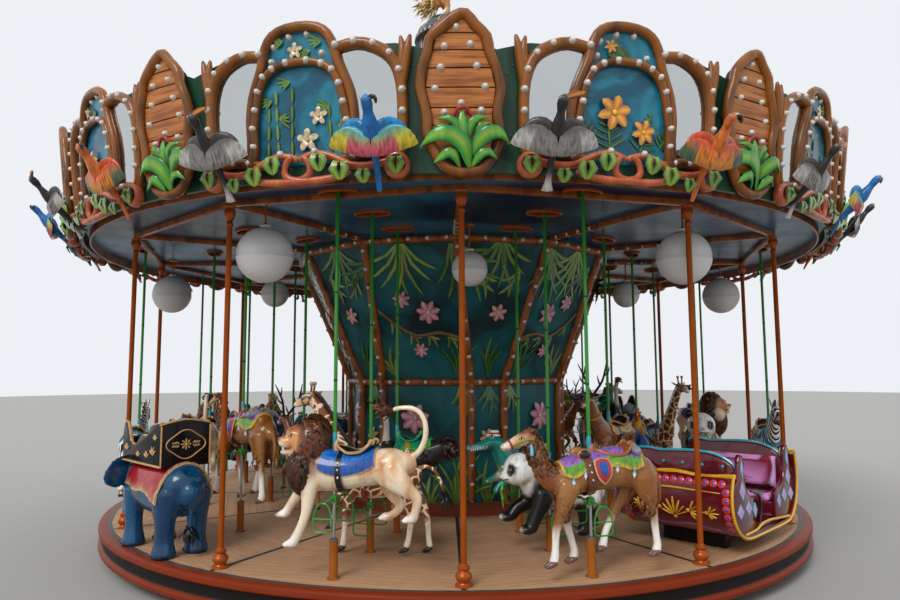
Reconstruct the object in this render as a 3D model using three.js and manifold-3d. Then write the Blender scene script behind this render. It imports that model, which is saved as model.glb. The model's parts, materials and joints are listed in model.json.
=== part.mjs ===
// Fairground carousel with twelve sectors, three rows of figures and a scenery cornice.
// Millimetres, +Z up, origin on the ground in the middle of the base.
// An azimuth is counted in degrees from the front (-Y) towards +X, and the ride turns about +Z.
import * as THREE from 'three';
import { mergeVertices } from 'three/addons/utils/BufferGeometryUtils.js';
import Module from 'manifold-3d';

const wasm = await Module();
wasm.setup();

// Driving dimensions
const SECTORS = 12;
const SECTOR = 360 / SECTORS;
const GAP = 0.3;

const DECK_TOP = 380;
const DECK_THICK = 50;
const DECK_OUTER = 4660;
const DECK_INNER = 1250;
const RIM_FACETS = 36;
const SKIRT_PROFILE = [
  [DECK_OUTER + GAP, -272], [4735, -272], [4760, -226], [4712, -190],
  [4712, -92], [4762, -62], [4762, -24], [4738, 0], [DECK_OUTER + GAP, 0],
];

const HUB_RADIUS = 1400;
const MAST_RADIUS = 190;
const MAST_TOP = 3700;
const FEET = 6;
const FOOT_REACH = 4250;
const FOOT_SIZE = [150, 110];
const RAIL_RADIUS = 4050;

const ROWS = { outer: 4410, middle: 3510, inner: 2680 };
const POLE_CIRCLE = 4500;
const POLE_RADIUS = 27;
const POLE_TOP = 3424;

const SLEEVE_HEIGHT = 347;
const SLEEVE_RADIUS = 39;
const ROD_RADIUS = 14;
const ROD_SIDES = 5;
const RISER_RADIUS = 17;
const ROD_FOOT = 20;
const STROKE = 240;
const RISER_TOP = 3870;
const CEILING_HOLE = 110;

const CEILING_Z = 3483;
const CEILING_THICK = 30;
const CEILING_OUTER = 5060;
const CEILING_INNER = 2100;
const BEAM = { width: 62, drop: CEILING_Z - POLE_TOP };

const DRUM_TOP_RADIUS = 2343;
const DRUM_MID_RADIUS = 1575;
const DRUM_MID_Z = 1656;
const DRUM_NARROW_HALF = 8;
const DRUM_WALL = 45;
const DRUM_LOG = 52;
const KERB = { outer: 1800, inner: 1665, height: 150 };

const GLOBES = {
  outer: { radius: 278, reach: 4250, z: 2960, azimuths: [-87, -27, 33, 93, 153, 213] },
  inner: { radius: 205, reach: 2720, z: 2975, azimuths: [-87, 3, 93, 183] },
};
const GLOBE_ROD = 11;

const CORNICE_FACETS = 24;
const CORNICE_FOOT = 3348;
const CORNICE_LEAN = 6;
const CORNICE_RADIUS = 5122;
const CORNICE_WALL = 70;

const ROOF = { outer: 5045, eave: 3900, topRadius: 545, top: 6480, thick: 32 };
const CUPOLA_PROFILE = [
  [0, 0], [620, 0], [620, 80], [520, 120], [520, 500], [600, 535], [600, 600],
  [530, 720], [400, 820], [250, 880], [0, 880],
];

const COLOURS = {
  steel: 0x6d7278, deck: 0xa07c5c, copper: 0xa85a3c, teal: 0x1d5a5f, brown: 0x6e4426,
  ceiling: 0x23415c, globe: 0xe9e7e2, kerb: 0x7a3a28, roof: 0xb98a5a, dome: 0x4c4a48,
  gold: 0xc79a3a, maroon: 0x6a1420, blue: 0x23506e,
};

// Small helpers: solids, places and cuts
const rad = THREE.MathUtils.degToRad;

const solidOf = (geometry) => {
  const bare = geometry.index ? geometry.toNonIndexed() : geometry.clone();
  bare.deleteAttribute('normal');
  bare.deleteAttribute('uv');
  const merged = mergeVertices(bare, 1e-3);
  return new wasm.Manifold(new wasm.Mesh({
    numProp: 3,
    vertProperties: new Float32Array(merged.attributes.position.array),
    triVerts: new Uint32Array(merged.index.array),
  }));
};

const geometryOf = (solid) => {
  const mesh = solid.getMesh();
  const geometry = new THREE.BufferGeometry();
  geometry.setAttribute('position', new THREE.BufferAttribute(new Float32Array(mesh.vertProperties), 3));
  geometry.setIndex(new THREE.BufferAttribute(new Uint32Array(mesh.triVerts), 1));
  geometry.computeVertexNormals();
  return geometry;
};

const fuse = (geometries) => {
  const [first, ...rest] = geometries.map(solidOf);
  return rest.reduce((sum, next) => sum.add(next), first);
};

const spread = (radius, azimuth, z = 0) => new THREE.Vector3(
  radius * Math.sin(rad(azimuth)), -radius * Math.cos(rad(azimuth)), z);

// Figures look clockwise as seen from above
const facing = (azimuth) => rad(180 + azimuth);

const atAzimuth = (geometry, azimuth) => geometry.rotateZ(rad(azimuth));

const box = (sizeX, sizeY, sizeZ, x, y, z) =>
  new THREE.BoxGeometry(sizeX, sizeY, sizeZ).translate(x, y, z);

const rod = (radius, low, high, sides, x = 0, y = 0) =>
  new THREE.CylinderGeometry(radius, radius, high - low, sides)
    .rotateX(Math.PI / 2).translate(x, y, (low + high) / 2);

const turned = (profile, facets, zero = 0) =>
  new THREE.LatheGeometry(profile.map(([r, z]) => new THREE.Vector2(r, z + zero)), facets)
    .rotateX(Math.PI / 2);

const ringOf = (profile, facets, zero = 0) => turned([...profile, profile[0]], facets, zero);

// Closes a stack of rings, each with the same number of corners, and its two ends
const stackedRings = (corners, rings, sides) => {
  const faces = [];
  for (let i = 0; i < rings - 1; i += 1) {
    for (let k = 0; k < sides; k += 1) {
      const a = i * sides + k;
      const b = i * sides + ((k + 1) % sides);
      faces.push(a, b, b + sides, a, b + sides, a + sides);
    }
  }
  const last = (rings - 1) * sides;
  for (let k = 1; k < sides - 1; k += 1) {
    faces.push(0, k + 1, k, last, last + k, last + k + 1);
  }
  const geometry = new THREE.BufferGeometry();
  geometry.setAttribute('position', new THREE.Float32BufferAttribute(corners, 3));
  geometry.setIndex(faces);
  return geometry;
};

// Closes a stack of rings into a tube whose last ring joins its first, as round a cornice
const closedLoop = (corners, rings, sides) => {
  const faces = [];
  for (let i = 0; i < rings; i += 1) {
    const next = ((i + 1) % rings) * sides;
    for (let k = 0; k < sides; k += 1) {
      const a = i * sides + k;
      const b = i * sides + ((k + 1) % sides);
      faces.push(a, b, next + ((k + 1) % sides), a, next + ((k + 1) % sides), next + k);
    }
  }
  const geometry = new THREE.BufferGeometry();
  geometry.setAttribute('position', new THREE.Float32BufferAttribute(corners, 3));
  geometry.setIndex(faces);
  return geometry;
};

// A tapered limb: one flat-faced tube through rings given as [x, y, z, half width, half height]
const limb = (rings, sides = 6) => {
  const centres = rings.map(([x, y, z]) => new THREE.Vector3(x, y, z));
  const corners = [];
  rings.forEach(([, , , wide, high], i) => {
    const before = centres[Math.max(i - 1, 0)];
    const after = centres[Math.min(i + 1, rings.length - 1)];
    const along = after.clone().sub(before).normalize();
    const across = Math.abs(along.y) > 0.9 ? new THREE.Vector3(1, 0, 0) : new THREE.Vector3(0, 1, 0);
    const side = across.addScaledVector(along, -across.dot(along)).normalize();
    const top = along.clone().cross(side);
    for (let k = 0; k < sides; k += 1) {
      const turn = (2 * Math.PI * (k + 0.5)) / sides;
      const corner = centres[i].clone()
        .addScaledVector(side, wide * Math.cos(turn)).addScaledVector(top, high * Math.sin(turn));
      corners.push(corner.x, corner.y, corner.z);
    }
  });
  return stackedRings(corners, rings.length, sides);
};

const plate = (outline, thick) => {
  const shape = new THREE.Shape(outline.map(([x, y]) => new THREE.Vector2(x, y)));
  return new THREE.ExtrudeGeometry(shape, { depth: thick, bevelEnabled: false });
};

const carousel = new THREE.Group();

const addNode = (name, solid, colour, look = {}) => {
  const material = new THREE.MeshStandardMaterial({ color: colour, roughness: 0.45, metalness: 0, ...look });
  const mesh = new THREE.Mesh(geometryOf(solid), material);
  mesh.name = name;
  carousel.add(mesh);
  return mesh;
};

// Fixed steelwork under the deck, with the mast that carries the crown
const buildBase = () => {
  const hub = turned([[0, 0], [HUB_RADIUS, 0], [HUB_RADIUS, DECK_TOP - DECK_THICK - GAP],
    [0, DECK_TOP - DECK_THICK - GAP]], 12);
  const mast = turned([[0, 200], [MAST_RADIUS, 200], [MAST_RADIUS, MAST_TOP], [0, MAST_TOP]], 8);
  const [wide, high] = FOOT_SIZE;
  const feet = Array.from({ length: FEET }, (_, k) =>
    atAzimuth(box(wide, FOOT_REACH - 900, high, 0, -(FOOT_REACH + 900) / 2, high / 2), (k * 360) / FEET));
  const rail = ringOf([[RAIL_RADIUS - 50, 40], [RAIL_RADIUS + 50, 40], [RAIL_RADIUS + 50, 250],
    [RAIL_RADIUS - 50, 250]], SECTORS);
  addNode('base_frame', fuse([hub, mast, rail, ...feet]), COLOURS.steel, { metalness: 0.6 });
};

// Where each figure stands: sector azimuth, row and kind
const FIGURES = [
  [-15, 'lion', 'giraffe', 'ostrich'],
  [15, 'camel', 'panda', 'crocodile'],
  [45, 'chariot', null, 'deer'],
  [75, 'zebra', 'panda', 'rooster'],
  [105, 'lion', 'giraffe', 'ostrich'],
  [135, 'elephant', 'camel', 'deer'],
  [165, 'camel', 'zebra', 'crocodile'],
  [195, 'lion', 'giraffe', 'ostrich'],
  [225, 'chariot', null, 'rooster'],
  [255, 'zebra', 'panda', 'crocodile'],
  [285, 'zebra', 'lion', 'rooster'],
  [315, 'elephant', 'camel', 'deer'],
];
const FIXED = new Set(['chariot', 'elephant']);
// Kinds drawn at the top of their stroke, and single figures of the other kinds that rest there
const HIGH = new Set(['lion', 'zebra']);
const RAISED = new Set(['panda_2', 'camel_2', 'panda_3', 'camel_4', 'deer_1', 'ostrich_2', 'rooster_3']);
const places = FIGURES.flatMap(([azimuth, ...kinds]) =>
  kinds.map((kind, i) => ({ azimuth, kind, row: Object.keys(ROWS)[i] })).filter(({ kind }) => kind));
const risers = places.filter(({ kind }) => !FIXED.has(kind));

// The deck in two halves, each with the sleeve posts that guide the rods
const buildDeck = () => {
  const half = (start, end) => {
    const steps = RIM_FACETS / 2;
    const edge = (radius) => Array.from({ length: steps + 1 }, (_, i) => {
      const point = spread(radius, start + ((end - start) * i) / steps);
      return [point.x, point.y];
    });
    const board = plate([...edge(DECK_OUTER), ...edge(DECK_INNER).reverse()], DECK_THICK)
      .translate(0, 0, DECK_TOP - DECK_THICK);
    return board;
  };
  const seam = box(GAP, 2 * DECK_OUTER + 10, 4 * DECK_THICK, 0, 0, DECK_TOP);
  ['deck_east', 'deck_west'].forEach((name, side) => {
    const start = side * 180;
    const mine = risers.filter(({ azimuth }) => ((azimuth + 360) % 360 >= start)
      && ((azimuth + 360) % 360 < start + 180));
    const posts = mine.flatMap(({ azimuth, row }) => {
      const { x, y } = spread(ROWS[row], azimuth);
      return rod(SLEEVE_RADIUS, DECK_TOP - 5, DECK_TOP + SLEEVE_HEIGHT, ROD_SIDES, x, y);
    });
    const bores = mine.map(({ azimuth, row }) => {
      const { x, y } = spread(ROWS[row], azimuth);
      return solidOf(rod(ROD_RADIUS + GAP, DECK_TOP + 1, DECK_TOP + SLEEVE_HEIGHT + 5, ROD_SIDES)
        .rotateZ(facing(azimuth)).translate(x, y, 0));
    });
    const solid = bores.reduce((sum, bore) => sum.subtract(bore),
      fuse([half(start, start + 180), ...posts]).subtract(solidOf(seam)));
    addNode(name, solid, COLOURS.deck, { roughness: 0.7 });
  });
  addNode('deck_rim', solidOf(ringOf(SKIRT_PROFILE, RIM_FACETS, DECK_TOP)), COLOURS.copper);
};

// The scenery drum: kerb, straight lower wall and leaning upper wall, both with log frames
const drumCorners = Array.from({ length: SECTORS }, (_, k) => {
  const centre = 15 + 60 * Math.floor(k / 2);
  return { low: centre + (k % 2 ? 1 : -1) * DRUM_NARROW_HALF, high: centre + (k % 2 ? 1 : -1) * 15 };
});

// A band of the drum between two levels, each level given as [radius, z, key of the corner azimuths]
const tier = (...levels) => {
  const corners = levels.flatMap(([radius, z, key]) =>
    drumCorners.flatMap((corner) => spread(radius, corner[key], z).toArray()));
  return solidOf(stackedRings(corners, levels.length, SECTORS));
};

const strut = (from, to) => solidOf(limb([from, to].map(({ x, y, z }) => [x, y, z, DRUM_LOG, DRUM_LOG]), 4));

const buildDrum = () => {
  const floor = DECK_TOP + GAP;
  const mid = DECK_TOP + DRUM_MID_Z;
  const top = DECK_TOP + CEILING_Z - GAP;
  const low = DRUM_MID_RADIUS;
  const high = DRUM_TOP_RADIUS;
  const band = 2 * DRUM_LOG;
  const slope = (high - low) / (top - mid);
  const lower = tier([low, floor, 'low'], [low, mid - band, 'low'], [low + DRUM_LOG, mid - band, 'low'],
    [low + DRUM_LOG, mid, 'low'])
    .subtract(tier([low - DRUM_WALL, floor - 5, 'low'], [low - DRUM_WALL, mid + 5, 'low']));
  const upper = tier([low, mid + GAP, 'low'], [high, top, 'high'])
    .add(tier([high - band * slope + DRUM_LOG, top - band, 'high'], [high + DRUM_LOG, top, 'high']))
    .subtract(tier([low - DRUM_WALL - slope, mid + GAP - 1, 'low'], [high - DRUM_WALL + slope, top + 1, 'high']));
  const postHeight = mid - band / 2 - floor;
  const posts = drumCorners.map((corner) => solidOf(atAzimuth(
    box(1.4 * DRUM_LOG, 1.4 * DRUM_LOG, postHeight, 0, -low, floor + postHeight / 2), corner.low)));
  const ribs = drumCorners.map((corner) => strut(
    spread(low + DRUM_LOG / 2, corner.low, mid + 60), spread(high, corner.high, top - 60)));
  addNode('drum_lower_wall', posts.reduce((sum, post) => sum.add(post), lower), COLOURS.brown);
  addNode('drum_upper_wall', ribs.reduce((sum, rib) => sum.add(rib), upper), COLOURS.teal);
  const kerb = ringOf([[KERB.inner, 0], [KERB.outer, 0], [KERB.outer - 10, KERB.height],
    [KERB.inner, KERB.height]], CORNICE_FACETS, DECK_TOP + GAP);
  addNode('drum_kerb', solidOf(kerb), COLOURS.kerb);
};

// Ceiling with its radial beams, rim beam and hanging globe lamps
const buildCeiling = () => {
  const ring = (radius, phase) => Array.from({ length: CORNICE_FACETS }, (_, i) => {
    const point = spread(radius, phase + (i * 360) / CORNICE_FACETS);
    return new THREE.Vector2(point.x, point.y);
  });
  const shape = new THREE.Shape(ring(CEILING_OUTER, 0));
  shape.holes.push(new THREE.Path(ring(CEILING_INNER, 0)));
  risers.forEach(({ azimuth, row }) => {
    const c = spread(ROWS[row], azimuth);
    const s = CEILING_HOLE / 2;
    const turn = rad(azimuth);
    shape.holes.push(new THREE.Path([[-s, -s], [s, -s], [s, s], [-s, s]].map(([x, y]) => new THREE.Vector2(
      c.x + x * Math.cos(turn) - y * Math.sin(turn), c.y + x * Math.sin(turn) + y * Math.cos(turn)))));
  });
  const panel = new THREE.ExtrudeGeometry(shape, { depth: CEILING_THICK, bevelEnabled: false })
    .translate(0, 0, DECK_TOP + CEILING_Z);
  const beamZ = DECK_TOP + CEILING_Z - BEAM.drop / 2 + 2;
  const inner = DRUM_TOP_RADIUS + DRUM_LOG + GAP;
  const beams = Array.from({ length: SECTORS }, (_, k) => atAzimuth(
    box(BEAM.width, POLE_CIRCLE - inner, BEAM.drop + 4, 0, -(POLE_CIRCLE + inner) / 2, beamZ), k * SECTOR));
  const half = BEAM.width / 2;
  const rim = ringOf([[POLE_CIRCLE - half, 0], [POLE_CIRCLE + half, 0], [POLE_CIRCLE + half, BEAM.drop + 4],
    [POLE_CIRCLE - half, BEAM.drop + 4]], SECTORS, DECK_TOP + POLE_TOP);
  const lamps = Object.values(GLOBES).flatMap(({ radius, reach, z, azimuths }) => azimuths.flatMap((azimuth) => {
    const p = spread(reach, azimuth);
    return [
      new THREE.SphereGeometry(radius, 6, 4).rotateX(Math.PI / 2).translate(p.x, p.y, DECK_TOP + z),
      rod(GLOBE_ROD, DECK_TOP + z + radius - 20, DECK_TOP + CEILING_Z + 5, 4, p.x, p.y),
    ];
  }));
  addNode('ceiling', fuse([panel, ...beams, rim, ...lamps]), COLOURS.ceiling, { roughness: 0.15 });
};

// The twelve turned poles at the edge of the deck
const buildPoles = () => {
  const profile = [[0, 0], [78, 0], [62, 78], [POLE_RADIUS, 140], [POLE_RADIUS, POLE_TOP - 120],
    [56, POLE_TOP - 2 * GAP], [0, POLE_TOP - 2 * GAP]];
  Array.from({ length: SECTORS }, (_, k) => k).forEach((k) => {
    const p = spread(POLE_CIRCLE, k * SECTOR);
    const pole = turned(profile, 6, DECK_TOP + GAP).translate(p.x, p.y, 0);
    addNode(`outer_pole_${k + 1}`, solidOf(pole), COLOURS.copper, { metalness: 0.4 });
  });
};

// The cornice: a leaning wall whose top and foot follow twelve shields and twelve triple arches.
// Each profile point is [distance from the middle of its panel, foot, top, how far it stands proud].
const SHIELD = [[0, 0, 1325, 55], [215, 60, 1190, 55], [365, 330, 880, 55]];
const ARCHES = [[930, 10, 1060, 0], [520, -10, 1080, 0], [440, -20, 1230, 20], [240, -30, 1290, 20]];

// A bird that leans out over the foot of the cornice on a bracket, and the plant in the cup of a
// shield. Their own frame: x along the cornice, y outwards from its foot, z over the foot.
const BIRD_REACH = 7.5;
const BIRD = [[0, 40, -90, 12, 34], [0, 190, 120, 34, 44], [0, 320, 290, 74, 74], [0, 410, 390, 38, 36],
  [0, 500, 485, 30, 28]];
const WINGS = [[-320, 250, 230, 10, 120], [0, 340, 320, 22, 120], [320, 250, 230, 10, 120]];
const PLANT = [[0, 30, 40, 40, 110], [0, 105, 250, 80, 330], [0, 80, 560, 36, 70]];

const overCornice = (geometry, azimuth) => atAzimuth(
  geometry.rotateZ(Math.PI).translate(0, -CORNICE_RADIUS, DECK_TOP + CORNICE_FOOT), azimuth);

const bird = () => [
  limb(BIRD, 4),
  limb(WINGS, 4),
  limb([[0, -40, 110, 18, 18], [0, 230, 110, 18, 18]], 3),
];

const buildCornice = () => {
  const arc = (azimuth, points, side) => points.map(([along, foot, top, proud]) => (
    { azimuth: azimuth + side * THREE.MathUtils.radToDeg(along / CORNICE_RADIUS), foot, top, proud }));
  const columns = Array.from({ length: SECTORS }, (_, k) => k * SECTOR).flatMap((azimuth) => [
    ...arc(azimuth, SHIELD, 1), ...arc(azimuth + 15, ARCHES, -1),
    ...arc(azimuth + 15, [...ARCHES].reverse(), 1), ...arc(azimuth + SECTOR, [...SHIELD].reverse().slice(0, -1), -1),
  ]);
  const lean = Math.tan(rad(CORNICE_LEAN));
  const level = (pick, inset) => columns.flatMap((column) => {
    const z = pick(column);
    const reach = CORNICE_RADIUS + lean * z - inset * (CORNICE_WALL + column.proud) + column.proud;
    return spread(reach, column.azimuth, DECK_TOP + CORNICE_FOOT + z).toArray();
  });
  const foot = (column) => column.foot;
  const top = (column) => column.top;
  const levels = [level(foot, 0), level(top, 0), level(top, 1), level(foot, 1)];
  const wall = solidOf(closedLoop(levels.flat(), levels.length, columns.length));
  const birds = Array.from({ length: SECTORS * 2 }, (_, k) => bird().map((piece) => (
    overCornice(piece, BIRD_REACH + k * 2 * BIRD_REACH)))).flat();
  const plants = Array.from({ length: SECTORS }, (_, k) => overCornice(limb(PLANT, 5), k * SECTOR));
  const solid = [...birds, ...plants].map(solidOf).reduce((sum, piece) => sum.add(piece), wall);
  addNode('cornice', solid, COLOURS.brown);
};

// Roof shell, cupola and the rearing horse on top
const buildRoof = () => {
  const slope = (ROOF.top - ROOF.eave) / (ROOF.outer - ROOF.topRadius);
  const foot = CEILING_Z + CEILING_THICK + GAP;
  const inner = ROOF.outer - ROOF.thick;
  const shell = ringOf([[inner, foot], [ROOF.outer, foot], [ROOF.outer, ROOF.eave], [ROOF.topRadius, ROOF.top],
    [ROOF.topRadius - ROOF.thick, ROOF.top], [inner, ROOF.top - slope * (inner - ROOF.topRadius + ROOF.thick)]],
  CORNICE_FACETS, DECK_TOP);
  addNode('roof', solidOf(shell), COLOURS.roof);
  const cupola = turned(CUPOLA_PROFILE, 16, DECK_TOP + ROOF.top + GAP);
  addNode('cupola', solidOf(cupola), COLOURS.dome);
};

const leg = (y, points) => limb(points.map(([x, z, r]) => [x, y, z, r, r]), 4);

const rearingHorse = () => [
  limb([[-290, 0, 320, 60, 80], [-230, 0, 450, 125, 150], [0, 0, 680, 115, 130], [150, 0, 900, 105, 125],
    [240, 0, 1100, 52, 88], [300, 0, 1230, 50, 72], [370, 0, 1180, 45, 55], [470, 0, 1080, 34, 36]]),
  ...[-70, 70].map((y) => leg(y, [[-240, 420, 75], [-130, 250, 48], [-240, 130, 34], [-190, 20, 42]])),
  ...[-70, 70].map((y) => leg(y, [[130, 840, 52], [330, 830, 36], [480, 700, 30]])),
  limb([[-270, 0, 420, 40, 40], [-430, 0, 420, 60, 60], [-500, 0, 120, 20, 20]], 4),
  rod(255, 0, 40, 12, -190, 0),
];

// Figures, in their own frame: +X ahead, +Y outwards, z over the deck, the rod on the origin.
// A spine runs from rump to nose in rings [x, z, half width, half height], and a leg in [x, z, radius].
const RIDERS = {
  lion: {
    spine: [[-700, 1010, 95, 110], [-540, 985, 165, 165], [-200, 930, 165, 175], [120, 935, 185, 205],
      [270, 1090, 190, 260], [370, 1170, 140, 200], [445, 1150, 90, 105], [505, 1115, 55, 55]],
    legs: [[1, [[190, 860, 75], [230, 560, 52], [345, 305, 46]]],
      [-1, [[210, 860, 75], [400, 700, 50], [550, 510, 46]]],
      [1, [[-560, 960, 105], [-700, 720, 46], [-690, 570, 50]]],
      [-1, [[-560, 960, 105], [-530, 680, 48], [-500, 520, 50]]]],
    tail: [[-660, 1060, 30], [-850, 1180, 28], [-800, 1470, 26], [-570, 1500, 42]],
    apart: 105,
  },
  giraffe: {
    spine: [[-480, 760, 100, 115], [-350, 740, 145, 160], [-60, 690, 150, 175], [220, 740, 140, 185],
      [330, 960, 80, 110], [580, 1400, 52, 70], [660, 1530, 55, 66], [740, 1520, 50, 54], [830, 1470, 32, 34]],
    legs: [[1, [[190, 640, 66], [240, 350, 42], [260, 60, 40]]],
      [-1, [[190, 640, 66], [400, 500, 42], [430, 230, 38]]],
      [1, [[-380, 680, 90], [-450, 300, 40], [-420, 90, 42]]],
      [-1, [[-380, 680, 90], [-570, 300, 40], [-590, 60, 42]]]],
    tail: [[-470, 800, 24], [-640, 840, 22], [-740, 740, 22], [-800, 560, 38]],
    apart: 85,
  },
  camel: {
    spine: [[-600, 900, 95, 110], [-470, 910, 150, 165], [-300, 950, 135, 215], [-100, 890, 160, 165],
      [180, 880, 145, 170], [370, 860, 85, 115], [500, 1020, 64, 86], [570, 1200, 60, 76],
      [660, 1210, 58, 60], [810, 1150, 40, 40]],
    legs: [[1, [[230, 800, 75], [330, 470, 44], [370, 170, 50]]],
      [-1, [[200, 800, 75], [210, 450, 44], [130, 150, 50]]],
      [1, [[-500, 850, 100], [-550, 430, 42], [-590, 210, 50]]],
      [-1, [[-480, 850, 100], [-270, 460, 42], [-160, 240, 50]]]],
    tail: [[-610, 940, 24], [-690, 820, 22], [-690, 640, 34]],
    apart: 100,
  },
  panda: {
    spine: [[-520, 560, 110, 120], [-380, 590, 195, 200], [-80, 600, 205, 210], [120, 650, 160, 175],
      [230, 790, 165, 170], [350, 790, 140, 135], [430, 750, 60, 60]],
    legs: [[1, [[80, 520, 85], [210, 380, 66], [270, 250, 62]]],
      [-1, [[80, 520, 85], [300, 440, 66], [400, 330, 62]]],
      [1, [[-380, 480, 110], [-280, 330, 72], [-330, 200, 66]]],
      [-1, [[-380, 480, 110], [-460, 320, 72], [-540, 220, 66]]]],
    tail: [[-500, 600, 42], [-580, 600, 34]],
    apart: 125,
  },
  zebra: {
    spine: [[-560, 900, 90, 105], [-440, 890, 145, 155], [-120, 860, 145, 150], [170, 880, 135, 165],
      [300, 1050, 70, 120], [440, 1270, 52, 84], [520, 1250, 52, 62], [650, 1130, 34, 38]],
    legs: [[1, [[200, 780, 62], [410, 660, 40], [390, 440, 36]]],
      [-1, [[180, 780, 62], [330, 620, 40], [210, 470, 36]]],
      [1, [[-450, 820, 95], [-530, 460, 40], [-610, 300, 38]]],
      [-1, [[-450, 820, 95], [-620, 500, 40], [-720, 350, 38]]]],
    tail: [[-550, 960, 26], [-660, 930, 38], [-730, 720, 42], [-740, 600, 18]],
    apart: 80,
  },
  deer: {
    spine: [[-470, 790, 80, 90], [-370, 790, 120, 130], [-90, 760, 125, 135], [160, 790, 120, 150],
      [270, 960, 66, 98], [390, 1180, 48, 64], [460, 1210, 46, 52], [570, 1150, 28, 30]],
    legs: [[1, [[160, 690, 52], [330, 580, 34], [310, 390, 30]]],
      [-1, [[160, 690, 52], [290, 560, 34], [180, 420, 30]]],
      [1, [[-380, 720, 80], [-430, 380, 34], [-430, 210, 32]]],
      [-1, [[-380, 720, 80], [-510, 390, 34], [-560, 240, 32]]]],
    tail: [[-450, 840, 34], [-540, 870, 26]],
    horns: [[400, 1170, 22], [310, 1420, 16], [350, 1640, 10]],
    apart: 72,
  },
  ostrich: {
    spine: [[-680, 900, 50, 60], [-560, 950, 100, 115], [-380, 880, 140, 150], [-150, 850, 190, 190],
      [90, 830, 150, 165], [170, 960, 48, 60], [130, 1180, 34, 38], [165, 1380, 36, 42], [220, 1420, 42, 42],
      [320, 1380, 16, 12]],
    legs: [-1, 1].map((side) => [side, [[-60, 720, 75], [40, 480, 36], [20, 240, 32]]]),
    apart: 75,
  },
  rooster: {
    spine: [[-640, 1060, 45, 140], [-480, 1060, 60, 150], [-300, 880, 90, 130], [-120, 790, 165, 185],
      [140, 800, 145, 175], [260, 970, 80, 100], [310, 1180, 50, 58], [370, 1215, 44, 46], [460, 1190, 14, 14]],
    legs: [-1, 1].map((side) => [side, [[-40, 660, 80], [40, 440, 38], [60, 260, 34]]]),
    apart: 75,
  },
  crocodile: {
    spine: [[-600, 830, 14, 14], [-550, 690, 46, 46], [-430, 600, 70, 70], [-240, 640, 120, 115],
      [-60, 670, 165, 165], [120, 760, 155, 165], [220, 940, 105, 115], [270, 1010, 98, 88],
      [440, 960, 66, 52], [590, 930, 46, 32]],
    legs: [1, -1].flatMap((side) => [[side, [[110, 640, 66], [260, 560, 46], [330, 480, 48]]],
      [side, [[-230, 560, 82], [-110, 400, 58], [-60, 300, 56]]]]),
    apart: 120,
  },
};

const figureLimbs = ({ spine, legs, tail = [], horns = [], apart }) => [
  limb(spine.map(([x, z, w, h]) => [x, 0, z, w, h]), 5),
  ...legs.map(([side, points]) => leg(side * apart, points)),
  ...(tail.length ? [limb(tail.map(([x, z, r]) => [x, 0, z, r, r]), 3)] : []),
  ...(horns.length ? [-1, 1].map((side) =>
    limb(horns.map(([x, z, r], i) => [x, side * (25 + 90 * i), z, r, r]), 3)) : []),
];

// Height of the seat and of the foot rests of each kind, over the deck
const SEATS = {
  lion: [1105, 560], giraffe: [860, 330], camel: [1060, 520], panda: [800, 330], zebra: [1010, 520],
  deer: [890, 430], ostrich: [1030, 480], rooster: [955, 430], crocodile: [860, 380],
};

const riderFittings = (kind) => {
  const [seat, step] = SEATS[kind];
  const foot = HIGH.has(kind) ? ROD_FOOT + STROKE : ROD_FOOT;
  return [
    rod(RISER_RADIUS, seat - 90, RISER_TOP, ROD_SIDES),
    rod(ROD_RADIUS, foot, seat, ROD_SIDES),
    box(30, 470, 16, 0, 0, step + 120),
    ...[-1, 1].map((side) => box(180, 16, 250, 0, side * 240, step + 5)),
  ];
};

const elephant = () => [
  limb([[-640, 0, 640, 150, 170], [-500, 0, 640, 255, 265], [-100, 0, 620, 280, 290], [300, 0, 650, 260, 275],
    [520, 0, 740, 190, 225], [700, 0, 700, 120, 150], [820, 0, 500, 70, 76], [870, 0, 320, 56, 58],
    [940, 0, 235, 46, 46], [1020, 0, 290, 34, 34]], 8),
  ...[-1, 1].map((side) => limb([[430, side * 170, 740, 30, 120], [470, side * 330, 640, 24, 190],
    [470, side * 370, 480, 16, 90]], 4)),
  ...[-1, 1].flatMap((side) => [[300, 560], [-450, 580]].map(([x, z]) =>
    limb([[x, side * 165, z, 120, 120], [x, side * 165, 200, 98, 98], [x, side * 165, GAP, 108, 108]]))),
];

const howdah = () => {
  const outline = [[-470, 880], [430, 880], [470, 1120], [400, 1290], [180, 1210], [-120, 1230], [-430, 1330],
    [-520, 1120]];
  const hull = solidOf(plate(outline, 520).rotateX(Math.PI / 2).translate(0, 260, 0));
  const cabin = solidOf(box(760, 430, 500, -30, 0, 1210));
  const cloth = solidOf(limb([[-330, 0, 700, 290, 300], [330, 0, 700, 290, 300]], 8));
  return hull.subtract(cabin).add(cloth);
};

const chariot = () => {
  const side = [[-900, 560], [-760, 240], [-560, 130], [560, 130], [780, 240], [960, 520], [900, 760],
    [720, 700], [520, 640], [-520, 640], [-700, 760], [-860, 860]];
  const hull = solidOf(plate(side, 1240).rotateX(Math.PI / 2).translate(0, 620, 0));
  const cabin = solidOf(box(1300, 1120, 900, 0, 0, 240 + 450));
  const doorway = solidOf(box(460, 300, 900, 0, 600, 240 + 450));
  const bench = (at, lean) => [
    box(360, 1110, 240, at, 0, 350),
    box(110, 1110, 620, at + lean * 210, 0, 690),
  ];
  const skids = [-420, 420].map((x) => box(160, 700, 140, x, 0, 70 + GAP));
  return hull.subtract(cabin).subtract(doorway).add(fuse([...bench(-430, -1)])).add(fuse([...bench(430, 1)]))
    .add(solidOf(skids[0])).add(solidOf(skids[1]));
};

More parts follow.
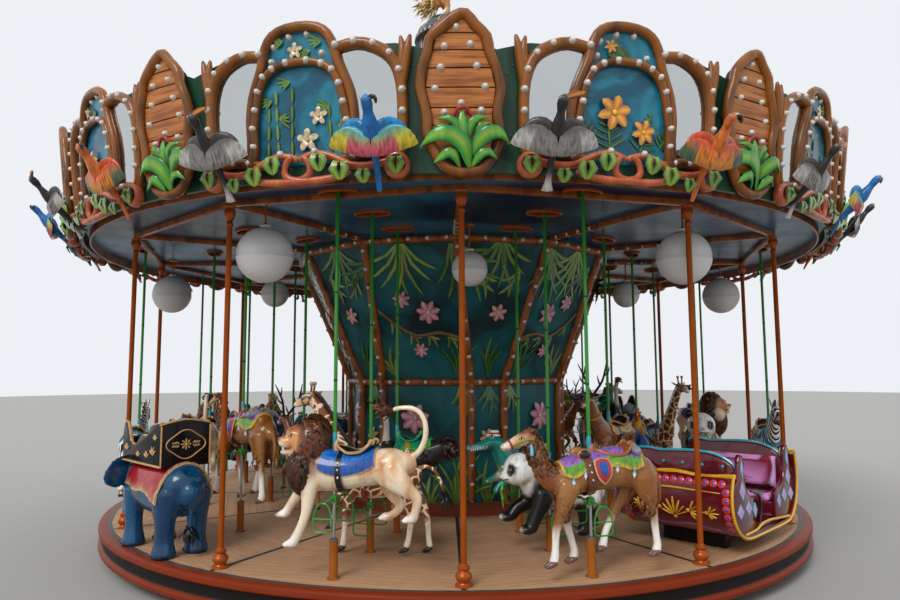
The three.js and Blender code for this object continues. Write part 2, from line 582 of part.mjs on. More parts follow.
const FIGURE_COLOURS = {
  lion: 0xe6d3b0, giraffe: 0xd9a964, camel: 0xb98248, panda: 0xf0f0ee, zebra: 0xe9e9e6, deer: 0x7a4526,
  ostrich: 0x2b2622, rooster: 0x2f6aa0, crocodile: 0x1f7a6a, elephant: COLOURS.blue, chariot: COLOURS.maroon,
};

const buildFigures = () => {
  const counts = {};
  places.forEach(({ azimuth, kind, row }) => {
    counts[kind] = (counts[kind] ?? 0) + 1;
    const reach = kind === 'chariot' ? 3960 : ROWS[row];
    const solids = {
      chariot,
      elephant: () => fuse(elephant()).add(howdah()),
    };
    const solid = solids[kind] ? solids[kind]() : fuse([...figureLimbs(RIDERS[kind]), ...riderFittings(kind)]);
    const name = `${kind}_${counts[kind]}`;
    const mesh = addNode(name, solid, FIGURE_COLOURS[kind], { roughness: 0.3 });
    mesh.position.copy(spread(reach, azimuth, DECK_TOP + (RAISED.has(name) ? STROKE : 0)));
    mesh.rotation.z = facing(azimuth);
  });
  const horse = addNode('top_horse', fuse(rearingHorse()), COLOURS.gold, { roughness: 0.35 });
  horse.position.set(60, 0, DECK_TOP + ROOF.top + 880 + 2 * GAP);
};

buildBase();
buildDeck();
buildDrum();
buildPoles();
buildCeiling();
buildCornice();
buildRoof();
buildFigures();

export default carousel;
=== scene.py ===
"""Fairground carousel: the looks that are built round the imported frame, in metres.

An azimuth is counted in degrees from the front (-Y) towards +X, as in the CAD source.
A master is modelled as seen from the front: x to the right, y into the ride, z up.
"""
import json
import logging
import math
from collections.abc import Callable, Iterator, Sequence
from contextlib import contextmanager
from dataclasses import dataclass, field
from enum import Enum
from functools import cached_property

import bpy
import numpy as np
from mathutils import Matrix, Vector

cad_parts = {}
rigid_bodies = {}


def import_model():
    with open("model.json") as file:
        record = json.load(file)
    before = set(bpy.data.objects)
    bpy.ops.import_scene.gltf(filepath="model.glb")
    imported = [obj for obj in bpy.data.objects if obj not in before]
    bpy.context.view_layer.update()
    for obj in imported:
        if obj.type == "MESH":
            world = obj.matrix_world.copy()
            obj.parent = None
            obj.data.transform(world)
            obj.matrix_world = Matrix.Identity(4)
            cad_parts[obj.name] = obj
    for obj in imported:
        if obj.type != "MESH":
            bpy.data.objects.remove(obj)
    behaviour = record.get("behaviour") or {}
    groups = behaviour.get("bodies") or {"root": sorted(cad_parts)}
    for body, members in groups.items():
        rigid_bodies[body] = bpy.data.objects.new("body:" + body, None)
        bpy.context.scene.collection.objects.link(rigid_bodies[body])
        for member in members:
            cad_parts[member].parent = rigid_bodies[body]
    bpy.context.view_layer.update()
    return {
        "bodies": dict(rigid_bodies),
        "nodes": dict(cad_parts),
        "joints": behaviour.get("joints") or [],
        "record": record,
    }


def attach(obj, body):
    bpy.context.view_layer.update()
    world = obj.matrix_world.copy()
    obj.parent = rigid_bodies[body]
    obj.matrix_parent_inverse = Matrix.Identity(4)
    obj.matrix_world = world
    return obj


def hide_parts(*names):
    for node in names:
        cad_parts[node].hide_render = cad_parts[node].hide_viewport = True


log = logging.getLogger("carousel")
Piece = bpy.types.Object
Socket = bpy.types.NodeSocket
Points = np.ndarray
Move = Callable[[Points], Points]
Row = tuple[float, ...]

SECTORS = 12
SECTOR = 360 / SECTORS
DECK_TOP = 0.38
POLE_CIRCLE = 4.5
CORNICE_FOOT = 3.348
CORNICE_RADIUS = 5.122
CORNICE_LEAN = math.tan(math.radians(6))
ROWS = {"outer": 4.41, "middle": 3.51, "inner": 2.68}
ROOF_TOP = 6.48
DOME_HIGH = 0.88
STROKE = 0.24
ROD_TOP = 3.8695
SOCKET_RISE = 0.128
SKIN_GRAIN = 0.012
PAD_SHARE = 0.15
PAD_FRAMES = 20
BOTH = (-1, 1)


# Places and shapes

def linear(code: str) -> tuple[float, float, float, float]:
    """Turns a paint code into the colour that shaders and attributes take.

    Args:
        code: Six hex digits, as mixed on a screen.
    Returns:
        Linear red, green, blue and full alpha.
    """
    shades = (int(code[i:i + 2], 16) / 255 for i in (0, 2, 4))
    red, green, blue = (s / 12.92 if s <= 0.04045 else ((s + 0.055) / 1.055) ** 2.4 for s in shades)
    return red, green, blue, 1.0


def polar(reach: float, azimuth: float, z: float = 0.0) -> Vector:
    """Returns the point at a reach and azimuth round the ride."""
    turn = math.radians(azimuth)
    return Vector((reach * math.sin(turn), -reach * math.cos(turn), z))


def around(azimuth: float, reach: float = 0.0, z: float = 0.0) -> Move:
    """Returns the move of a master from the front to its place round the ride.

    Args:
        azimuth: Where it goes, in degrees.
        reach: How far its own origin is from the axis.
        z: How high its own origin is.
    Returns:
        The move, which takes and gives rows of points.
    """
    sine, cosine = math.sin(math.radians(azimuth)), math.cos(math.radians(azimuth))

    def move(points: Points) -> Points:
        """Turns the points about the axis."""
        x, y, up = points.T
        out = reach - y
        return np.stack((out * sine + x * cosine, x * sine - out * cosine, up + z), 1)
    return move


def wrapped(azimuth: float) -> Move:
    """Returns the move that wraps a flat master round the leaning cornice.

    Args:
        azimuth: Where the middle of the master goes.
    Returns:
        The move, which keeps heights over the foot of the cornice.
    """
    def move(points: Points) -> Points:
        """Bends the points round the cone."""
        x, y, up = points.T
        turn = math.radians(azimuth) + x / CORNICE_RADIUS
        out = CORNICE_RADIUS + CORNICE_LEAN * up - y
        return np.stack((out * np.sin(turn), -out * np.cos(turn), DECK_TOP + CORNICE_FOOT + up), 1)
    return move


def by_matrix(matrix: Matrix) -> Move:
    """Returns the move that a matrix makes."""
    table = np.array(matrix)
    return lambda points: points @ table[:3, :3].T + table[:3, 3]


def coordinates(piece: Piece) -> Points:
    """Returns the points of a mesh, a row each."""
    points = np.empty(len(piece.data.vertices) * 3)
    piece.data.vertices.foreach_get("co", points)
    return points.reshape(-1, 3)


def reshape(piece: Piece, points: Points) -> None:
    """Puts the points of a mesh where the rows say."""
    piece.data.vertices.foreach_set("co", np.ascontiguousarray(points, dtype=np.float64).ravel())
    piece.data.update()


def only(*pieces: Piece) -> None:
    """Selects these pieces and nothing else, the first as the active one."""
    bpy.ops.object.select_all(action="DESELECT")
    for piece in pieces:
        piece.select_set(True)
    bpy.context.view_layer.objects.active = pieces[0]


@contextmanager
def editing(piece: Piece) -> Iterator[None]:
    """Opens a piece in edit mode with all of it selected."""
    only(piece)
    bpy.ops.object.mode_set(mode="EDIT")
    bpy.ops.mesh.select_all(action="SELECT")
    yield
    bpy.ops.object.mode_set(mode="OBJECT")


def named(piece: Piece, name: str) -> Piece:
    """Names a piece and its mesh."""
    piece.name = piece.data.name = name
    return piece


def copied(piece: Piece) -> Piece:
    """Makes a second piece with a mesh of its own."""
    twin = piece.copy()
    twin.data = piece.data.copy()
    bpy.context.collection.objects.link(twin)
    return twin


def outwards(piece: Piece) -> Piece:
    """Turns all the faces of a closed piece outwards."""
    with editing(piece):
        bpy.ops.mesh.normals_make_consistent(inside=False)
    return piece


def weld(piece: Piece, closed: bool = True) -> Piece:
    """Merges the seams of a drawn surface, and turns a closed one outwards."""
    with editing(piece):
        bpy.ops.mesh.remove_doubles(threshold=2e-5)
        if closed:
            bpy.ops.mesh.normals_make_consistent(inside=False)
    return piece


def modify(piece: Piece, kind: str, **settings: object) -> Piece:
    """Adds a modifier and applies it.

    Args:
        piece: What it works on.
        kind: Blender's name for the modifier.
        settings: Its values.
    Returns:
        The same piece.
    """
    only(piece)
    modifier = piece.modifiers.new(kind.title(), kind)
    for key, value in settings.items():
        setattr(modifier, key, value)
    bpy.ops.object.modifier_apply(modifier=modifier.name)
    return piece


def smooth(piece: Piece, angle: float = 40.0) -> Piece:
    """Shades a piece smooth, with edges over the angle kept sharp."""
    only(piece)
    bpy.ops.object.shade_smooth_by_angle(angle=math.radians(angle))
    return piece


def joined(name: str, pieces: Sequence[Piece]) -> Piece:
    """Joins pieces into the first and names the result."""
    only(*pieces)
    if len(pieces) > 1:
        bpy.ops.object.join()
    return named(pieces[0], name)


def stamped(name: str, master: Piece, moves: Sequence[Move], keep: bool = False) -> Piece:
    """Copies a master to several places and joins the copies.

    Args:
        name: Name of the result.
        master: The finished piece, in its own frame.
        moves: One move for each copy.
        keep: Whether the master stays for more copies.
    Returns:
        One piece with all the copies.
    """
    base = coordinates(master)
    copies = []
    for move in moves:
        twin = copied(master)
        reshape(twin, move(base))
        copies.append(twin)
    if not keep:
        bpy.data.objects.remove(master)
    return joined(name, copies)


def shaped(name: str, columns: int, rows: int, shape: Callable[[Points, Points], Points]) -> Piece:
    """Draws a surface by moving the points of a grid.

    Args:
        name: Name of the piece.
        columns: Faces along u.
        rows: Faces along v.
        shape: Gives the points for arrays of u and v from 0 to 1.
    Returns:
        The surface, with its seams still open.
    """
    bpy.ops.object.select_all(action="DESELECT")
    bpy.ops.mesh.primitive_grid_add(x_subdivisions=columns, y_subdivisions=rows, size=2)
    piece = named(bpy.context.object, name)
    flat = (coordinates(piece) + 1) / 2
    reshape(piece, shape(flat[:, 0], flat[:, 1]))
    return piece


def smoothed(rows: Sequence[Row], steps: int, closed: bool = False) -> Points:
    """Runs a smooth curve through rows of numbers.

    Args:
        rows: The rows that the curve passes.
        steps: Points for each span.
        closed: Whether the last row joins the first.
    Returns:
        The rows along the curve.
    """
    table = np.array(rows, dtype=float)
    if closed:
        table = np.vstack((table[-1], table, table[:2]))
    else:
        table = np.vstack((2 * table[0] - table[1], table, 2 * table[-1] - table[-2]))
    t = np.linspace(0, 1, steps, endpoint=False)[:, None]
    spans = [
        0.5 * (
            2 * b + (c - a) * t + (2 * a - 5 * b + 4 * c - d) * t ** 2 + (3 * b - a - 3 * c + d) * t ** 3)
        for a, b, c, d in zip(table, table[1:], table[2:], table[3:])]
    return np.vstack(spans if closed else spans + [table[-2:-1]])


def swept(
        name: str, rows: Sequence[Row], sides: int = 10, steps: int = 4,
        dome: int = 3, closed: bool = False, across: Row = (0.0, 1.0, 0.0),
        section: Callable[[Points], tuple[Points, Points]] | None = None) -> Piece:
    """Draws a tapered bar along a smooth path.

    Args:
        name: Name of the piece.
        rows: Rings as x, y, z, half width and half height.
        sides: Corners of each ring.
        steps: Rings for each span of the path.
        dome: Rings that round off each end.
        closed: Whether the bar runs back into itself.
        across: The direction in which the half width is measured.
        section: Gives the two sides of a ring for its angles, a circle when left out.
    Returns:
        The closed bar.
    """
    table = smoothed([tuple(row) if len(row) == 5 else (*row, row[3]) for row in rows], steps, closed)
    table[:, 3:] = np.maximum(table[:, 3:], 1e-6)
    ahead = np.roll(table[:, :3], -1, 0) - np.roll(table[:, :3], 1, 0)
    if not closed:
        ahead[0], ahead[-1] = table[1, :3] - table[0, :3], table[-1, :3] - table[-2, :3]
        shrink = np.cos(np.linspace(math.pi / 2, 0, dome, endpoint=False))[:, None]
        rise = np.sin(np.linspace(math.pi / 2, 0, dome, endpoint=False))[:, None]
        ends = []
        for ring, way in ((table[0], -ahead[0]), (table[-1], ahead[-1])):
            reach = min(ring[3:]) * 0.85 * way / max(np.linalg.norm(way), 1e-9)
            ends.append(np.hstack((ring[:3] + rise * reach, np.maximum(ring[3:] * shrink, 1e-6))))
        table = np.vstack((ends[0], table, ends[1][::-1]))
        ahead = np.vstack((np.repeat(ahead[:1], dome, 0), ahead, np.repeat(ahead[-1:], dome, 0)))
    ahead /= np.maximum(np.linalg.norm(ahead, axis=1, keepdims=True), 1e-9)
    side = np.array(across) - (ahead @ np.array(across))[:, None] * ahead
    weak = np.linalg.norm(side, axis=1) < 0.15
    spare = np.array(across)[[1, 2, 0]]
    side[weak] = (spare - (ahead @ spare)[:, None] * ahead)[weak]
    side /= np.linalg.norm(side, axis=1, keepdims=True)
    top = np.cross(ahead, side)
    count = len(table)

    def surface(u: Points, v: Points) -> Points:
        """Lays the grid round the rings."""
        ring = np.rint(u * (count if closed else count - 1)).astype(int) % count
        angle = v * 2 * math.pi
        wide, high = section(angle) if section else (np.cos(angle), np.sin(angle))
        return (
            table[ring, :3] + side[ring] * (wide * table[ring, 3])[:, None]
            + top[ring] * (high * table[ring, 4])[:, None])
    return weld(shaped(name, count if closed else count - 1, sides, surface))


def turned(name: str, profile: Sequence[Row], steps: int = 48, place: Row = (0.0, 0.0, 0.0)) -> Piece:
    """Turns a profile of radius and height round an upright axis.

    Args:
        name: Name of the piece.
        profile: Corners, closed when the last is the first or both are on the axis.
        steps: Facets round.
        place: Where the axis stands.
    Returns:
        The closed piece.
    """
    table = np.array(profile, dtype=float)

    def surface(u: Points, v: Points) -> Points:
        """Turns the profile."""
        radius, height = table[np.rint(v * (len(table) - 1)).astype(int)].T
        angle = u * 2 * math.pi
        return np.stack((radius * np.cos(angle), radius * np.sin(angle), height), 1) + np.array(place)
    return weld(shaped(name, steps, len(table) - 1, surface))


def bay(
        name: str, levels: Sequence[Row], front: float, back: float, columns: int = 6, steps: int = 3,
        crown: float = 0.0) -> Piece:
    """Draws an upright board between a left and a right edge that change with the height.

    Args:
        name: Name of the piece.
        levels: Height, left edge and right edge, from the bottom up.
        front: Depth of its face, outwards negative.
        back: Depth of its back.
        columns: Faces across.
        steps: Rows of faces between two levels.
        crown: How far the middle of the face stands proud of its edges.
    Returns:
        The closed board.
    """
    table = smoothed(levels, steps) if steps > 1 else np.array(levels, dtype=float)

    def surface(u: Points, v: Points) -> Points:
        """Fills the face."""
        height, left, right = table[np.rint(v * (len(table) - 1)).astype(int)].T
        bulge = crown * (1 - (2 * u - 1) ** 2)
        return np.stack((left + (right - left) * u, front - bulge, height), 1)
    piece = shaped(name, columns, len(table) - 1, surface)
    return modify(piece, "SOLIDIFY", thickness=back - front, offset=-1)


def plate(name: str, outline: Sequence[Row], front: float, back: float, bevel: float = 0.0) -> Piece:
    """Cuts an upright plate to an outline of x and z.

    Args:
        name: Name of the piece.
        outline: Corners of the plate, counter-clockwise from the front.
        front: Depth of its face, outwards negative.
        back: Depth of its back.
        bevel: Width of its rounded edge.
    Returns:
        The closed plate.
    """
    bpy.ops.object.select_all(action="DESELECT")
    bpy.ops.mesh.primitive_circle_add(vertices=len(outline), fill_type="NGON")
    piece = named(bpy.context.object, name)
    reshape(piece, np.array([(x, back, z) for x, z in outline]))
    with editing(piece):
        bpy.ops.mesh.extrude_region_move(TRANSFORM_OT_translate={"value": (0, front - back, 0)})
        bpy.ops.mesh.select_all(action="SELECT")
        bpy.ops.mesh.normals_make_consistent(inside=False)
    if bevel:
        modify(piece, "BEVEL", width=bevel, segments=2, limit_method="ANGLE", angle_limit=math.radians(50))
    return piece


def block(name: str, low: Row, high: Row, bevel: float = 0.0) -> Piece:
    """Makes a squared bar between two corners, with its edges eased."""
    (x0, y0, z0), (x1, y1, z1) = low, high
    return plate(name, [(x0, z0), (x1, z0), (x1, z1), (x0, z1)], y0, y1, bevel)


def ball(name: str, centre: Row, radii: Row, segments: int = 16, rings: int = 10) -> Piece:
    """Makes a rounded lump and stretches it to its three radii."""
    bpy.ops.object.select_all(action="DESELECT")
    bpy.ops.mesh.primitive_uv_sphere_add(segments=segments, ring_count=rings, radius=1)
    piece = named(bpy.context.object, name)
    reshape(piece, coordinates(piece) * np.array(radii) + np.array(centre))
    return piece


# Finishes

class Pattern(Enum):
    """Ways in which a finish is figured."""

    PLAIN = "plain"
    BRUSHED = "brushed"
    WOOD = "wood"
    BOARDS = "boards"
    WATER = "water"
    PATCHES = "patches"
    STRIPES = "stripes"


class Sockets:
    """A shader node tree with short calls for its nodes and links."""

    def __init__(self, tree: bpy.types.NodeTree) -> None:
        """Starts on a tree."""
        self.tree = tree

    def node(self, kind: str, **values: object) -> bpy.types.Node:
        """Adds a node.

        Args:
            kind: Blender's name of the node.
            values: Settings by name, and inputs as in_NUMBER or in_NAME; a socket is linked.
        Returns:
            The new node.
        """
        node = self.tree.nodes.new(kind)
        for key, value in values.items():
            if not key.startswith("in_"):
                setattr(node, key, value)
        for key, value in values.items():
            if key.startswith("in_"):
                name = key[3:]
                target = node.inputs[int(name) if name.isdigit() else name.replace("_", " ")]
                if isinstance(value, Socket):
                    self.tree.links.new(value, target)
                else:
                    target.default_value = value
        return node

    def math(self, operation: str, *values: object) -> Socket:
        """Adds a sum on numbers or sockets and returns its result."""
        inputs = {f"in_{i}": value for i, value in enumerate(values)}
        return self.node("ShaderNodeMath", operation=operation, **inputs).outputs[0]

    def mix(self, factor: object, first: object, second: object, blend: str = "MIX") -> Socket:
        """Adds a mix of two colours and returns its result."""
        return self.node(
            "ShaderNodeMix", data_type="RGBA", blend_type=blend, in_0=factor, in_6=first,
            in_7=second).outputs[2]

    def noise(self, vector: object, scale: object, detail: float = 3.0) -> Socket:
        """Adds a cloudy noise and returns its value."""
        return self.node(
            "ShaderNodeTexNoise", in_Vector=vector, in_Scale=scale, in_Detail=detail).outputs[0]

    def stretch(self, vector: object, factors: Row) -> Socket:
        """Scales a vector along its axes."""
        return self.node("ShaderNodeVectorMath", operation="MULTIPLY", in_0=vector, in_1=factors).outputs[0]

    def ramp(self, value: object, low: float, high: float) -> Socket:
        """Maps a value between two limits smoothly to 0 and 1."""
        return self.node(
            "ShaderNodeMapRange", interpolation_type="SMOOTHSTEP", in_Value=value, in_From_Min=low,
            in_From_Max=high).outputs[0]


class Effects:
    """The node groups that several finishes share, each built once."""

    def __init__(self) -> None:
        """Starts with no group built."""
        self.trees: dict[str, bpy.types.NodeTree] = {}

    def tree(
            self, name: str, inputs: dict[str, str],
            outputs: dict[str, str]) -> tuple[Sockets, bpy.types.Node, bpy.types.Node]:
        """Starts a node group.

        Args:
            name: Its name.
            inputs: Socket kind of each named input.
            outputs: Socket kind of each named output.
        Returns:
            The tree with its input and output nodes.
        """
        tree = bpy.data.node_groups.new(name, "ShaderNodeTree")
        for direction, sockets in (("INPUT", inputs), ("OUTPUT", outputs)):
            for label, kind in sockets.items():
                tree.interface.new_socket(label, in_out=direction, socket_type=f"NodeSocket{kind}")
        self.trees[name] = tree
        return Sockets(tree), tree.nodes.new("NodeGroupInput"), tree.nodes.new("NodeGroupOutput")

    def weathered_and_shaded(self) -> bpy.types.NodeTree:
        """Uneven paint, rubbed pale along its edges, with painted shade darkening its hollows."""
        if "weathered_and_shaded" in self.trees:
            return self.trees["weathered_and_shaded"]
        sockets, start, end = self.tree(
            "weathered_and_shaded", {
                "Colour": "Color", "Vector": "Vector", "Scale": "Float", "Variation": "Float",
                "Wear": "Float"}, {"Colour": "Color", "Roughness": "Float", "Height": "Float"})
        # The Wear input sets both the pale rubbed edges and the painted shade in the hollows.
        colour, vector, scale, variation, wear = start.outputs[:5]
        broad = sockets.noise(vector, scale)
        fine = sockets.noise(vector, sockets.math("MULTIPLY", scale, 9.0), 5.0)
        sway = sockets.math("MULTIPLY_ADD", sockets.math("SUBTRACT", broad, 0.5), variation, 1.0)
        speck = sockets.math(
            "MULTIPLY_ADD", sockets.math("SUBTRACT", fine, 0.5), sockets.math("MULTIPLY", variation, 0.5),
            1.0)
        shade = sockets.math("MULTIPLY", sway, speck)
        shaded = sockets.node(
            "ShaderNodeVectorMath", operation="SCALE", in_0=colour, in_Scale=shade).outputs[0]
        point = sockets.node("ShaderNodeNewGeometry").outputs["Pointiness"]
        # Painted shade: the hollows, found by pointiness, are darkened towards 1d1410 as far as Wear says.
        painted_hollow_shade = sockets.math("MULTIPLY", sockets.ramp(point, 0.5, 0.42), wear)
        dark = sockets.mix(painted_hollow_shade, shaded, linear("1d1410"))
        edge = sockets.math(
            "MULTIPLY", sockets.ramp(point, 0.57, 0.72), sockets.math("MULTIPLY", wear, fine))
        light = sockets.mix(edge, dark, linear("e8dccb"))
        links = sockets.tree.links
        links.new(light, end.inputs["Colour"])
        links.new(sockets.math(
            "MULTIPLY", sockets.math("SUBTRACT", fine, 0.5), 0.3), end.inputs["Roughness"])
        links.new(sockets.math("MULTIPLY_ADD", fine, 0.25, broad), end.inputs["Height"])
        return self.trees["weathered_and_shaded"]

    def figured(self, pattern: Pattern) -> bpy.types.NodeTree:
        """Builds the group that mixes two colours in a pattern.

        Args:
            pattern: The pattern.
        Returns:
            A group with Light, Dark, Vector and Scale in, and Colour and Height out.
        """
        name = f"figured {pattern.value}"
        if name in self.trees:
            return self.trees[name]
        sockets, start, end = self.tree(
            name, {"Light": "Color", "Dark": "Color", "Vector": "Vector", "Scale": "Float"},
            {"Colour": "Color", "Height": "Float"})
        light, dark, vector, scale = start.outputs[:4]
        mask, height = getattr(self, pattern.value)(sockets, vector, scale)
        sockets.tree.links.new(sockets.mix(mask, light, dark), end.inputs["Colour"])
        sockets.tree.links.new(height, end.inputs["Height"])
        return self.trees[name]

    @staticmethod
    def brushed(sockets: Sockets, vector: Socket, scale: Socket) -> tuple[Socket, Socket]:
        """Long uneven strokes, as of an airbrush or of combed hair."""
        strokes = sockets.noise(sockets.stretch(vector, (1.0, 1.0, 0.22)), scale, 5.0)
        return sockets.ramp(strokes, 0.4, 0.72), strokes

    @staticmethod
    def wood(sockets: Sockets, vector: Socket, scale: Socket) -> tuple[Socket, Socket]:
        """Grain that runs along x."""
        bent = sockets.node(
            "ShaderNodeVectorMath", operation="MULTIPLY_ADD", in_0=sockets.stretch(vector, (0.3, 0.3, 0.3)),
            in_1=(0.35, 1.0, 1.0), in_2=sockets.stretch(vector, (0.02, 0.9, 1.0))).outputs[0]
        rings = sockets.noise(bent, sockets.math("MULTIPLY", scale, 6.0), 6.0)
        lines = sockets.noise(
            sockets.stretch(bent, (0.6, 4.0, 4.0)), sockets.math("MULTIPLY", scale, 14.0), 2.0)
        both = sockets.math("MULTIPLY_ADD", lines, 0.45, sockets.math("MULTIPLY", rings, 0.7))
        return sockets.ramp(both, 0.45, 0.75), both

    @staticmethod
    def boards(sockets: Sockets, vector: Socket, scale: Socket) -> tuple[Socket, Socket]:
        """Narrow floor boards that run along x, with dark joints."""
        parts = sockets.node("ShaderNodeSeparateXYZ", in_0=vector)
        rows = sockets.math("MULTIPLY", parts.outputs[1], scale)
        gap = sockets.ramp(sockets.math("ABSOLUTE", sockets.math(
            "SUBTRACT", sockets.math("FRACT", rows), 0.5)), 0.455, 0.49)
        tone = sockets.node(
            "ShaderNodeTexWhiteNoise", noise_dimensions="1D", in_W=sockets.math("FLOOR", rows)).outputs[0]
        grain = sockets.noise(sockets.stretch(vector, (1.0, 14.0, 1.0)), 5.0, 5.0)
        figure = sockets.math("MULTIPLY_ADD", tone, 0.16, sockets.math(
            "MULTIPLY", sockets.math("SUBTRACT", grain, 0.45), 0.7))
        return (sockets.math("MAXIMUM", sockets.math("MULTIPLY", gap, 0.62), figure), sockets.math(
            "SUBTRACT", sockets.math("MULTIPLY", grain, 0.3), gap))

    @staticmethod
    def water(sockets: Sockets, vector: Socket, scale: Socket) -> tuple[Socket, Socket]:
        """Cloudy streaks, as of light on deep water."""
        warp = sockets.node(
            "ShaderNodeTexNoise", in_Vector=vector, in_Scale=scale, in_Detail=2.0).outputs[1]
        moved = sockets.node(
            "ShaderNodeVectorMath", operation="MULTIPLY_ADD", in_0=warp, in_1=(2.6, 1.6, 2.0),
            in_2=vector).outputs[0]
        veil = sockets.noise(sockets.stretch(moved, (1.0, 1.9, 1.6)), scale, 7.0)
        return sockets.ramp(veil, 0.38, 0.66), veil

    @staticmethod
    def patches(sockets: Sockets, vector: Socket, scale: Socket) -> tuple[Socket, Socket]:
        """Uneven patches with pale lines between them."""
        warp = sockets.node("ShaderNodeTexNoise", in_Vector=vector, in_Scale=5.0).outputs[1]
        moved = sockets.node(
            "ShaderNodeVectorMath", operation="MULTIPLY_ADD", in_0=warp, in_1=(0.09, 0.09, 0.09),
            in_2=vector).outputs[0]
        edge = sockets.node(
            "ShaderNodeTexVoronoi", feature="DISTANCE_TO_EDGE", in_Vector=moved, in_Scale=scale,
            in_Randomness=0.8).outputs[0]
        return sockets.ramp(edge, 0.05, 0.1), edge

    @staticmethod
    def stripes(sockets: Sockets, vector: Socket, scale: Socket) -> tuple[Socket, Socket]:
        """Bent stripes across the body."""
        wave = sockets.node(
            "ShaderNodeTexWave", bands_direction="DIAGONAL",
            in_Vector=sockets.stretch(vector, (1.5, 0.35, 0.35)), in_Scale=scale, in_Distortion=3.2,
            in_Detail=1.5, in_Detail_Scale=1.4)
        return sockets.ramp(wave.outputs[1], 0.5, 0.6), wave.outputs[1]


EFFECTS = Effects()


@dataclass(frozen=True)
class Finish:
    """One finish of the ride.

    A tinted finish multiplies its pattern with the tint that is painted on the piece, and a local
    one follows the piece's own master frame, which the place attribute keeps.
    """

    name: str
    light: str
    dark: str = ""
    pattern: Pattern = Pattern.PLAIN
    scale: float = 6.0
    variation: float = 0.35
    # How much the edges are rubbed pale and the hollows darkened with painted shade.
    wear: float = 0.3
    roughness: float = 0.35
    metallic: float = 0.0
    coat: float = 0.0
    relief: float = 0.002
    tinted: bool = False
    local: bool = False
    shine: float = 0.26
    transmission: float = 0.0
    glow: float = 0.0

    def material(self) -> bpy.types.Material:
        """Builds the material, or finds it when it is there."""
        found = bpy.data.materials.get(self.name)
        if found:
            return found
        material = bpy.data.materials.new(self.name)
        material.use_nodes = True
        sockets = Sockets(material.node_tree)
        shader = material.node_tree.nodes["Principled BSDF"]
        if self.local:
            vector = sockets.node("ShaderNodeAttribute", attribute_name="place").outputs["Vector"]
        else:
            vector = sockets.node("ShaderNodeTexCoord").outputs["Object"]
        colour, height = self.figure(sockets, vector)
        # The group adds pale rubbed edges and painted shade in the hollows to the colour.
        worn_and_shaded = sockets.node(
            "ShaderNodeGroup", node_tree=EFFECTS.weathered_and_shaded(), in_Colour=colour, in_Vector=vector,
            in_Scale=self.scale * 0.7, in_Variation=self.variation, in_Wear=self.wear)
        links = material.node_tree.links
        links.new(worn_and_shaded.outputs["Colour"], shader.inputs["Base Color"])
        links.new(sockets.math(
            "ADD", worn_and_shaded.outputs["Roughness"], self.roughness), shader.inputs["Roughness"])
        bump = sockets.node(
            "ShaderNodeBump", in_Strength=0.6, in_Distance=self.relief,
            in_Height=height or worn_and_shaded.outputs["Height"])
        links.new(bump.outputs[0], shader.inputs["Normal"])
        shader.inputs["Metallic"].default_value = self.metallic
        shader.inputs["Specular IOR Level"].default_value = self.shine
        shader.inputs["Coat Weight"].default_value = self.coat
        shader.inputs["Coat Roughness"].default_value = 0.08
        shader.inputs["Transmission Weight"].default_value = self.transmission
        if self.glow:
            shader.inputs["Emission Color"].default_value = linear(self.light)
            shader.inputs["Emission Strength"].default_value = self.glow
        return material

    def figure(self, sockets: Sockets, vector: Socket) -> tuple[object, Socket | None]:
        """Builds the pattern of the finish.

        Args:
            sockets: The material's tree.
            vector: The coordinates that the pattern follows.
        Returns:
            The colour, and the height of the pattern when it has one.
        """
        light: object = linear(self.light)
        dark: object = linear(self.dark or self.light)
        paint_layer = None
        if self.tinted:
            paint_layer = sockets.node("ShaderNodeAttribute", attribute_name="tint")
            light = sockets.mix(1.0, paint_layer.outputs["Color"], light, "MULTIPLY")
            dark = sockets.mix(1.0, paint_layer.outputs["Color"], dark, "MULTIPLY")
        if self.pattern is Pattern.PLAIN:
            return light, None
        group = sockets.node(
            "ShaderNodeGroup", node_tree=EFFECTS.figured(self.pattern), in_Light=light, in_Dark=dark,
            in_Vector=vector, in_Scale=self.scale)
        colour = group.outputs["Colour"]
        if paint_layer:
            colour = sockets.mix(paint_layer.outputs["Alpha"], light, colour)
        return colour, group.outputs["Height"]


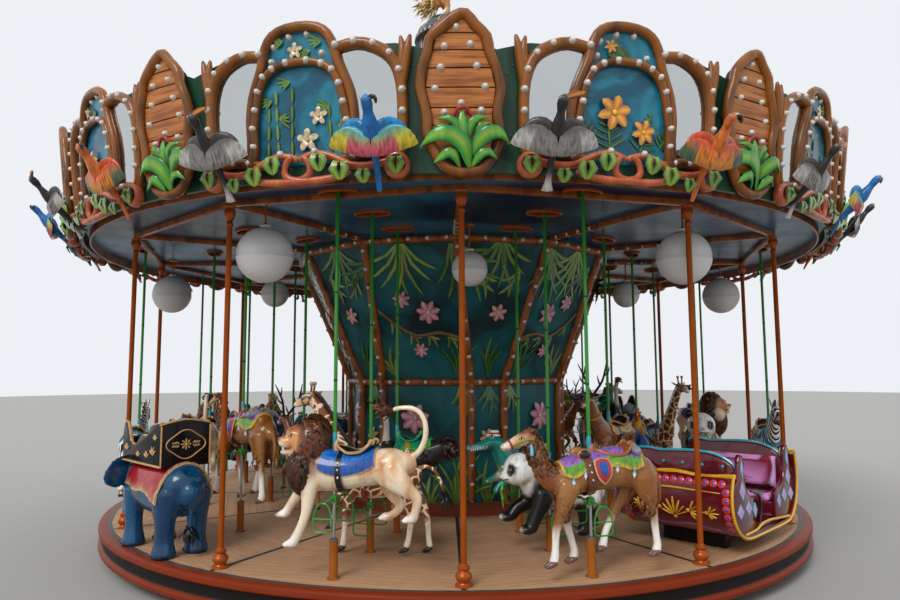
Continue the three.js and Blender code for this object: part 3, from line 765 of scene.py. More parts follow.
class Paints:
    """The finishes of the structure."""

    steel = Finish("grey_steel", "6c7176", metallic=0.7, roughness=0.45, scale=3, wear=0.6)
    boards = Finish(
        "deck_boards", "c79a74", "5c4534", Pattern.BOARDS, 10.5, 0.25, 0.2, 0.62, relief=0.003, local=True)
    seam = Finish("seam_strip", "3a3a3c", metallic=0.5, roughness=0.5, scale=9, wear=0.8)
    rim = Finish("rim_lacquer", "7a2c12", roughness=0.42, scale=5, wear=0.1, shine=0.1)
    post = Finish("post_copper", "98561e", roughness=0.42, scale=11, variation=0.5, wear=0.05, shine=0.05)
    pole = Finish("pole_paint", "944512", roughness=0.38, scale=9, variation=0.45, wear=0.0, shine=0.05)
    knob = Finish("rose_gold", "a4501f", metallic=0.3, roughness=0.3, scale=14, wear=0.1, shine=0.2)
    green = Finish("green_enamel", "2c8526", roughness=0.34, coat=0.2, scale=7, wear=0.05)
    teal = Finish("teal_sleeve", "1f8fa0", roughness=0.3, coat=0.4, scale=10, wear=0.05)
    lacquer = Finish("black_lacquer", "0d0b0d", roughness=0.25, coat=0.15, scale=5, wear=0.1, shine=0.15)
    gilt = Finish("gold_tan", "c0935c", roughness=0.36, coat=0.3, scale=22, wear=0.2, variation=0.4)
    burgundy = Finish("burgundy_gloss", "5e0f1e", roughness=0.16, coat=0.8, scale=4, wear=0.15)
    chrome = Finish("bright_rod", "c8ccd0", metallic=1.0, roughness=0.16, scale=12, variation=0.1)
    kerb = Finish("kerb_paint", "843a24", roughness=0.32, coat=0.4, scale=4, variation=0.4)
    log = Finish(
        "log_brown", "a05822", "5a2b10", Pattern.BRUSHED, 14, 0.5, 0.15, 0.42, coat=0.2, relief=0.004)
    beam = Finish("beam_brown", "9a5423", "562c12", Pattern.BRUSHED, 9, 0.4, 0.15, 0.42, coat=0.2)
    jungle = Finish(
        "jungle_teal", "0f6268", "06262c", Pattern.WATER, 0.8, 0.3, 0.1, 0.4, coat=0.05, relief=0.0,
        shine=0.15)
    ceiling = Finish(
        "ceiling_water", "06153a", "1f6a8a", Pattern.WATER, 0.42, 0.5, 0.1, 0.34, coat=0.06, relief=0.0)
    globe = Finish("opal_globe", "d8d5d4", roughness=0.42, scale=3, variation=0.06, wear=0.05, relief=0.0)
    bulb = Finish("lamp_glass", "ddd3c8", roughness=0.12, coat=0.8, variation=0.1, wear=0.0, relief=0.0)
    socket = Finish("lamp_socket", "a79c90", roughness=0.5, variation=0.2)
    trunk = Finish(
        "trunk_brown", "8c5014", "48260a", Pattern.BRUSHED, 6, 0.5, 0.25, 0.36, coat=0.3, relief=0.006,
        local=True)
    plank = Finish(
        "plank_orange", "c07636", "7d4319", Pattern.WOOD, 3.2, 0.35, 0.5, 0.42, coat=0.25, relief=0.003,
        local=True)
    groove = Finish("black_line", "120d0a", roughness=0.6)
    strip = Finish(
        "moss_green", "1f4a34", "12301f", Pattern.BRUSHED, 9, 0.5, 0.4, 0.45, coat=0.2, local=True)
    vine = Finish("vine_red", "a8492a", "c8703a", Pattern.BRUSHED, 8, 0.4, 0.6, 0.34, coat=0.4, local=True)
    leaf = Finish(
        "leaf_paint", "ffffff", "c8d8c0", Pattern.BRUSHED, 12, 0.35, 0.4, 0.3, coat=0.5, relief=0.002,
        tinted=True, local=True)
    picture = Finish(
        "picture_teal", "1f7f96", "0d4f66", Pattern.WATER, 1.6, 0.25, 0.1, 0.3, coat=0.3, relief=0.0,
        local=True)
    mirror = Finish(
        "mirror_glass", "c3c6c6", metallic=1.0, roughness=0.03, variation=0.06, wear=0.0, relief=0.001,
        scale=3)
    bird = Finish(
        "bird_paint", "ffffff", "b9b9b9", Pattern.BRUSHED, 30, 0.35, 0.3, 0.38, coat=0.3, relief=0.003,
        tinted=True, local=True)
    canvas = Finish("roof_canvas", "b98d62", "93683f", Pattern.BRUSHED, 2.0, 0.3, 0.2, 0.7, relief=0.002)
    dome = Finish("dome_paint", "3b3a3c", roughness=0.3, coat=0.4, scale=4, wear=0.6)
    silver = Finish("dome_silver", "a9aaac", metallic=0.6, roughness=0.3, scale=6)


def paint(piece: Piece, finish: Finish) -> Piece:
    """Gives a whole piece one finish."""
    piece.data.materials.clear()
    piece.data.materials.append(finish.material())
    return piece


def mark_place(piece: Piece) -> Piece:
    """Keeps the points of a master as the place that local finishes follow."""
    layer = piece.data.attributes.get("place") or piece.data.attributes.new(
        "place", "FLOAT_VECTOR", "POINT")
    layer.data.foreach_set("vector", coordinates(piece).ravel())
    return piece


def tint(piece: Piece, colours: Points) -> Piece:
    """Paints a linear colour on each point of a piece, with alpha as the strength of its pattern."""
    layer = piece.data.color_attributes.get("tint") or piece.data.color_attributes.new(
        "tint", "FLOAT_COLOR", "POINT")
    full = np.ones((len(piece.data.vertices), 4))
    full[:, :np.shape(colours)[1]] = colours
    layer.data.foreach_set("color", full.ravel())
    return piece


def finished(piece: Piece, finish: Finish, angle: float = 40.0) -> Piece:
    """Shades a piece smooth, gives it a finish and keeps its place."""
    return mark_place(paint(smooth(piece, angle), finish))


def toned(piece: Piece, colour: str, finish: Finish, angle: float = 60.0) -> Piece:
    """Gives a detail one tint and a tinted finish."""
    tint(piece, np.tile(linear(colour)[:3], (len(piece.data.vertices), 1)))
    return finished(piece, finish, angle)


def blended(shades: Sequence[tuple[float, str]], key: Points) -> Points:
    """Blends paints between their stops on a key, and returns a linear colour for each point."""
    stops = np.array([stop for stop, _ in shades])
    table = np.array([linear(code)[:3] for _, code in shades])
    return np.stack([np.interp(key, stops, table[:, i]) for i in range(3)], 1)


def settle(piece: Piece, body: str, slot: str, *nodes: str) -> None:
    """Makes a finished piece ride on a body, in place of the CAD nodes it stands for."""
    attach(piece, body)
    if nodes:
        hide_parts(*nodes)
    log.info("%s rides on %s", piece.name, body)


def every(step: float = SECTOR, start: float = 0.0) -> list[float]:
    """Returns the azimuths that are a step apart, all round."""
    return [start + i * step for i in range(round(360 / step))]


# Studio

@dataclass
class Studio:
    """Plain floor, soft light and the camera at the photograph's angle."""

    eye: Row = (-0.175, -10.488, 2.221)
    yaw: float = -0.665
    pitch: float = 5.68
    roll: float = 0.26
    lens: float = 27.29
    floor_radius: float = 60.0
    sky: float = 0.95
    sun: float = 1.6
    sun_spread: float = 25.0

    def camera(self) -> None:
        """Places the camera."""
        bpy.ops.object.camera_add(location=self.eye)
        camera = bpy.context.object
        turn = (
            Matrix.Rotation(math.radians(self.yaw), 4, "Z")
            @ Matrix.Rotation(math.radians(self.pitch), 4, "X")
            @ Matrix.Rotation(math.radians(self.roll), 4, "Y") @ Matrix.Rotation(math.radians(90), 4, "X"))
        camera.matrix_world = Matrix.Translation(self.eye) @ turn
        camera.data.lens = self.lens
        camera.data.sensor_width = 36
        camera.data.clip_end = 200
        bpy.context.scene.camera = camera

    def floor(self) -> None:
        """Lays the floor."""
        profile = [(0.0, -0.06), (self.floor_radius, -0.06), (self.floor_radius, 0.0), (0.0, 0.0)]
        ground = paint(turned("studio_floor", profile, 64), Finish(
            "floor_pale", "a5a39f", roughness=0.8, variation=0.04, scale=0.4, wear=0.0, relief=0.0))
        reshape(ground, coordinates(ground) - np.array((0, 0, 0.002)))

    def lights(self) -> None:
        """Hangs an overcast sky and one large soft light."""
        world = bpy.data.worlds.new("soft_sky")
        bpy.context.scene.world = world
        world.use_nodes = True
        world.node_tree.nodes["Background"].inputs["Color"].default_value = linear("f3f6fa")
        world.node_tree.nodes["Background"].inputs["Strength"].default_value = self.sky
        bpy.ops.object.light_add(type="SUN", rotation=(
            math.radians(48), math.radians(-6), math.radians(-24)))
        sun = bpy.context.object
        sun.data.energy = self.sun
        sun.data.angle = math.radians(self.sun_spread)
        bpy.context.scene.view_settings.view_transform = "Standard"

    def build(self) -> None:
        """Sets up the whole studio."""
        self.camera()
        self.floor()
        self.lights()


# Lamps

@dataclass
class Lamps:
    """Small round lamps, gathered by body and stamped at the end."""

    radius: float = 0.024
    seats: list[tuple[Move, Row]] = field(default_factory=list)

    def master(self) -> Piece:
        """Models one lamp that looks out along -y."""
        r = self.radius
        glass = turned("lamp", [(0.0, 1.15 * r), (0.76 * r, 0.8 * r), (r, 0.0)], 6)
        ring = turned("lamp_ring", [(0.9 * r, 0.12 * r), (1.38 * r, -0.2 * r)], 6)
        for piece, finish in ((glass, Paints.bulb), (ring, Paints.socket)):
            reshape(piece, coordinates(piece)[:, [0, 2, 1]] * (1, -1, 1))
            paint(smooth(piece, 60), finish)
        return joined("lamp", [glass, ring])

    def add(self, moves: Sequence[Move], places: Sequence[Row]) -> None:
        """Adds lamps at places (x, y, z) of a master that goes to several moves."""
        self.seats += [(move, place) for move in moves for place in places]

    def build(self, name: str, body: str = "ride") -> None:
        """Stamps all the lamps as one piece."""
        def seat(move: Move, place: Row) -> Move:
            """Joins a shift in the master with the master's own move."""
            return lambda points: move(points + np.array(place))
        piece = stamped(name, self.master(), [seat(*pair) for pair in self.seats])
        settle(piece, body, "bulb_white")


# Deck

@dataclass
class Deck:
    """The turning floor, its skirt, the kerb and the guide posts."""

    inner: float = 1.25
    outer: float = 4.66
    thick: float = 0.05
    seam_half: float = 0.021
    strip: float = 0.045
    post_height: float = 0.347
    post_radius: float = 0.039
    bore: float = 0.0155
    kerb_inner: float = 1.665
    kerb_outer: float = 1.8
    kerb_height: float = 0.15

    def floor(self) -> Piece:
        """Models one wedge of boards and stamps it round."""
        half = math.radians(SECTOR / 2)
        outer = self.outer - self.strip

        def surface(u: Points, v: Points) -> Points:
            """Spreads the wedge between two seams."""
            reach = self.inner + (outer - self.inner) * v
            turn = (2 * u - 1) * (half - self.seam_half / reach)
            return np.stack((reach * np.sin(turn), -reach * np.cos(turn), np.full_like(u, DECK_TOP)), 1)
        wedge = shaped("wedge", 10, 8, surface)
        modify(wedge, "SOLIDIFY", thickness=self.thick, offset=1)
        modify(wedge, "BEVEL", width=0.004, segments=1, limit_method="ANGLE")
        finished(wedge, Paints.boards, 30)
        return stamped("deck_boards", wedge, [around(a) for a in every(start=SECTOR / 2)])

    def strips(self) -> Piece:
        """Models the seam strips and the edge ring."""
        low, top = DECK_TOP - self.thick, DECK_TOP + 0.002
        bar = block("seam", (-self.seam_half + 0.001, -self.outer + self.strip, low), (
            self.seam_half - 0.001, -self.inner - 0.05, top), 0.002)
        bars = stamped("seams", bar, [around(a) for a in every()])
        r = self.outer
        edge = turned("edge", [
            (r, low), (r, top), (r - self.strip, top), (r - self.strip, low), (r, low)], 144)
        screws = stamped("screws", smooth(turned("screw", [(0, 0.003), (0.006, 0.0025), (0.008, 0)], 6)), [
            around(a, r - self.strip / 2, top) for a in every(5.0, 2.5)])
        return paint(smooth(joined("deck_strips", [bars, edge, screws]), 30), Paints.seam)

    @staticmethod
    def skirt() -> Piece:
        """Turns the copper skirt with its beads and the dark recess between them."""
        profile = [
            (4.6603, -0.272), (4.735, -0.272), (4.752, -0.262), (4.76, -0.244), (4.76, -0.222),
            (4.748, -0.206), (4.722, -0.196), (4.712, -0.184), (4.712, -0.1), (4.72, -0.088),
            (4.75, -0.078), (4.762, -0.064), (4.762, -0.026), (4.754, -0.01), (4.738, 0.0), (4.6603, 0.0),
            (4.6603, -0.272)]
        ring = paint(
            smooth(turned("deck_skirt", [(r, DECK_TOP + z) for r, z in profile], 180), 35), Paints.rim)
        recess = [
            (4.71, -0.194), (4.7236, -0.196), (4.7132, -0.184), (4.7132, -0.1), (4.7212, -0.088),
            (4.71, -0.09), (4.71, -0.194)]
        dark = turned("recess", [(r, DECK_TOP + z) for r, z in recess], 180)
        return joined("deck_skirt", [ring, paint(smooth(dark, 35), Paints.groove)])

    def kerb(self) -> Piece:
        """Turns the kerb at the foot of the drum."""
        r, h = self.kerb_outer, self.kerb_height
        profile = [
            (self.kerb_inner, 0), (r, 0), (r, 0.02), (r - 0.012, 0.03), (r - 0.012, h - 0.035),
            (r, h - 0.026), (r, h - 0.008), (r - 0.012, h), (self.kerb_inner, h), (self.kerb_inner, 0)]
        ring = turned("drum_kerb_ring", [(a, DECK_TOP + 0.001 + z) for a, z in profile], 96)
        return paint(smooth(ring, 35), Paints.kerb)

    def posts(self, places: Sequence[tuple[float, float]]) -> tuple[Piece, Piece]:
        """Models a guide post with its cap and stamps both.

        Args:
            places: Azimuth and reach of each post.
        Returns:
            The posts and their caps.
        """
        r, h, b = self.post_radius, self.post_height, self.bore
        tube = turned("post", [
            (b, 0.01), (0.062, 0.01), (0.062, 0.016), (r + 0.004, 0.02), (r, 0.03), (r, h - 0.012),
            (b, h - 0.012), (b, 0.01)], 14)
        cap = turned("post_cap", [
            (b, h - 0.012), (r + 0.003, h - 0.012), (r + 0.003, h - 0.002), (r - 0.003, h + 0.003),
            (b + 0.004, h + 0.003), (b, h - 0.001), (b, h - 0.012)], 14)
        foot = [turned(
            "bolt", [(0, 0.026), (0.006, 0.025), (0.008, 0.016)], 6,
            (0.051 * math.cos(a), 0.051 * math.sin(a), 0)) for a in (0.8, 2.37, 3.94, 5.5)]
        moves = [around(a, reach, DECK_TOP - 0.009) for a, reach in places]
        caps = joined("cap", [cap, *foot])
        return (stamped("guide_posts", paint(smooth(tube), Paints.post), moves), stamped(
            "guide_caps", paint(smooth(caps), Paints.steel), moves))

    def build(self, places: Sequence[tuple[float, float]]) -> None:
        """Builds the deck with a guide post at each place."""
        posts, caps = self.posts(places)
        settle(self.floor(), "ride", "deck_board", "deck_east", "deck_west")
        settle(self.strips(), "ride", "steel_grey")
        settle(self.skirt(), "ride", "rim_copper", "deck_rim")
        settle(self.kerb(), "ride", "kerb_brown", "drum_kerb")
        settle(posts, "ride", "pole_copper")
        settle(caps, "ride", "steel_grey")


# Painted ornament

def leaf(
        name: str, path: Sequence[Row], wide: float, rib: str, blade: str, thick: float = 0.006,
        sides: int = 6, steps: int = 1, across: Row | None = None) -> Piece:
    """Models a painted leaf along a path, with a light grooved midrib and a dark edge.

    Args:
        name: Name of the piece.
        path: Places from its root to its tip.
        wide: Half of its greatest width.
        rib: Paint of the midrib.
        blade: Paint of the blade.
        thick: Half of its thickness.
        sides: Corners of its section.
        steps: Rings for each span.
        across: Direction of its width, level and square to the path when left out.
    Returns:
        The leaf, tinted and marked.
    """
    spine = smoothed(path, 6)
    reach = np.concatenate(([0], np.cumsum(np.linalg.norm(np.diff(spine, axis=0), axis=1))))
    plain = sides < 8
    shares, widths = (0.0, 0.12, 0.3, 0.5, 0.7, 0.86, 1.0), (0.3, 0.62, 0.95, 1.0, 0.8, 0.48, 0.06)
    if plain:
        shares, widths = (0.0, 0.15, 0.5, 0.8, 1.0), (0.0, 0.62, 1.0, 0.72, 0.0)
        if wide < 0.02:
            shares, widths = (0.0, 0.3, 0.7, 1.0), (0.0, 0.95, 0.8, 0.0)
    shares = np.array(shares)
    places = np.stack([np.interp(shares * reach[-1], reach, spine[:, i]) for i in range(3)], 1)
    rows = [(*p, wide * w, thick * (0.4 + 0.6 * w)) for p, w in zip(places, widths)]
    run = places[-1] - places[0]
    way = np.cross(run, (0.0, 1.0, 0.0)) if across is None else np.array(across, dtype=float)
    way /= max(np.linalg.norm(way), 1e-6)

    def section(angle: Points) -> tuple[Points, Points]:
        """Sinks the midrib into both faces."""
        turn = angle + (math.pi / 6 if plain else 0)
        return np.cos(turn) * (1.15 if plain else 1), np.sin(turn) * (
            1 - 0.6 * np.exp(-(np.cos(turn) / 0.3) ** 2))
    piece = swept(name, rows, sides, steps, 0 if plain else 1, across=tuple(way), section=section)
    points = coordinates(piece)
    line = smoothed([row[:3] for row in rows], 8)
    gaps = np.linalg.norm(points[:, None] - line[None], axis=2)
    offset = gaps.min(1) / wide
    mask = 0.75 * np.clip(1 - (offset - 0.1) / 0.24, 0, 1)[:, None]
    edge = np.clip((offset - 0.62) / 0.34, 0, 1)[:, None]
    colours = np.array(linear(blade))[:3] * (1 - mask) + np.array(linear(rib))[:3] * mask
    return finished(tint(piece, colours * (1 - 0.7 * edge)), Paints.leaf, 70)


def lump(
        name: str, centre: Row, radii: Row, colour: str, finish: Finish, segments: int = 12,
        rings: int = 8) -> Piece:
    """Models a small tinted lump."""
    return toned(ball(name, centre, radii, segments, rings), colour, finish, 80)


def blossom(name: str, centre: Row, size: float, petals: int, colour: str, heart: str) -> Piece:
    """Models an open flower that looks out along -y.

    Args:
        name: Name of the piece.
        centre: Middle of the flower.
        size: Length of a petal.
        petals: Number of petals.
        colour: Paint of the petals.
        heart: Paint of the midribs and the heart.
    Returns:
        The joined flower.
    """
    x, y, z = centre
    pieces = [lump(
        "heart", (x, y - 0.1 * size, z), (0.16 * size, 0.08 * size, 0.16 * size), heart, Paints.leaf, 6, 4)]
    for i in range(petals):
        turn = 2 * math.pi * (i + 0.25) / petals
        ways = ((0.08, 0.02), (0.55, -0.16), (1.0, -0.04))
        path = [
            (x + size * far * math.cos(turn), y + size * rise, z + size * far * math.sin(turn)) for far,
            rise in ways]
        pieces.append(leaf("petal", path, size * 0.3, heart, colour))
    return joined(name, pieces)


def mirrored(name: str, master: Piece) -> Piece:
    """Joins a master with its own mirror image about x = 0."""
    twin = copied(master)
    reshape(twin, coordinates(twin) * (-1, 1, 1))
    with editing(twin):
        bpy.ops.mesh.flip_normals()
    return joined(name, [master, twin])


# Scenery drum

@dataclass
class Drum:
    """The scenery drum: straight lower walls, leaning upper walls and a frame of logs."""

    low: float = 1.575
    high: float = 2.343
    floor: float = 0.001
    mid: float = 1.656
    top: float = 3.482
    wall: float = 0.045
    log_radius: float = 0.05
    narrow: float = 8.0

    def corners(self) -> list[tuple[float, float]]:
        """Returns the azimuths of each corner at the bottom and at the top."""
        found = []
        for k in range(SECTORS):
            middle, way = SECTOR / 2 + 2 * SECTOR * (k // 2), 1 if k % 2 else -1
            found.append((middle + way * self.narrow, middle + way * SECTOR / 2))
        return found

    def panel(self, name: str, near: Sequence[Vector]) -> Piece:
        """Makes one flat wall from its four corners, bottom left first."""
        a, b, c, d = (np.array(p) for p in near)

        def surface(u: Points, v: Points) -> Points:
            """Fills the four corners."""
            u, v = u[:, None], v[:, None]
            return (a * (1 - u) + b * u) * (1 - v) + (d * (1 - u) + c * u) * v
        return modify(shaped(name, 2, 2, surface), "SOLIDIFY", thickness=self.wall, offset=-1)

    def walls(self) -> tuple[Piece, Piece]:
        """Builds the lower and the upper walls."""
        lower, upper = [], []
        turns = self.corners()
        for (low_a, high_a), (low_b, high_b) in zip(
                turns, turns[1:] + [(turns[0][0] + 360, turns[0][1] + 360)]):
            foot = [polar(self.low, a, DECK_TOP + self.floor) for a in (low_a, low_b)]
            waist = [polar(self.low, a, DECK_TOP + self.mid) for a in (low_a, low_b)]
            head = [polar(self.high, a, DECK_TOP + self.top) for a in (high_a, high_b)]
            lower.append(self.panel("lower", [*foot, *waist[::-1]]))
            upper.append(self.panel("upper", [*waist, *head[::-1]]))
        return (paint(joined("drum_lower_panels", lower), Paints.jungle), paint(
            joined("drum_upper_panels", upper), Paints.jungle))

    def log(self, start: Vector, end: Vector, seed: int) -> Piece:
        """Models a log with slight knots between two points."""
        rng = np.random.default_rng(seed)
        count = max(4, round((end - start).length / 0.22))
        rows = []
        for i in range(count + 1):
            p = start.lerp(end, i / count)
            r = self.log_radius * (1 + 0.1 * rng.uniform(-1, 1))
            rows.append((*p, r, r * (1 + 0.08 * rng.uniform(-1, 1))))
        return swept("log", rows, 8, 1, 1, across=(0.3, 0.2, 0.93))

    def logs(self, lamps: Lamps) -> Piece:
        """Builds the frame of logs with its lamps."""
        turns = self.corners()
        logs = []
        proud = self.log_radius * 0.5
        for k, (low_a, high_a) in enumerate(turns):
            low_b, high_b = turns[(k + 1) % SECTORS]
            foot = polar(self.low + proud, low_a, DECK_TOP + 0.012)
            waist = polar(self.low + proud, low_a, DECK_TOP + self.mid)
            head = polar(self.high - 0.02, high_a, DECK_TOP + self.top - 0.06)
            next_waist = polar(self.low + proud, low_b, DECK_TOP + self.mid)
            next_head = polar(self.high - 0.02, high_b, DECK_TOP + self.top - 0.06)
            bars = [(foot, waist), (waist, head), (waist, next_waist), (head, next_head)]
            for i, (start, end) in enumerate(bars):
                logs.append(self.log(start, end, 10 * k + i))
                spots = max(2, round((end - start).length / 0.24))
                for n in range(spots):
                    spot = start.lerp(end, (n + 0.5) / spots)
                    turn = math.degrees(math.atan2(spot.x, -spot.y))
                    reach = math.hypot(spot.x, spot.y) + self.log_radius * 0.92
                    lamps.add([around(turn, reach, spot.z)], [(0.0, 0.0, 0.0)])
        return paint(smooth(joined("drum_logs", logs), 50), Paints.log)

    @staticmethod
    def spray(
            x: float, z: float, lean: float, reach: float, count: int, shades: tuple[str, str],
            spread: float = 1.9, wide: float = 0.03) -> list[Piece]:
        """Fans long leaves from one root, flat on a wall.

        Args:
            x: Place of the root across the wall.
            z: Height of the root.
            lean: Direction of the middle leaf, in degrees from upright.
            reach: Length of the middle leaf.
            count: Number of leaves.
            shades: Paints of the midribs and of the blades.
            spread: Angle between the outer leaves, in radians.
            wide: Half width of a leaf.
        Returns:
            The leaves.
        """
        leaves = []
        for i, turn in enumerate(np.linspace(-spread / 2, spread / 2, count)):
            way = math.radians(lean) + turn
            size = reach * (1 - 0.28 * (abs(turn) / spread * 2) ** 2) * (0.92 if i % 2 else 1.0)
            bow = 0.1 * size * math.copysign(1.0, turn) if count > 1 else 0.0
            tip = np.array((size * math.sin(way), 0.0, size * math.cos(way)))
            middle = tip * 0.55 - np.array((bow * math.cos(way), 0.0, -bow * math.sin(way)))
            path = [
                (x, -0.006, z), (x + middle[0], -0.012, z + middle[2]), (x + tip[0], -0.007, z + tip[2])]
            leaves.append(leaf("blade", path, wide, *shades, 0.005))
        return leaves

    def scenery(self, wide: bool, kind: int) -> tuple[Piece, Piece]:
        """Paints the plants of one lower and one upper wall as thin relief.

        Args:
            wide: Whether the wall is a wide one.
            kind: 0 or 1, for the two layouts of the wide walls.
        Returns:
            The plants of the lower and of the upper wall, each in its wall's own plane.
        """
        bright, fresh, deep, moss = ("b4c24e", "4d8f35"), ("8fae3a", "2f7a35"), ("5c9a4a", "12502f"), (
            "a8b85c", "3b6b3a")
        pinks = ("d8487e", "c23a68") if kind else ("e0588a", "b8325c")
        flip = -1 if kind else 1
        if not wide:
            low = self.spray(0.0, 0.05, 0, 0.62, 5, fresh, 1.2) + self.spray(
                0.03, 1.62, 180, 0.42, 5, deep, 1.3)
            low.append(blossom("bloom", (0.0, -0.012, 0.95), 0.11, 6, "d8793c", "f0c8a0"))
            high = (
                self.spray(0.0, 1.92, 180, 0.72, 7, fresh) + self.spray(0.0, 0.08, 0, 0.55, 5, deep, 0.8)
                + self.spray(-0.28, 1.5, 150, 0.42, 4, bright, 1.1)
                + self.spray(0.28, 1.5, 210, 0.42, 4, moss, 1.1))
            high.append(blossom("bloom", (0.04 * flip, -0.012, 0.95), 0.12, 6, pinks[0], "f4d0b8"))
            return joined("low", low), joined("high", high)
        low = (
            self.spray(-0.4 * flip, 0.05, 8, 0.78, 7, fresh, 1.7)
            + self.spray(0.42 * flip, 0.05, -12, 0.6, 7, deep, 1.9)
            + self.spray(0.05, 0.05, 0, 0.4, 5, bright, 1.5)
            + self.spray(-0.46 * flip, 1.62, 170, 0.4, 5, moss, 1.3))
        for x, z, size, turn in ((0.16, 1.18, 0.2, 0), (-0.14, 0.78, 0.17, 1), (0.3, 0.62, 0.13, 0)):
            low.append(leaf("stalk", [
                (x * flip * 0.5, -0.004, 0.06), (x * flip * 0.8, -0.006, z * 0.6),
                (x * flip, -0.008, z)], 0.013, "6f9a4a", "3c7a3a", 0.005))
            low.append(blossom("bloom", (x * flip, -0.014, z), size, 7, pinks[turn], "f7c9d4"))
        high = (
            self.spray(-0.5 * flip, 1.86, 150, 0.85, 8, fresh, 1.8)
            + self.spray(0.12 * flip, 1.92, 186, 0.8, 8, bright, 1.9)
            + self.spray(0.5 * flip, 1.7, 226, 0.62, 6, deep, 1.4)
            + self.spray(-0.42 * flip, 0.08, 14, 0.6, 6, deep, 1.3)
            + self.spray(0.42 * flip, 0.1, -20, 0.5, 5, moss, 1.3))
        bough = [
            (-0.52 * flip, -0.004, 0.62, 0.024), (-0.25 * flip, -0.01, 0.7, 0.03),
            (0.05 * flip, -0.01, 0.66, 0.026), (0.32 * flip, -0.01, 0.82, 0.024),
            (0.54 * flip, -0.004, 1.02, 0.018)]
        high.append(toned(swept("bough", bough, 6, 2, 1), "7a5a34", Paints.leaf, 80))
        for x, z in ((-0.36, 0.66), (-0.1, 0.68), (0.14, 0.7), (0.38, 0.86)):
            high += self.spray(x * flip, z, 180 + 30 * flip, 0.24, 3, moss, 1.2, 0.024)
        for x, z, size, turn in ((-0.14, 0.98, 0.16, 0), (0.2, 1.16, 0.12, 1), (0.02, 0.46, 0.1, 1)):
            high.append(blossom("bloom", (x * flip, -0.014, z), size, 7, pinks[turn], "f7c9d4"))
        return joined("low", low), joined("high", high)

    def foliage(self) -> Piece:
        """Lays the plants on all the walls."""
        pieces = []
        for wide, kind in ((True, 0), (True, 1), (False, 0), (False, 1)):
            half = SECTOR - self.narrow if wide else self.narrow
            near = self.low * math.cos(math.radians(half))
            lean = math.atan2(self.high * math.cos(math.radians(SECTOR / 2)) - near, self.top - self.mid)
            low, high = self.scenery(wide, kind)
            tilt = Matrix.Translation((0, 0, self.mid)) @ Matrix.Rotation(lean, 4, "X")
            reshape(high, by_matrix(tilt)(coordinates(high)))
            centres = [
                SECTOR / 2 + 2 * SECTOR * i + (SECTOR if wide else 0) for i in range(kind, SECTORS // 2, 2)]
            pieces.append(stamped("foliage", joined("plants", [low, high]), [
                around(a, near, DECK_TOP + self.floor) for a in centres]))
        return joined("drum_foliage", pieces)

    def build(self, lamps: Lamps) -> None:
        """Builds the drum."""
        lower, upper = self.walls()
        settle(lower, "ride", "scenery_teal", "drum_lower_wall")
        settle(upper, "ride", "scenery_teal", "drum_upper_wall")
        settle(self.logs(lamps), "ride", "frame_brown")
        settle(self.foliage(), "ride", "leaf_green")


# Ceiling

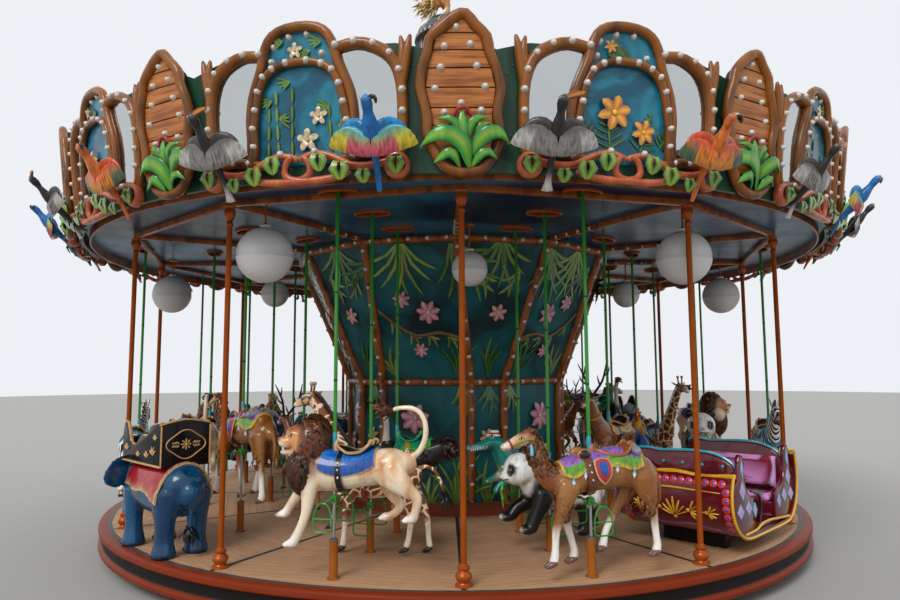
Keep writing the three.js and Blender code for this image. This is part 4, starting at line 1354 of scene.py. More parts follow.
@dataclass
class Ceiling:
    """The glossy ceiling with its beams, rod slots and globe lamps."""

    z: float = 3.483
    thick: float = 0.03
    outer: float = 5.06
    inner: float = 2.3
    beam_wide: float = 0.062
    beam_drop: float = 0.059
    beam_start: float = 2.396
    slot_long: float = 0.175
    slot_wide: float = 0.085

    def panel(self, slots: Sequence[tuple[float, float]]) -> Piece:
        """Makes the ceiling panel and cuts the slots of the rods."""
        half = math.pi / 24

        def surface(u: Points, v: Points) -> Points:
            """Spreads the ring with its straight edges."""
            turn = u * 2 * math.pi
            flat = np.cos(half) / np.cos((turn % (2 * half)) - half)
            reach = (self.inner + (self.outer - self.inner) * v) * flat
            return np.stack(
                (reach * np.sin(turn), reach * np.cos(turn), np.full_like(u, DECK_TOP + self.z)), 1)
        panel = weld(shaped("ceiling_panel", 96, 10, surface), closed=False)
        modify(panel, "SOLIDIFY", thickness=self.thick, offset=1)
        outwards(panel)
        depth = self.thick * 2
        profile = [(0, -depth), (1, -depth), (1, depth), (0, depth)]
        plug = turned("slot", profile, 16)
        reshape(plug, coordinates(plug) * (self.slot_long, self.slot_wide, 1))
        cutter = stamped("slots", plug, [
            around(a, reach, DECK_TOP + self.z + self.thick / 2) for a, reach in slots])
        modify(panel, "BOOLEAN", object=cutter, operation="DIFFERENCE", solver="EXACT")
        bpy.data.objects.remove(cutter)
        return paint(smooth(panel, 20), Paints.ceiling)

    def rings(self, slots: Sequence[tuple[float, float]]) -> Piece:
        """Frames each slot with a copper ring."""
        a, b, z = self.slot_long + 0.02, self.slot_wide + 0.02, DECK_TOP + self.z - 0.012
        rows = [
            (a * math.cos(t), b * math.sin(t), 0.0, 0.02, 0.014)
            for t in np.linspace(0, 2 * math.pi, 16, False)]
        ring = paint(smooth(swept("ring", rows, 6, 1, closed=True, across=(0, 0, 1))), Paints.knob)
        return stamped("slot_rings", ring, [around(turn, reach, z) for turn, reach in slots])

    def beams(self, lamps: Lamps) -> Piece:
        """Makes the radial beams and the rim beam."""
        half, low, top = self.beam_wide / 2, DECK_TOP + self.z - self.beam_drop, DECK_TOP + self.z + 0.004
        start = self.beam_start
        radial = block("beam", (-half, -POLE_CIRCLE + 0.02, low), (half, -start, top), 0.008)
        beams = stamped("radial", radial, [around(a) for a in every()])
        chord = POLE_CIRCLE * math.cos(math.radians(SECTOR / 2))
        side = (POLE_CIRCLE + half) * math.sin(math.radians(SECTOR / 2))
        rim = block("rim", (-side, -chord - half, low), (side, -chord + half, top), 0.008)
        rims = stamped("rims", rim, [around(a) for a in every(start=SECTOR / 2)])
        for offset in (-half - 0.004, half + 0.004):
            lamps.add([around(a) for a in every()], [
                (offset * 0.5, -start - 0.12 - 0.2 * i, low + 0.022) for i in range(4)])
        return paint(smooth(joined("ceiling_beams", [beams, rims]), 30), Paints.beam)

    @staticmethod
    def globe(radius: float) -> Piece:
        """Blows one globe with its neck and the seam round its waist."""
        steps = np.linspace(-90, 78, 15)
        profile = [(radius * math.cos(math.radians(a)), radius * math.sin(math.radians(a))) for a in steps]
        profile[0] = (0.0, -radius)
        middle = len(profile) // 2
        profile.insert(middle, (profile[middle][0] + 0.003, profile[middle][1] - 0.004))
        neck = [(0.052, radius * 0.985), (0.052, radius + 0.02), (0.0, radius + 0.024)]
        return smooth(turned("globe", profile + neck, 28), 40)

    def globes(self) -> tuple[Piece, Piece]:
        """Hangs the globes on their rods."""
        groups = (
            ((-87, -27, 33, 93, 153, 213), 4.25, 2.96, 0.278), ((-87, 3, 93, 183), 2.72, 2.975, 0.205))
        globes, rods = [], []
        for azimuths, reach, z, radius in groups:
            moves = [around(a, reach, DECK_TOP + z) for a in azimuths]
            globes.append(stamped("globes", self.globe(radius), moves))
            top = self.z - z
            rod = turned("rod", [
                (0, radius), (0.03, radius + 0.004), (0.03, radius + 0.03), (0.011, radius + 0.045),
                (0.011, top - 0.03), (0.012, top - 0.024), (0.055, top - 0.02), (0.06, top), (0, top)], 12)
            rods.append(stamped("rods", smooth(rod), moves))
        return (
            paint(joined("globe_lamps", globes), Paints.globe),
            paint(joined("globe_rods", rods), Paints.knob))

    def build(self, slots: Sequence[tuple[float, float]], lamps: Lamps) -> None:
        """Builds the ceiling with a slot at each place."""
        globes, rods = self.globes()
        settle(self.panel(slots), "ride", "ceiling_navy", "ceiling")
        settle(self.rings(slots), "ride", "pole_copper")
        settle(self.beams(lamps), "ride", "frame_brown")
        settle(globes, "ride", "globe_white")
        settle(rods, "ride", "pole_copper")


# Poles

@dataclass
class Poles:
    """The twelve turned poles round the deck."""

    top: float = 3.4234
    radius: float = 0.027

    def build(self) -> None:
        """Turns a pole with its foot and collar, and stamps both round."""
        r, top = self.radius, self.top
        shaft = turned("shaft", [
            (0, 0.15), (r, 0.15), (r, 1.2), (r, 2.3), (r, top - 0.12), (0, top - 0.12)], 16)
        foot = turned("foot", [
            (0, 0), (0.078, 0), (0.078, 0.012), (0.07, 0.02), (0.056, 0.024), (0.05, 0.034), (0.058, 0.046),
            (0.07, 0.064), (0.074, 0.084), (0.068, 0.104), (0.05, 0.12), (0.044, 0.13), (0.05, 0.138),
            (0.056, 0.15), (0.054, 0.162), (0.04, 0.17), (0.034, 0.178), (r, 0.185), (0, 0.185)], 16)
        collar = turned("collar", [
            (0, top - 0.2), (r, top - 0.2), (0.036, top - 0.19), (0.036, top - 0.175), (r, top - 0.165),
            (r, top - 0.14), (0.04, top - 0.12), (0.052, top - 0.09), (0.056, top - 0.05),
            (0.046, top - 0.03), (0.05, top - 0.012), (0.056, top), (0, top)], 16)
        moves = [around(a, POLE_CIRCLE, DECK_TOP + 0.0005) for a in every()]
        knobs = paint(smooth(joined("knob", [foot, collar])), Paints.knob)
        settle(stamped("outer_poles", paint(smooth(shaft), Paints.pole), moves), "ride", "pole_copper", *(
            f"outer_pole_{i + 1}" for i in range(SECTORS)))
        settle(stamped("pole_knobs", knobs, moves), "ride", "pole_copper")


# Cornice

@dataclass
class Shield:
    """The tall plank shield with its thick rim, lamps and potted plant, in the flat front view."""

    rim: Sequence[Row] = (
        (0.02, 1.286), (0.09, 1.2), (0.178, 1.11), (0.2, 0.99), (0.258, 0.86), (0.292, 0.705), (0.278, 0.6),
        (0.262, 0.498), (0.282, 0.345), (0.238, 0.16), (0.12, 0.055), (-0.02, 0.035), (-0.16, 0.095),
        (-0.243, 0.235), (-0.286, 0.345), (-0.28, 0.444), (-0.3, 0.57), (-0.336, 0.705), (-0.318, 0.86),
        (-0.276, 0.996), (-0.258, 1.1), (-0.165, 1.185), (-0.06, 1.27))
    gaps: Row = (0.2, 0.4137, 0.5515, 0.712, 0.866, 1.007, 1.141, 1.25)
    lamps: Sequence[Row] = (
        (-0.055, 1.187), (-0.146, 1.037), (0.054, 1.053), (-0.177, 0.871), (0.105, 0.882), (-0.221, 0.702),
        (0.17, 0.719), (-0.018, 0.587), (-0.149, 0.514), (0.138, 0.529))
    face: float = -0.062
    tube: float = 0.042

    def edges(self, z: float, inset: float) -> tuple[float, float]:
        """Returns the left and the right edge of the shield at a height, pulled in."""
        right = sorted((b, a) for a, b in self.rim[:12])
        left = sorted((b, a) for a, b in self.rim[11:] + self.rim[:1])
        return (float(np.interp(z, *zip(*left))) + inset, float(np.interp(z, *zip(*right))) - inset)

    def frame(self) -> Piece:
        """Bends the thick rim."""
        rng = np.random.default_rng(3)
        rows = []
        for x, z in self.rim:
            fat = self.tube * (1 + 0.1 * rng.uniform(-1, 1)) * (1.15 if z > 1.15 else 1)
            rows.append((x, self.face - 0.012, z, 0.045, fat))
        return paint(smooth(mark_place(swept("rim", rows, 8, 2, closed=True)), 60), Paints.trunk)

    def board(self) -> Piece:
        """Cuts the dark board behind the planks, as the black lines between them."""
        heights = np.linspace(0.05, 1.27, 18)
        levels = [(z, *self.edges(z, 0.012)) for z in heights]
        return paint(bay("board", levels, self.face + 0.006, 0.05, 5, 1), Paints.groove)

    def planks(self) -> Piece:
        """Lays the planks with narrow gaps."""
        pieces = []
        for i, (low, high) in enumerate(zip(self.gaps, self.gaps[1:])):
            heights = np.linspace(low + 0.0045, high - 0.0045, 4)
            levels = [(z, *self.edges(z, 0.043)) for z in heights]
            plank = bay("plank", levels, self.face - 0.006, self.face + 0.004, 5, 1, 0.002)
            modify(
                plank, "BEVEL", width=0.003, segments=1, limit_method="ANGLE", angle_limit=math.radians(50))
            points = coordinates(plank)
            mark_place(plank)
            layer = plank.data.attributes["place"]
            layer.data.foreach_set("vector", (points + np.array((0.7 * i, 0, 0.37 * i))).ravel())
            pieces.append(paint(smooth(plank), Paints.plank))
        return joined("planks", pieces)

    def plant(self) -> Piece:
        """Grows the plant that fills the cup of the rim."""
        rib, blade = "9aa82a", "1f9a38"
        y = self.face - 0.03
        paths = (
            ([
                (0.047, y, 0.07), (0.0, y - 0.05, 0.24), (-0.12, y - 0.07, 0.32),
                (-0.24, y - 0.06, 0.3), (-0.335, y - 0.02, 0.225)], 0.07), ([
                (0.06, y, 0.17), (0.12, y - 0.05, 0.27), (0.22, y - 0.07, 0.335),
                (0.3, y - 0.05, 0.31), (0.35, y - 0.02, 0.25)], 0.062), ([
                (-0.03, y, 0.075), (-0.07, y - 0.05, 0.15),
                (-0.125, y - 0.06, 0.17), (-0.23, y - 0.03, 0.1)], 0.042), ([
                (0.066, y, 0.08), (0.11, y - 0.05, 0.14),
                (0.18, y - 0.06, 0.185), (0.256, y - 0.03, 0.13)], 0.038),
            ([(-0.04, y, 0.3), (-0.06, y - 0.03, 0.4), (-0.12, y - 0.03, 0.455), (-0.2, y, 0.455)], 0.034),
            ([(-0.08, y, 0.31), (-0.13, y - 0.03, 0.38), (-0.225, y, 0.405)], 0.026),
            ([(0.03, y, 0.28), (0.05, y - 0.03, 0.39), (0.11, y - 0.03, 0.455), (0.19, y, 0.465)], 0.036),
            ([(0.09, y, 0.33), (0.13, y - 0.03, 0.39), (0.205, y, 0.425)], 0.027))
        leaves = [
            leaf("leaf", path, wide, rib, blade, 0.016, 8, 2 if wide > 0.04 else 1) for path, wide in paths]
        stem = leaf(
            "stem", [(0.0, y, 0.22), (-0.002, y - 0.02, 0.34), (-0.01, y - 0.02, 0.44), (-0.012, y, 0.53)],
            0.046, rib, "2fa03a", 0.022, 8, 1)
        crown = swept("crown", [
            (-0.08, y, 0.478, 0.013), (-0.055, y - 0.01, 0.518, 0.014), (-0.012, y - 0.02, 0.54, 0.016),
            (0.03, y - 0.01, 0.524, 0.014), (0.055, y, 0.486, 0.013)], 8, 3)
        return joined("plant", [*leaves, stem, toned(crown, "b52a35", Paints.leaf, 80)])

    def build(self, moves: Sequence[Move], lamps: Lamps) -> list[Piece]:
        """Stamps the shield and its plant at each move."""
        lamps.add(moves, [(x, self.face - 0.012, z) for x, z in self.lamps])
        return [
            stamped("cornice_shields", self.frame(), moves), stamped("cornice_boards", self.board(), moves),
            stamped("cornice_planks", self.planks(), moves), stamped("cornice_plants", self.plant(), moves)]


@dataclass
class Arches:
    """The triple arch between two shields, with its mirrors, pictures and vine, in the flat front view."""

    outer: Sequence[Row] = (
        (0.8, 0.16, 0.05), (0.845, 0.26, 0.046), (0.856, 0.4, 0.044), (0.86, 0.54, 0.045),
        (0.858, 0.7, 0.045), (0.832, 0.87, 0.05), (0.76, 1.0, 0.052), (0.635, 1.082, 0.05),
        (0.49, 1.118, 0.046), (0.335, 1.092, 0.044))
    inner: Sequence[Row] = (
        (0.44, 0.19, 0.05), (0.41, 0.34, 0.036), (0.412, 0.49, 0.035), (0.386, 0.64, 0.035),
        (0.354, 0.79, 0.036), (0.295, 0.905, 0.036), (0.215, 0.962, 0.034), (0.12, 0.992, 0.034),
        (0.0, 1.003, 0.034))
    upper: Sequence[Row] = (
        (0.47, 0.23, 0.035), (0.462, 0.4, 0.034), (0.462, 0.57, 0.036), (0.432, 0.74, 0.04),
        (0.378, 0.88, 0.042), (0.335, 0.99, 0.042), (0.314, 1.09, 0.042), (0.262, 1.205, 0.042),
        (0.17, 1.274, 0.042), (0.0, 1.298, 0.042))
    half: float = 1.341
    lamps: Sequence[Row] = (
        (0.332, 1.1), (0.483, 1.12), (0.636, 1.09), (0.764, 1.005), (0.836, 0.87), (0.862, 0.71),
        (0.862, 0.54), (0.856, 0.38), (0.41, 0.338), (0.412, 0.49), (0.386, 0.64), (0.354, 0.79),
        (0.3, 0.905), (0.215, 0.962), (0.09, 0.998), (0.62, 0.226), (0.46, 0.205))
    window_lamps: Sequence[Row] = (
        (-0.225, 1.165), (-0.085, 1.232), (0.075, 1.238), (-0.25, 1.045), (0.2, 1.07))

    @staticmethod
    def bar(rows: Sequence[Row], y: float, finish: Finish) -> Piece:
        """Bends one bar of the frame from rows of x, z and radius."""
        piece = swept("bar", [(x, y, z, r * 1.05, r) for x, z, r in rows], 7, 2, 2)
        return paint(smooth(mark_place(piece), 60), finish)

    def frame(self) -> Piece:
        """Bends the trunks and arches."""
        side = [
            self.bar(self.outer, -0.02, Paints.trunk), self.bar((
                (0.855, 0.78, 0.045), (0.885, 0.94, 0.042), (0.905, 1.06, 0.036),
                (0.925, 1.15, 0.016)), -0.015, Paints.trunk), self.bar((
                (0.845, 0.88, 0.045), (0.862, 1.0, 0.04), (0.862, 1.08, 0.03),
                (0.85, 1.145, 0.014)), -0.012, Paints.trunk), self.bar((
                (0.3, 0.165, 0.036), (0.44, 0.2, 0.042), (0.6, 0.226, 0.04), (0.72, 0.215, 0.04),
                (0.83, 0.18, 0.045)), -0.03, Paints.trunk)]
        pair = mirrored("pair", joined("side", side))
        whole = [pair]
        for rows, y in ((self.inner, -0.035), (self.upper, -0.02)):
            both = [*rows, *((-x, z, r) for x, z, r in rows[-2::-1])]
            whole.append(self.bar(both, y, Paints.trunk))
        return joined("frame", whole)

    def backs(self) -> tuple[Piece, Piece, Piece]:
        """Cuts the green strips, the mirrors and the picture boards."""
        def strip(u: Points, v: Points) -> Points:
            """Hollows the top edge of the strips."""
            x = (2 * u - 1) * self.half
            top = 1.045 + np.clip(((np.abs(x) - 1.03) / 0.12) ** 2, 0, 1) * 0.07
            return np.stack((x, np.full_like(x, 0.02), 0.06 + (top - 0.06) * v), 1)
        board = modify(shaped("strip", 20, 3, strip), "SOLIDIFY", thickness=0.045, offset=-1)
        studs = [turned("stud", [(0, 0.012), (0.008, 0.009), (0.011, 0)], 6) for _ in range(4)]
        for stud, (x, z) in zip(studs, ((0.945, 0.93), (0.955, 0.36), (1.0, 0.25), (0.99, 0.86))):
            reshape(stud, coordinates(stud)[:, [0, 2, 1]] * (1, -1, 1) + np.array((x, 0.022, z)))
        mirror = bay("mirror", [
            (0.2, 0.44, 0.86), (0.5, 0.43, 0.87), (0.8, 0.4, 0.86), (0.95, 0.34, 0.8), (1.05, 0.33, 0.7),
            (1.115, 0.36, 0.56)], 0.0, 0.04, 4, 2)
        centre = bay("centre", [
            (0.17, -0.43, 0.43), (0.5, -0.42, 0.42), (0.7, -0.39, 0.39), (0.85, -0.34, 0.34),
            (0.95, -0.24, 0.24), (1.0, -0.08, 0.08)], -0.004, 0.045, 5, 2)
        window = bay("window", [
            (0.9, -0.34, 0.34), (1.08, -0.31, 0.31), (1.19, -0.26, 0.26), (1.27, -0.14, 0.14),
            (1.297, -0.04, 0.04)], 0.002, 0.05, 4, 2)
        green = joined("strips", [paint(board, Paints.strip), mirrored(
            "studs", paint(smooth(joined("studs", studs)), Paints.strip))])
        mirrors = paint(mirrored("mirrors", mirror), Paints.mirror)
        pictures = paint(joined("pictures", [centre, window]), Paints.picture)
        for piece in (green, mirrors, pictures):
            mark_place(piece)
        return green, mirrors, pictures

    def vine(self) -> tuple[Piece, Piece]:
        """Bends the red vine with its rings and hangs its two-lobed leaves."""
        ring = [
            (0.817 + 0.079 * math.cos(t), -0.06, 0.105 + 0.079 * math.sin(t), 0.05, 0.03)
            for t in np.linspace(0, 2 * math.pi, 10, False)]
        strand = swept("ring", ring, 6, 2, closed=True)
        pieces = [paint(smooth(mark_place(strand), 60), Paints.vine)]
        pieces.append(self.bar((
            (0.77, 0.15, 0.03), (0.68, 0.125, 0.034), (0.575, 0.11, 0.034), (0.44, 0.125, 0.032),
            (0.315, 0.19, 0.03), (0.16, 0.235, 0.03), (0.02, 0.2, 0.028)), -0.058, Paints.vine))
        pieces.append(self.bar((
            (0.43, 0.06, 0.024), (0.29, 0.018, 0.032), (0.1, 0.003, 0.034), (-0.06, 0.025, 0.033),
            (-0.115, 0.09, 0.03), (-0.09, 0.17, 0.028), (-0.05, 0.2, 0.024)), -0.09, Paints.vine))
        leaves = []
        for x, z, size in ((0.817, 0.1, 0.9), (0.2, 0.15, 0.95), (0.372, 0.075, 1.0), (0.56, 0.02, 0.75)):
            for way in BOTH:
                path = [
                    (x + way * 0.006 * size, -0.12, z + 0.062 * size),
                    (x + way * 0.042 * size, -0.145, z + 0.052 * size), (x + way * 0.05 * size, -0.15, z),
                    (x + way * 0.004 * size, -0.12, z - 0.085 * size)]
                leaves.append(leaf("lobe", path, 0.036 * size, "b9c832", "1f7d33", 0.014))
        return mirrored("vine", joined("vine", pieces)), mirrored("lobes", joined("lobes", leaves))

    def garden(self, kind: int) -> Piece:
        """Paints the two pictures as low relief, with plants of the jungle.

        Args:
            kind: 0 for blossoms over ferns and 1 for bamboo with lilies.
        Returns:
            The relief in the flat front view.
        """
        y = -0.012
        parts = []
        if kind == 0:
            for x, z, turn, size in (
                    (-0.3, 0.28, 0.5, 0.4), (-0.12, 0.24, 0.1, 0.46), (0.14, 0.24, -0.28, 0.42),
                    (0.32, 0.3, -0.6, 0.32), (0.02, 1.02, 0.7, 0.2), (0.02, 1.02, 1.35, 0.19)):
                parts += self.frond(x, y, z, turn, size, "5f9a3a", "12532c")
            for x, z, size in ((-0.1, 0.58, 0.15), (0.17, 0.44, 0.11), (-0.14, 1.12, 0.06)):
                parts.append(blossom("bloom", (x, y - 0.012, z), size, 6, "e2592a", "f3c23a"))
        else:
            for x, lean in ((-0.3, 0.05), (-0.2, -0.02), (0.27, -0.04), (0.35, 0.02), (-0.08, 0.03)):
                for i in range(5):
                    low, high = 0.24 + 0.145 * i, 0.24 + 0.145 * (i + 1) - 0.008
                    if high > 0.93 - abs(x) * 0.5:
                        break
                    a, b = x + lean * (low - 0.2), x + lean * (high - 0.2)
                    parts.append(leaf(
                        "cane", [(a, y, low), ((a + b) / 2, y, (low + high) / 2), (b, y, high)], 0.018,
                        "9ab43a", "3c7a2c", 0.008))
            for x, z, turn in (
                    (-0.25, 0.72, 1.9), (-0.19, 0.56, -1.7), (0.26, 0.62, 1.5), (0.33, 0.47, -2.0),
                    (-0.08, 0.86, 1.8), (0.1, 1.1, 2.0), (-0.13, 1.2, 1.7), (0.2, 1.16, 1.6)):
                parts += self.tuft(x, y, z, turn)
            for x, z, size in ((0.07, 0.36, 0.1), (0.17, 0.55, 0.08), (-0.02, 1.1, 0.07)):
                parts.append(blossom("lily", (x, y - 0.012, z), size, 5, "e9e6dc", "d9a62e"))
        return joined("garden", parts)

    @staticmethod
    def frond(x: float, y: float, z: float, turn: float, size: float, rib: str, blade: str) -> list[Piece]:
        """Draws a fern frond of narrow leaflets on a stalk."""
        ahead = np.array((-math.sin(turn), 0, math.cos(turn)))
        side = np.array((ahead[2], 0, -ahead[0]))
        root = np.array((x, y, z))
        parts = [leaf(
            "stalk", [tuple(root), tuple(root + ahead * size * 0.5), tuple(root + ahead * size)], 0.009,
            rib, rib, 0.007)]
        for i in range(1, 8):
            share = i / 8
            for way in BOTH:
                start = root + ahead * size * share
                tip = start + (ahead * 0.5 + side * way) * size * 0.36 * (1.05 - share)
                parts.append(leaf("leaflet", [
                    tuple(start), tuple((start + tip) / 2), tuple(tip)], 0.014, rib, blade))
        return parts

    @staticmethod
    def tuft(x: float, y: float, z: float, turn: float) -> list[Piece]:
        """Draws a tuft of bamboo leaves."""
        parts = []
        for i in range(4):
            way = turn + 0.38 * (i - 1.5)
            size = 0.13 - 0.014 * i
            tip = (x - size * math.sin(way), y - 0.004, z + size * math.cos(way))
            parts.append(leaf("blade", [(x, y, z), (
                (x + tip[0]) / 2, y - 0.006, (z + tip[2]) / 2), tip], 0.014, "8fb53a", "2a6e2e"))
        return parts

    def build(self, lamps: Lamps) -> list[Piece]:
        """Stamps the arches all round, with the two gardens by turns."""
        azimuths = every(start=SECTOR / 2)
        moves = [wrapped(a) for a in azimuths]
        lamps.add(moves, [(way * x, -0.068, z) for x, z in self.lamps for way in BOTH])
        lamps.add(moves, [(x, -0.002, z) for x, z in self.window_lamps])
        lamps.add(moves, [(way * 0.15, -0.09, 0.245) for way in BOTH])
        strips, mirrors, pictures = self.backs()
        vine, lobes = self.vine()
        gardens = [stamped(f"garden_{kind}", self.garden(kind), moves[kind::2]) for kind in (0, 1)]
        return [
            stamped("cornice_arches", self.frame(), moves), stamped("cornice_strips", strips, moves),
            stamped("cornice_mirrors", mirrors, moves), stamped("cornice_pictures", pictures, moves),
            stamped("cornice_vines", vine, moves), stamped("cornice_vine_leaves", lobes, moves),
            joined("cornice_gardens", gardens)]


class Plumage(Enum):
    """Colours of the carved birds: head, body, wing root, wing middle, wing tip and inner feathers."""

    CRANE = ("2a2826", "2c2a28", "45423f", "6f6a66", "c9c4be", "8d8782")
    BLUE = ("1f74b8", "1c6cb0", "1a86c4", "3aa860", "e2c326", "d8566a")
    ORANGE = ("c8632a", "d06a24", "c84a22", "d8571f", "4a6a4a", "e08a2a")


@dataclass
class Bird:
    """A carved bird that leans out from the cornice with drooping wings."""

    plumage: Plumage

    def body(self) -> Piece:
        """Models the body from the tail to the head."""
        head, body, _, _, tip, _ = self.plumage.value
        crane = self.plumage is Plumage.CRANE
        slim = 0.8 if crane else 1.0
        rows = [
            (0, -0.045, -0.09, 0.05 if crane else 0.022, 0.012), (0, -0.08, -0.01, 0.026, 0.018),
            (0, -0.14, 0.09, 0.026, 0.024), (0, -0.2, 0.16, 0.036, 0.036),
            (0, -0.27, 0.235, 0.06 * slim, 0.056 * slim), (0, -0.325, 0.305, 0.07 * slim, 0.066 * slim),
            (0, -0.37, 0.365, 0.052 * slim, 0.05 * slim), (0, -0.405, 0.41, 0.036 * slim, 0.036 * slim),
            (0, -0.44, 0.455, 0.041, 0.042), (0, -0.475, 0.49, 0.036, 0.038)]
        piece = swept("body", rows, 8, 2, 1, across=(1, 0, 0))
        last = tip if crane else body
        shades = ((-0.12, last), (-0.03, last), (0.04, body), (0.4, body), (0.46, head))
        tint(piece, blended(shades, coordinates(piece)[:, 2]))
        return finished(piece, Paints.bird, 80)

    def beak(self) -> list[Piece]:
        """Models the beak and the eyes."""
        if self.plumage is Plumage.CRANE:
            path = [(0.0, -0.47, 0.492), (0.07, -0.485, 0.512), (0.15, -0.485, 0.535)]
            beak = leaf("beak", path, 0.028, "e8b02e", "c8701f", 0.022, 8, 2, across=(0, 0, 1))
        else:
            path = [(0.015, -0.47, 0.495), (0.062, -0.485, 0.487), (0.072, -0.485, 0.44)]
            beak = leaf("beak", path, 0.024, "4a3a30", "2a201c", 0.018, 8, 2, across=(0, 1, 0))
        eyes = [lump(
            "eye", (way * 0.03, -0.478, 0.488), (0.009, 0.01, 0.01), "f2efe6", Paints.bird, 6,
            4) for way in BOTH]
        pupils = [lump(
            "pupil", (way * 0.035, -0.482, 0.489), (0.005, 0.006, 0.006), "0c0b0a", Paints.bird, 6,
            4) for way in BOTH]
        return [beak, *eyes, *pupils]

    def wing(self) -> Piece:
        """Fans the feathers of the right wing under its arched leading edge."""
        _, body, root, middle, tip, inner = self.plumage.value
        shoulder = np.array((0.045, -0.325, 0.315))
        feathers = []
        count = 10
        for i in range(count):
            share = i / (count - 1)
            turn = math.radians(48 + 46 * share)
            base = shoulder + np.array((
                0.145 * (1 - share), 0.045 * (1 - share),
                0.055 * math.sin(math.pi * 0.85 * (1 - share)) - 0.02 * share))
            size = 0.15 + 0.075 * math.sin(math.pi * min(1.0, 0.2 + 0.62 * (1 - share)))
            ahead = np.array((math.cos(turn), 0.12, -math.sin(turn) * 0.98))
            path = [tuple(base), tuple(
                base + ahead * size * 0.55 + (0, -0.03, 0.02)), tuple(base + ahead * size)]
            rows = [(*p, w, h) for p, w, h in zip(
                smoothed(path, 2), (0.012, 0.026, 0.033, 0.035, 0.028),
                (0.006, 0.007, 0.006, 0.005, 0.003))]
            side = (ahead[2], 0.0, -ahead[0])
            feather = swept("feather", rows, 5, 1, 1, across=side)
            far = np.linalg.norm(coordinates(feather) - base, axis=1) / size
            tail = inner if share > 0.55 else tip
            tint(feather, blended(((0.1, root), (0.38, middle), (0.62, tail), (1.0, tail)), far))
            feathers.append(finished(feather, Paints.bird, 60))
        rows = [
            (*shoulder, 0.035, 0.02), (0.1, -0.31, 0.365, 0.036, 0.02), (0.165, -0.29, 0.37, 0.034, 0.018),
            (0.225, -0.27, 0.33, 0.028, 0.014), (0.262, -0.26, 0.26, 0.016, 0.01)]
        arm = swept("arm", rows, 8, 2, 1, across=(0, 0, 1))
        tint(arm, blended(((0.0, body), (0.12, root), (0.3, root)), coordinates(arm)[:, 0]))
        feathers.append(finished(arm, Paints.bird, 60))
        return joined("wing", feathers)

    def build(self) -> Piece:
        """Joins the whole bird."""
        arm = swept("bracket", [
            (0, 0.02, 0.0, 0.012), (0, -0.1, 0.06, 0.012), (0, -0.2, 0.14, 0.012)], 6, 1, 1)
        toned(arm, "3a3836", Paints.bird, 40)
        return joined(f"bird_{self.plumage.name.lower()}", [
            self.body(), *self.beak(), mirrored("wings", self.wing()), arm])


@dataclass
class Cornice:
    """The leaning cornice that goes all round the top."""

    bird_reach: float = 7.5

    def birds(self) -> Piece:
        """Stamps cranes to the left and parrots to the right of each picture."""
        centres = every(start=SECTOR / 2)
        blue = [a + self.bird_reach for a in centres if round((a + SECTOR / 2) / SECTOR) % 2 == 0]
        orange = [a + self.bird_reach for a in centres if round((a + SECTOR / 2) / SECTOR) % 2]
        flocks = (
            (Plumage.CRANE, [a - self.bird_reach for a in centres]), (Plumage.BLUE, blue),
            (Plumage.ORANGE, orange))
        return joined("cornice_birds", [
            stamped("flock", Bird(plumage).build(), [wrapped(a) for a in azimuths]) for plumage,
            azimuths in flocks])

    def build(self, lamps: Lamps) -> None:
        """Builds the cornice."""
        pieces = Shield().build([wrapped(a) for a in every()], lamps) + Arches().build(lamps) + [
            self.birds()]
        slots = (
            "frame_brown", "black_trim", "plank_orange", "leaf_green", "frame_brown", "leaf_green",
            "mirror_glass", "picture_teal", "vine_red", "leaf_green", "leaf_green", "bird_paint")
        for piece, slot in zip(pieces, slots):
            settle(piece, "ride", slot, *(("cornice",) if piece.name == "cornice_strips" else ()))


# Roof

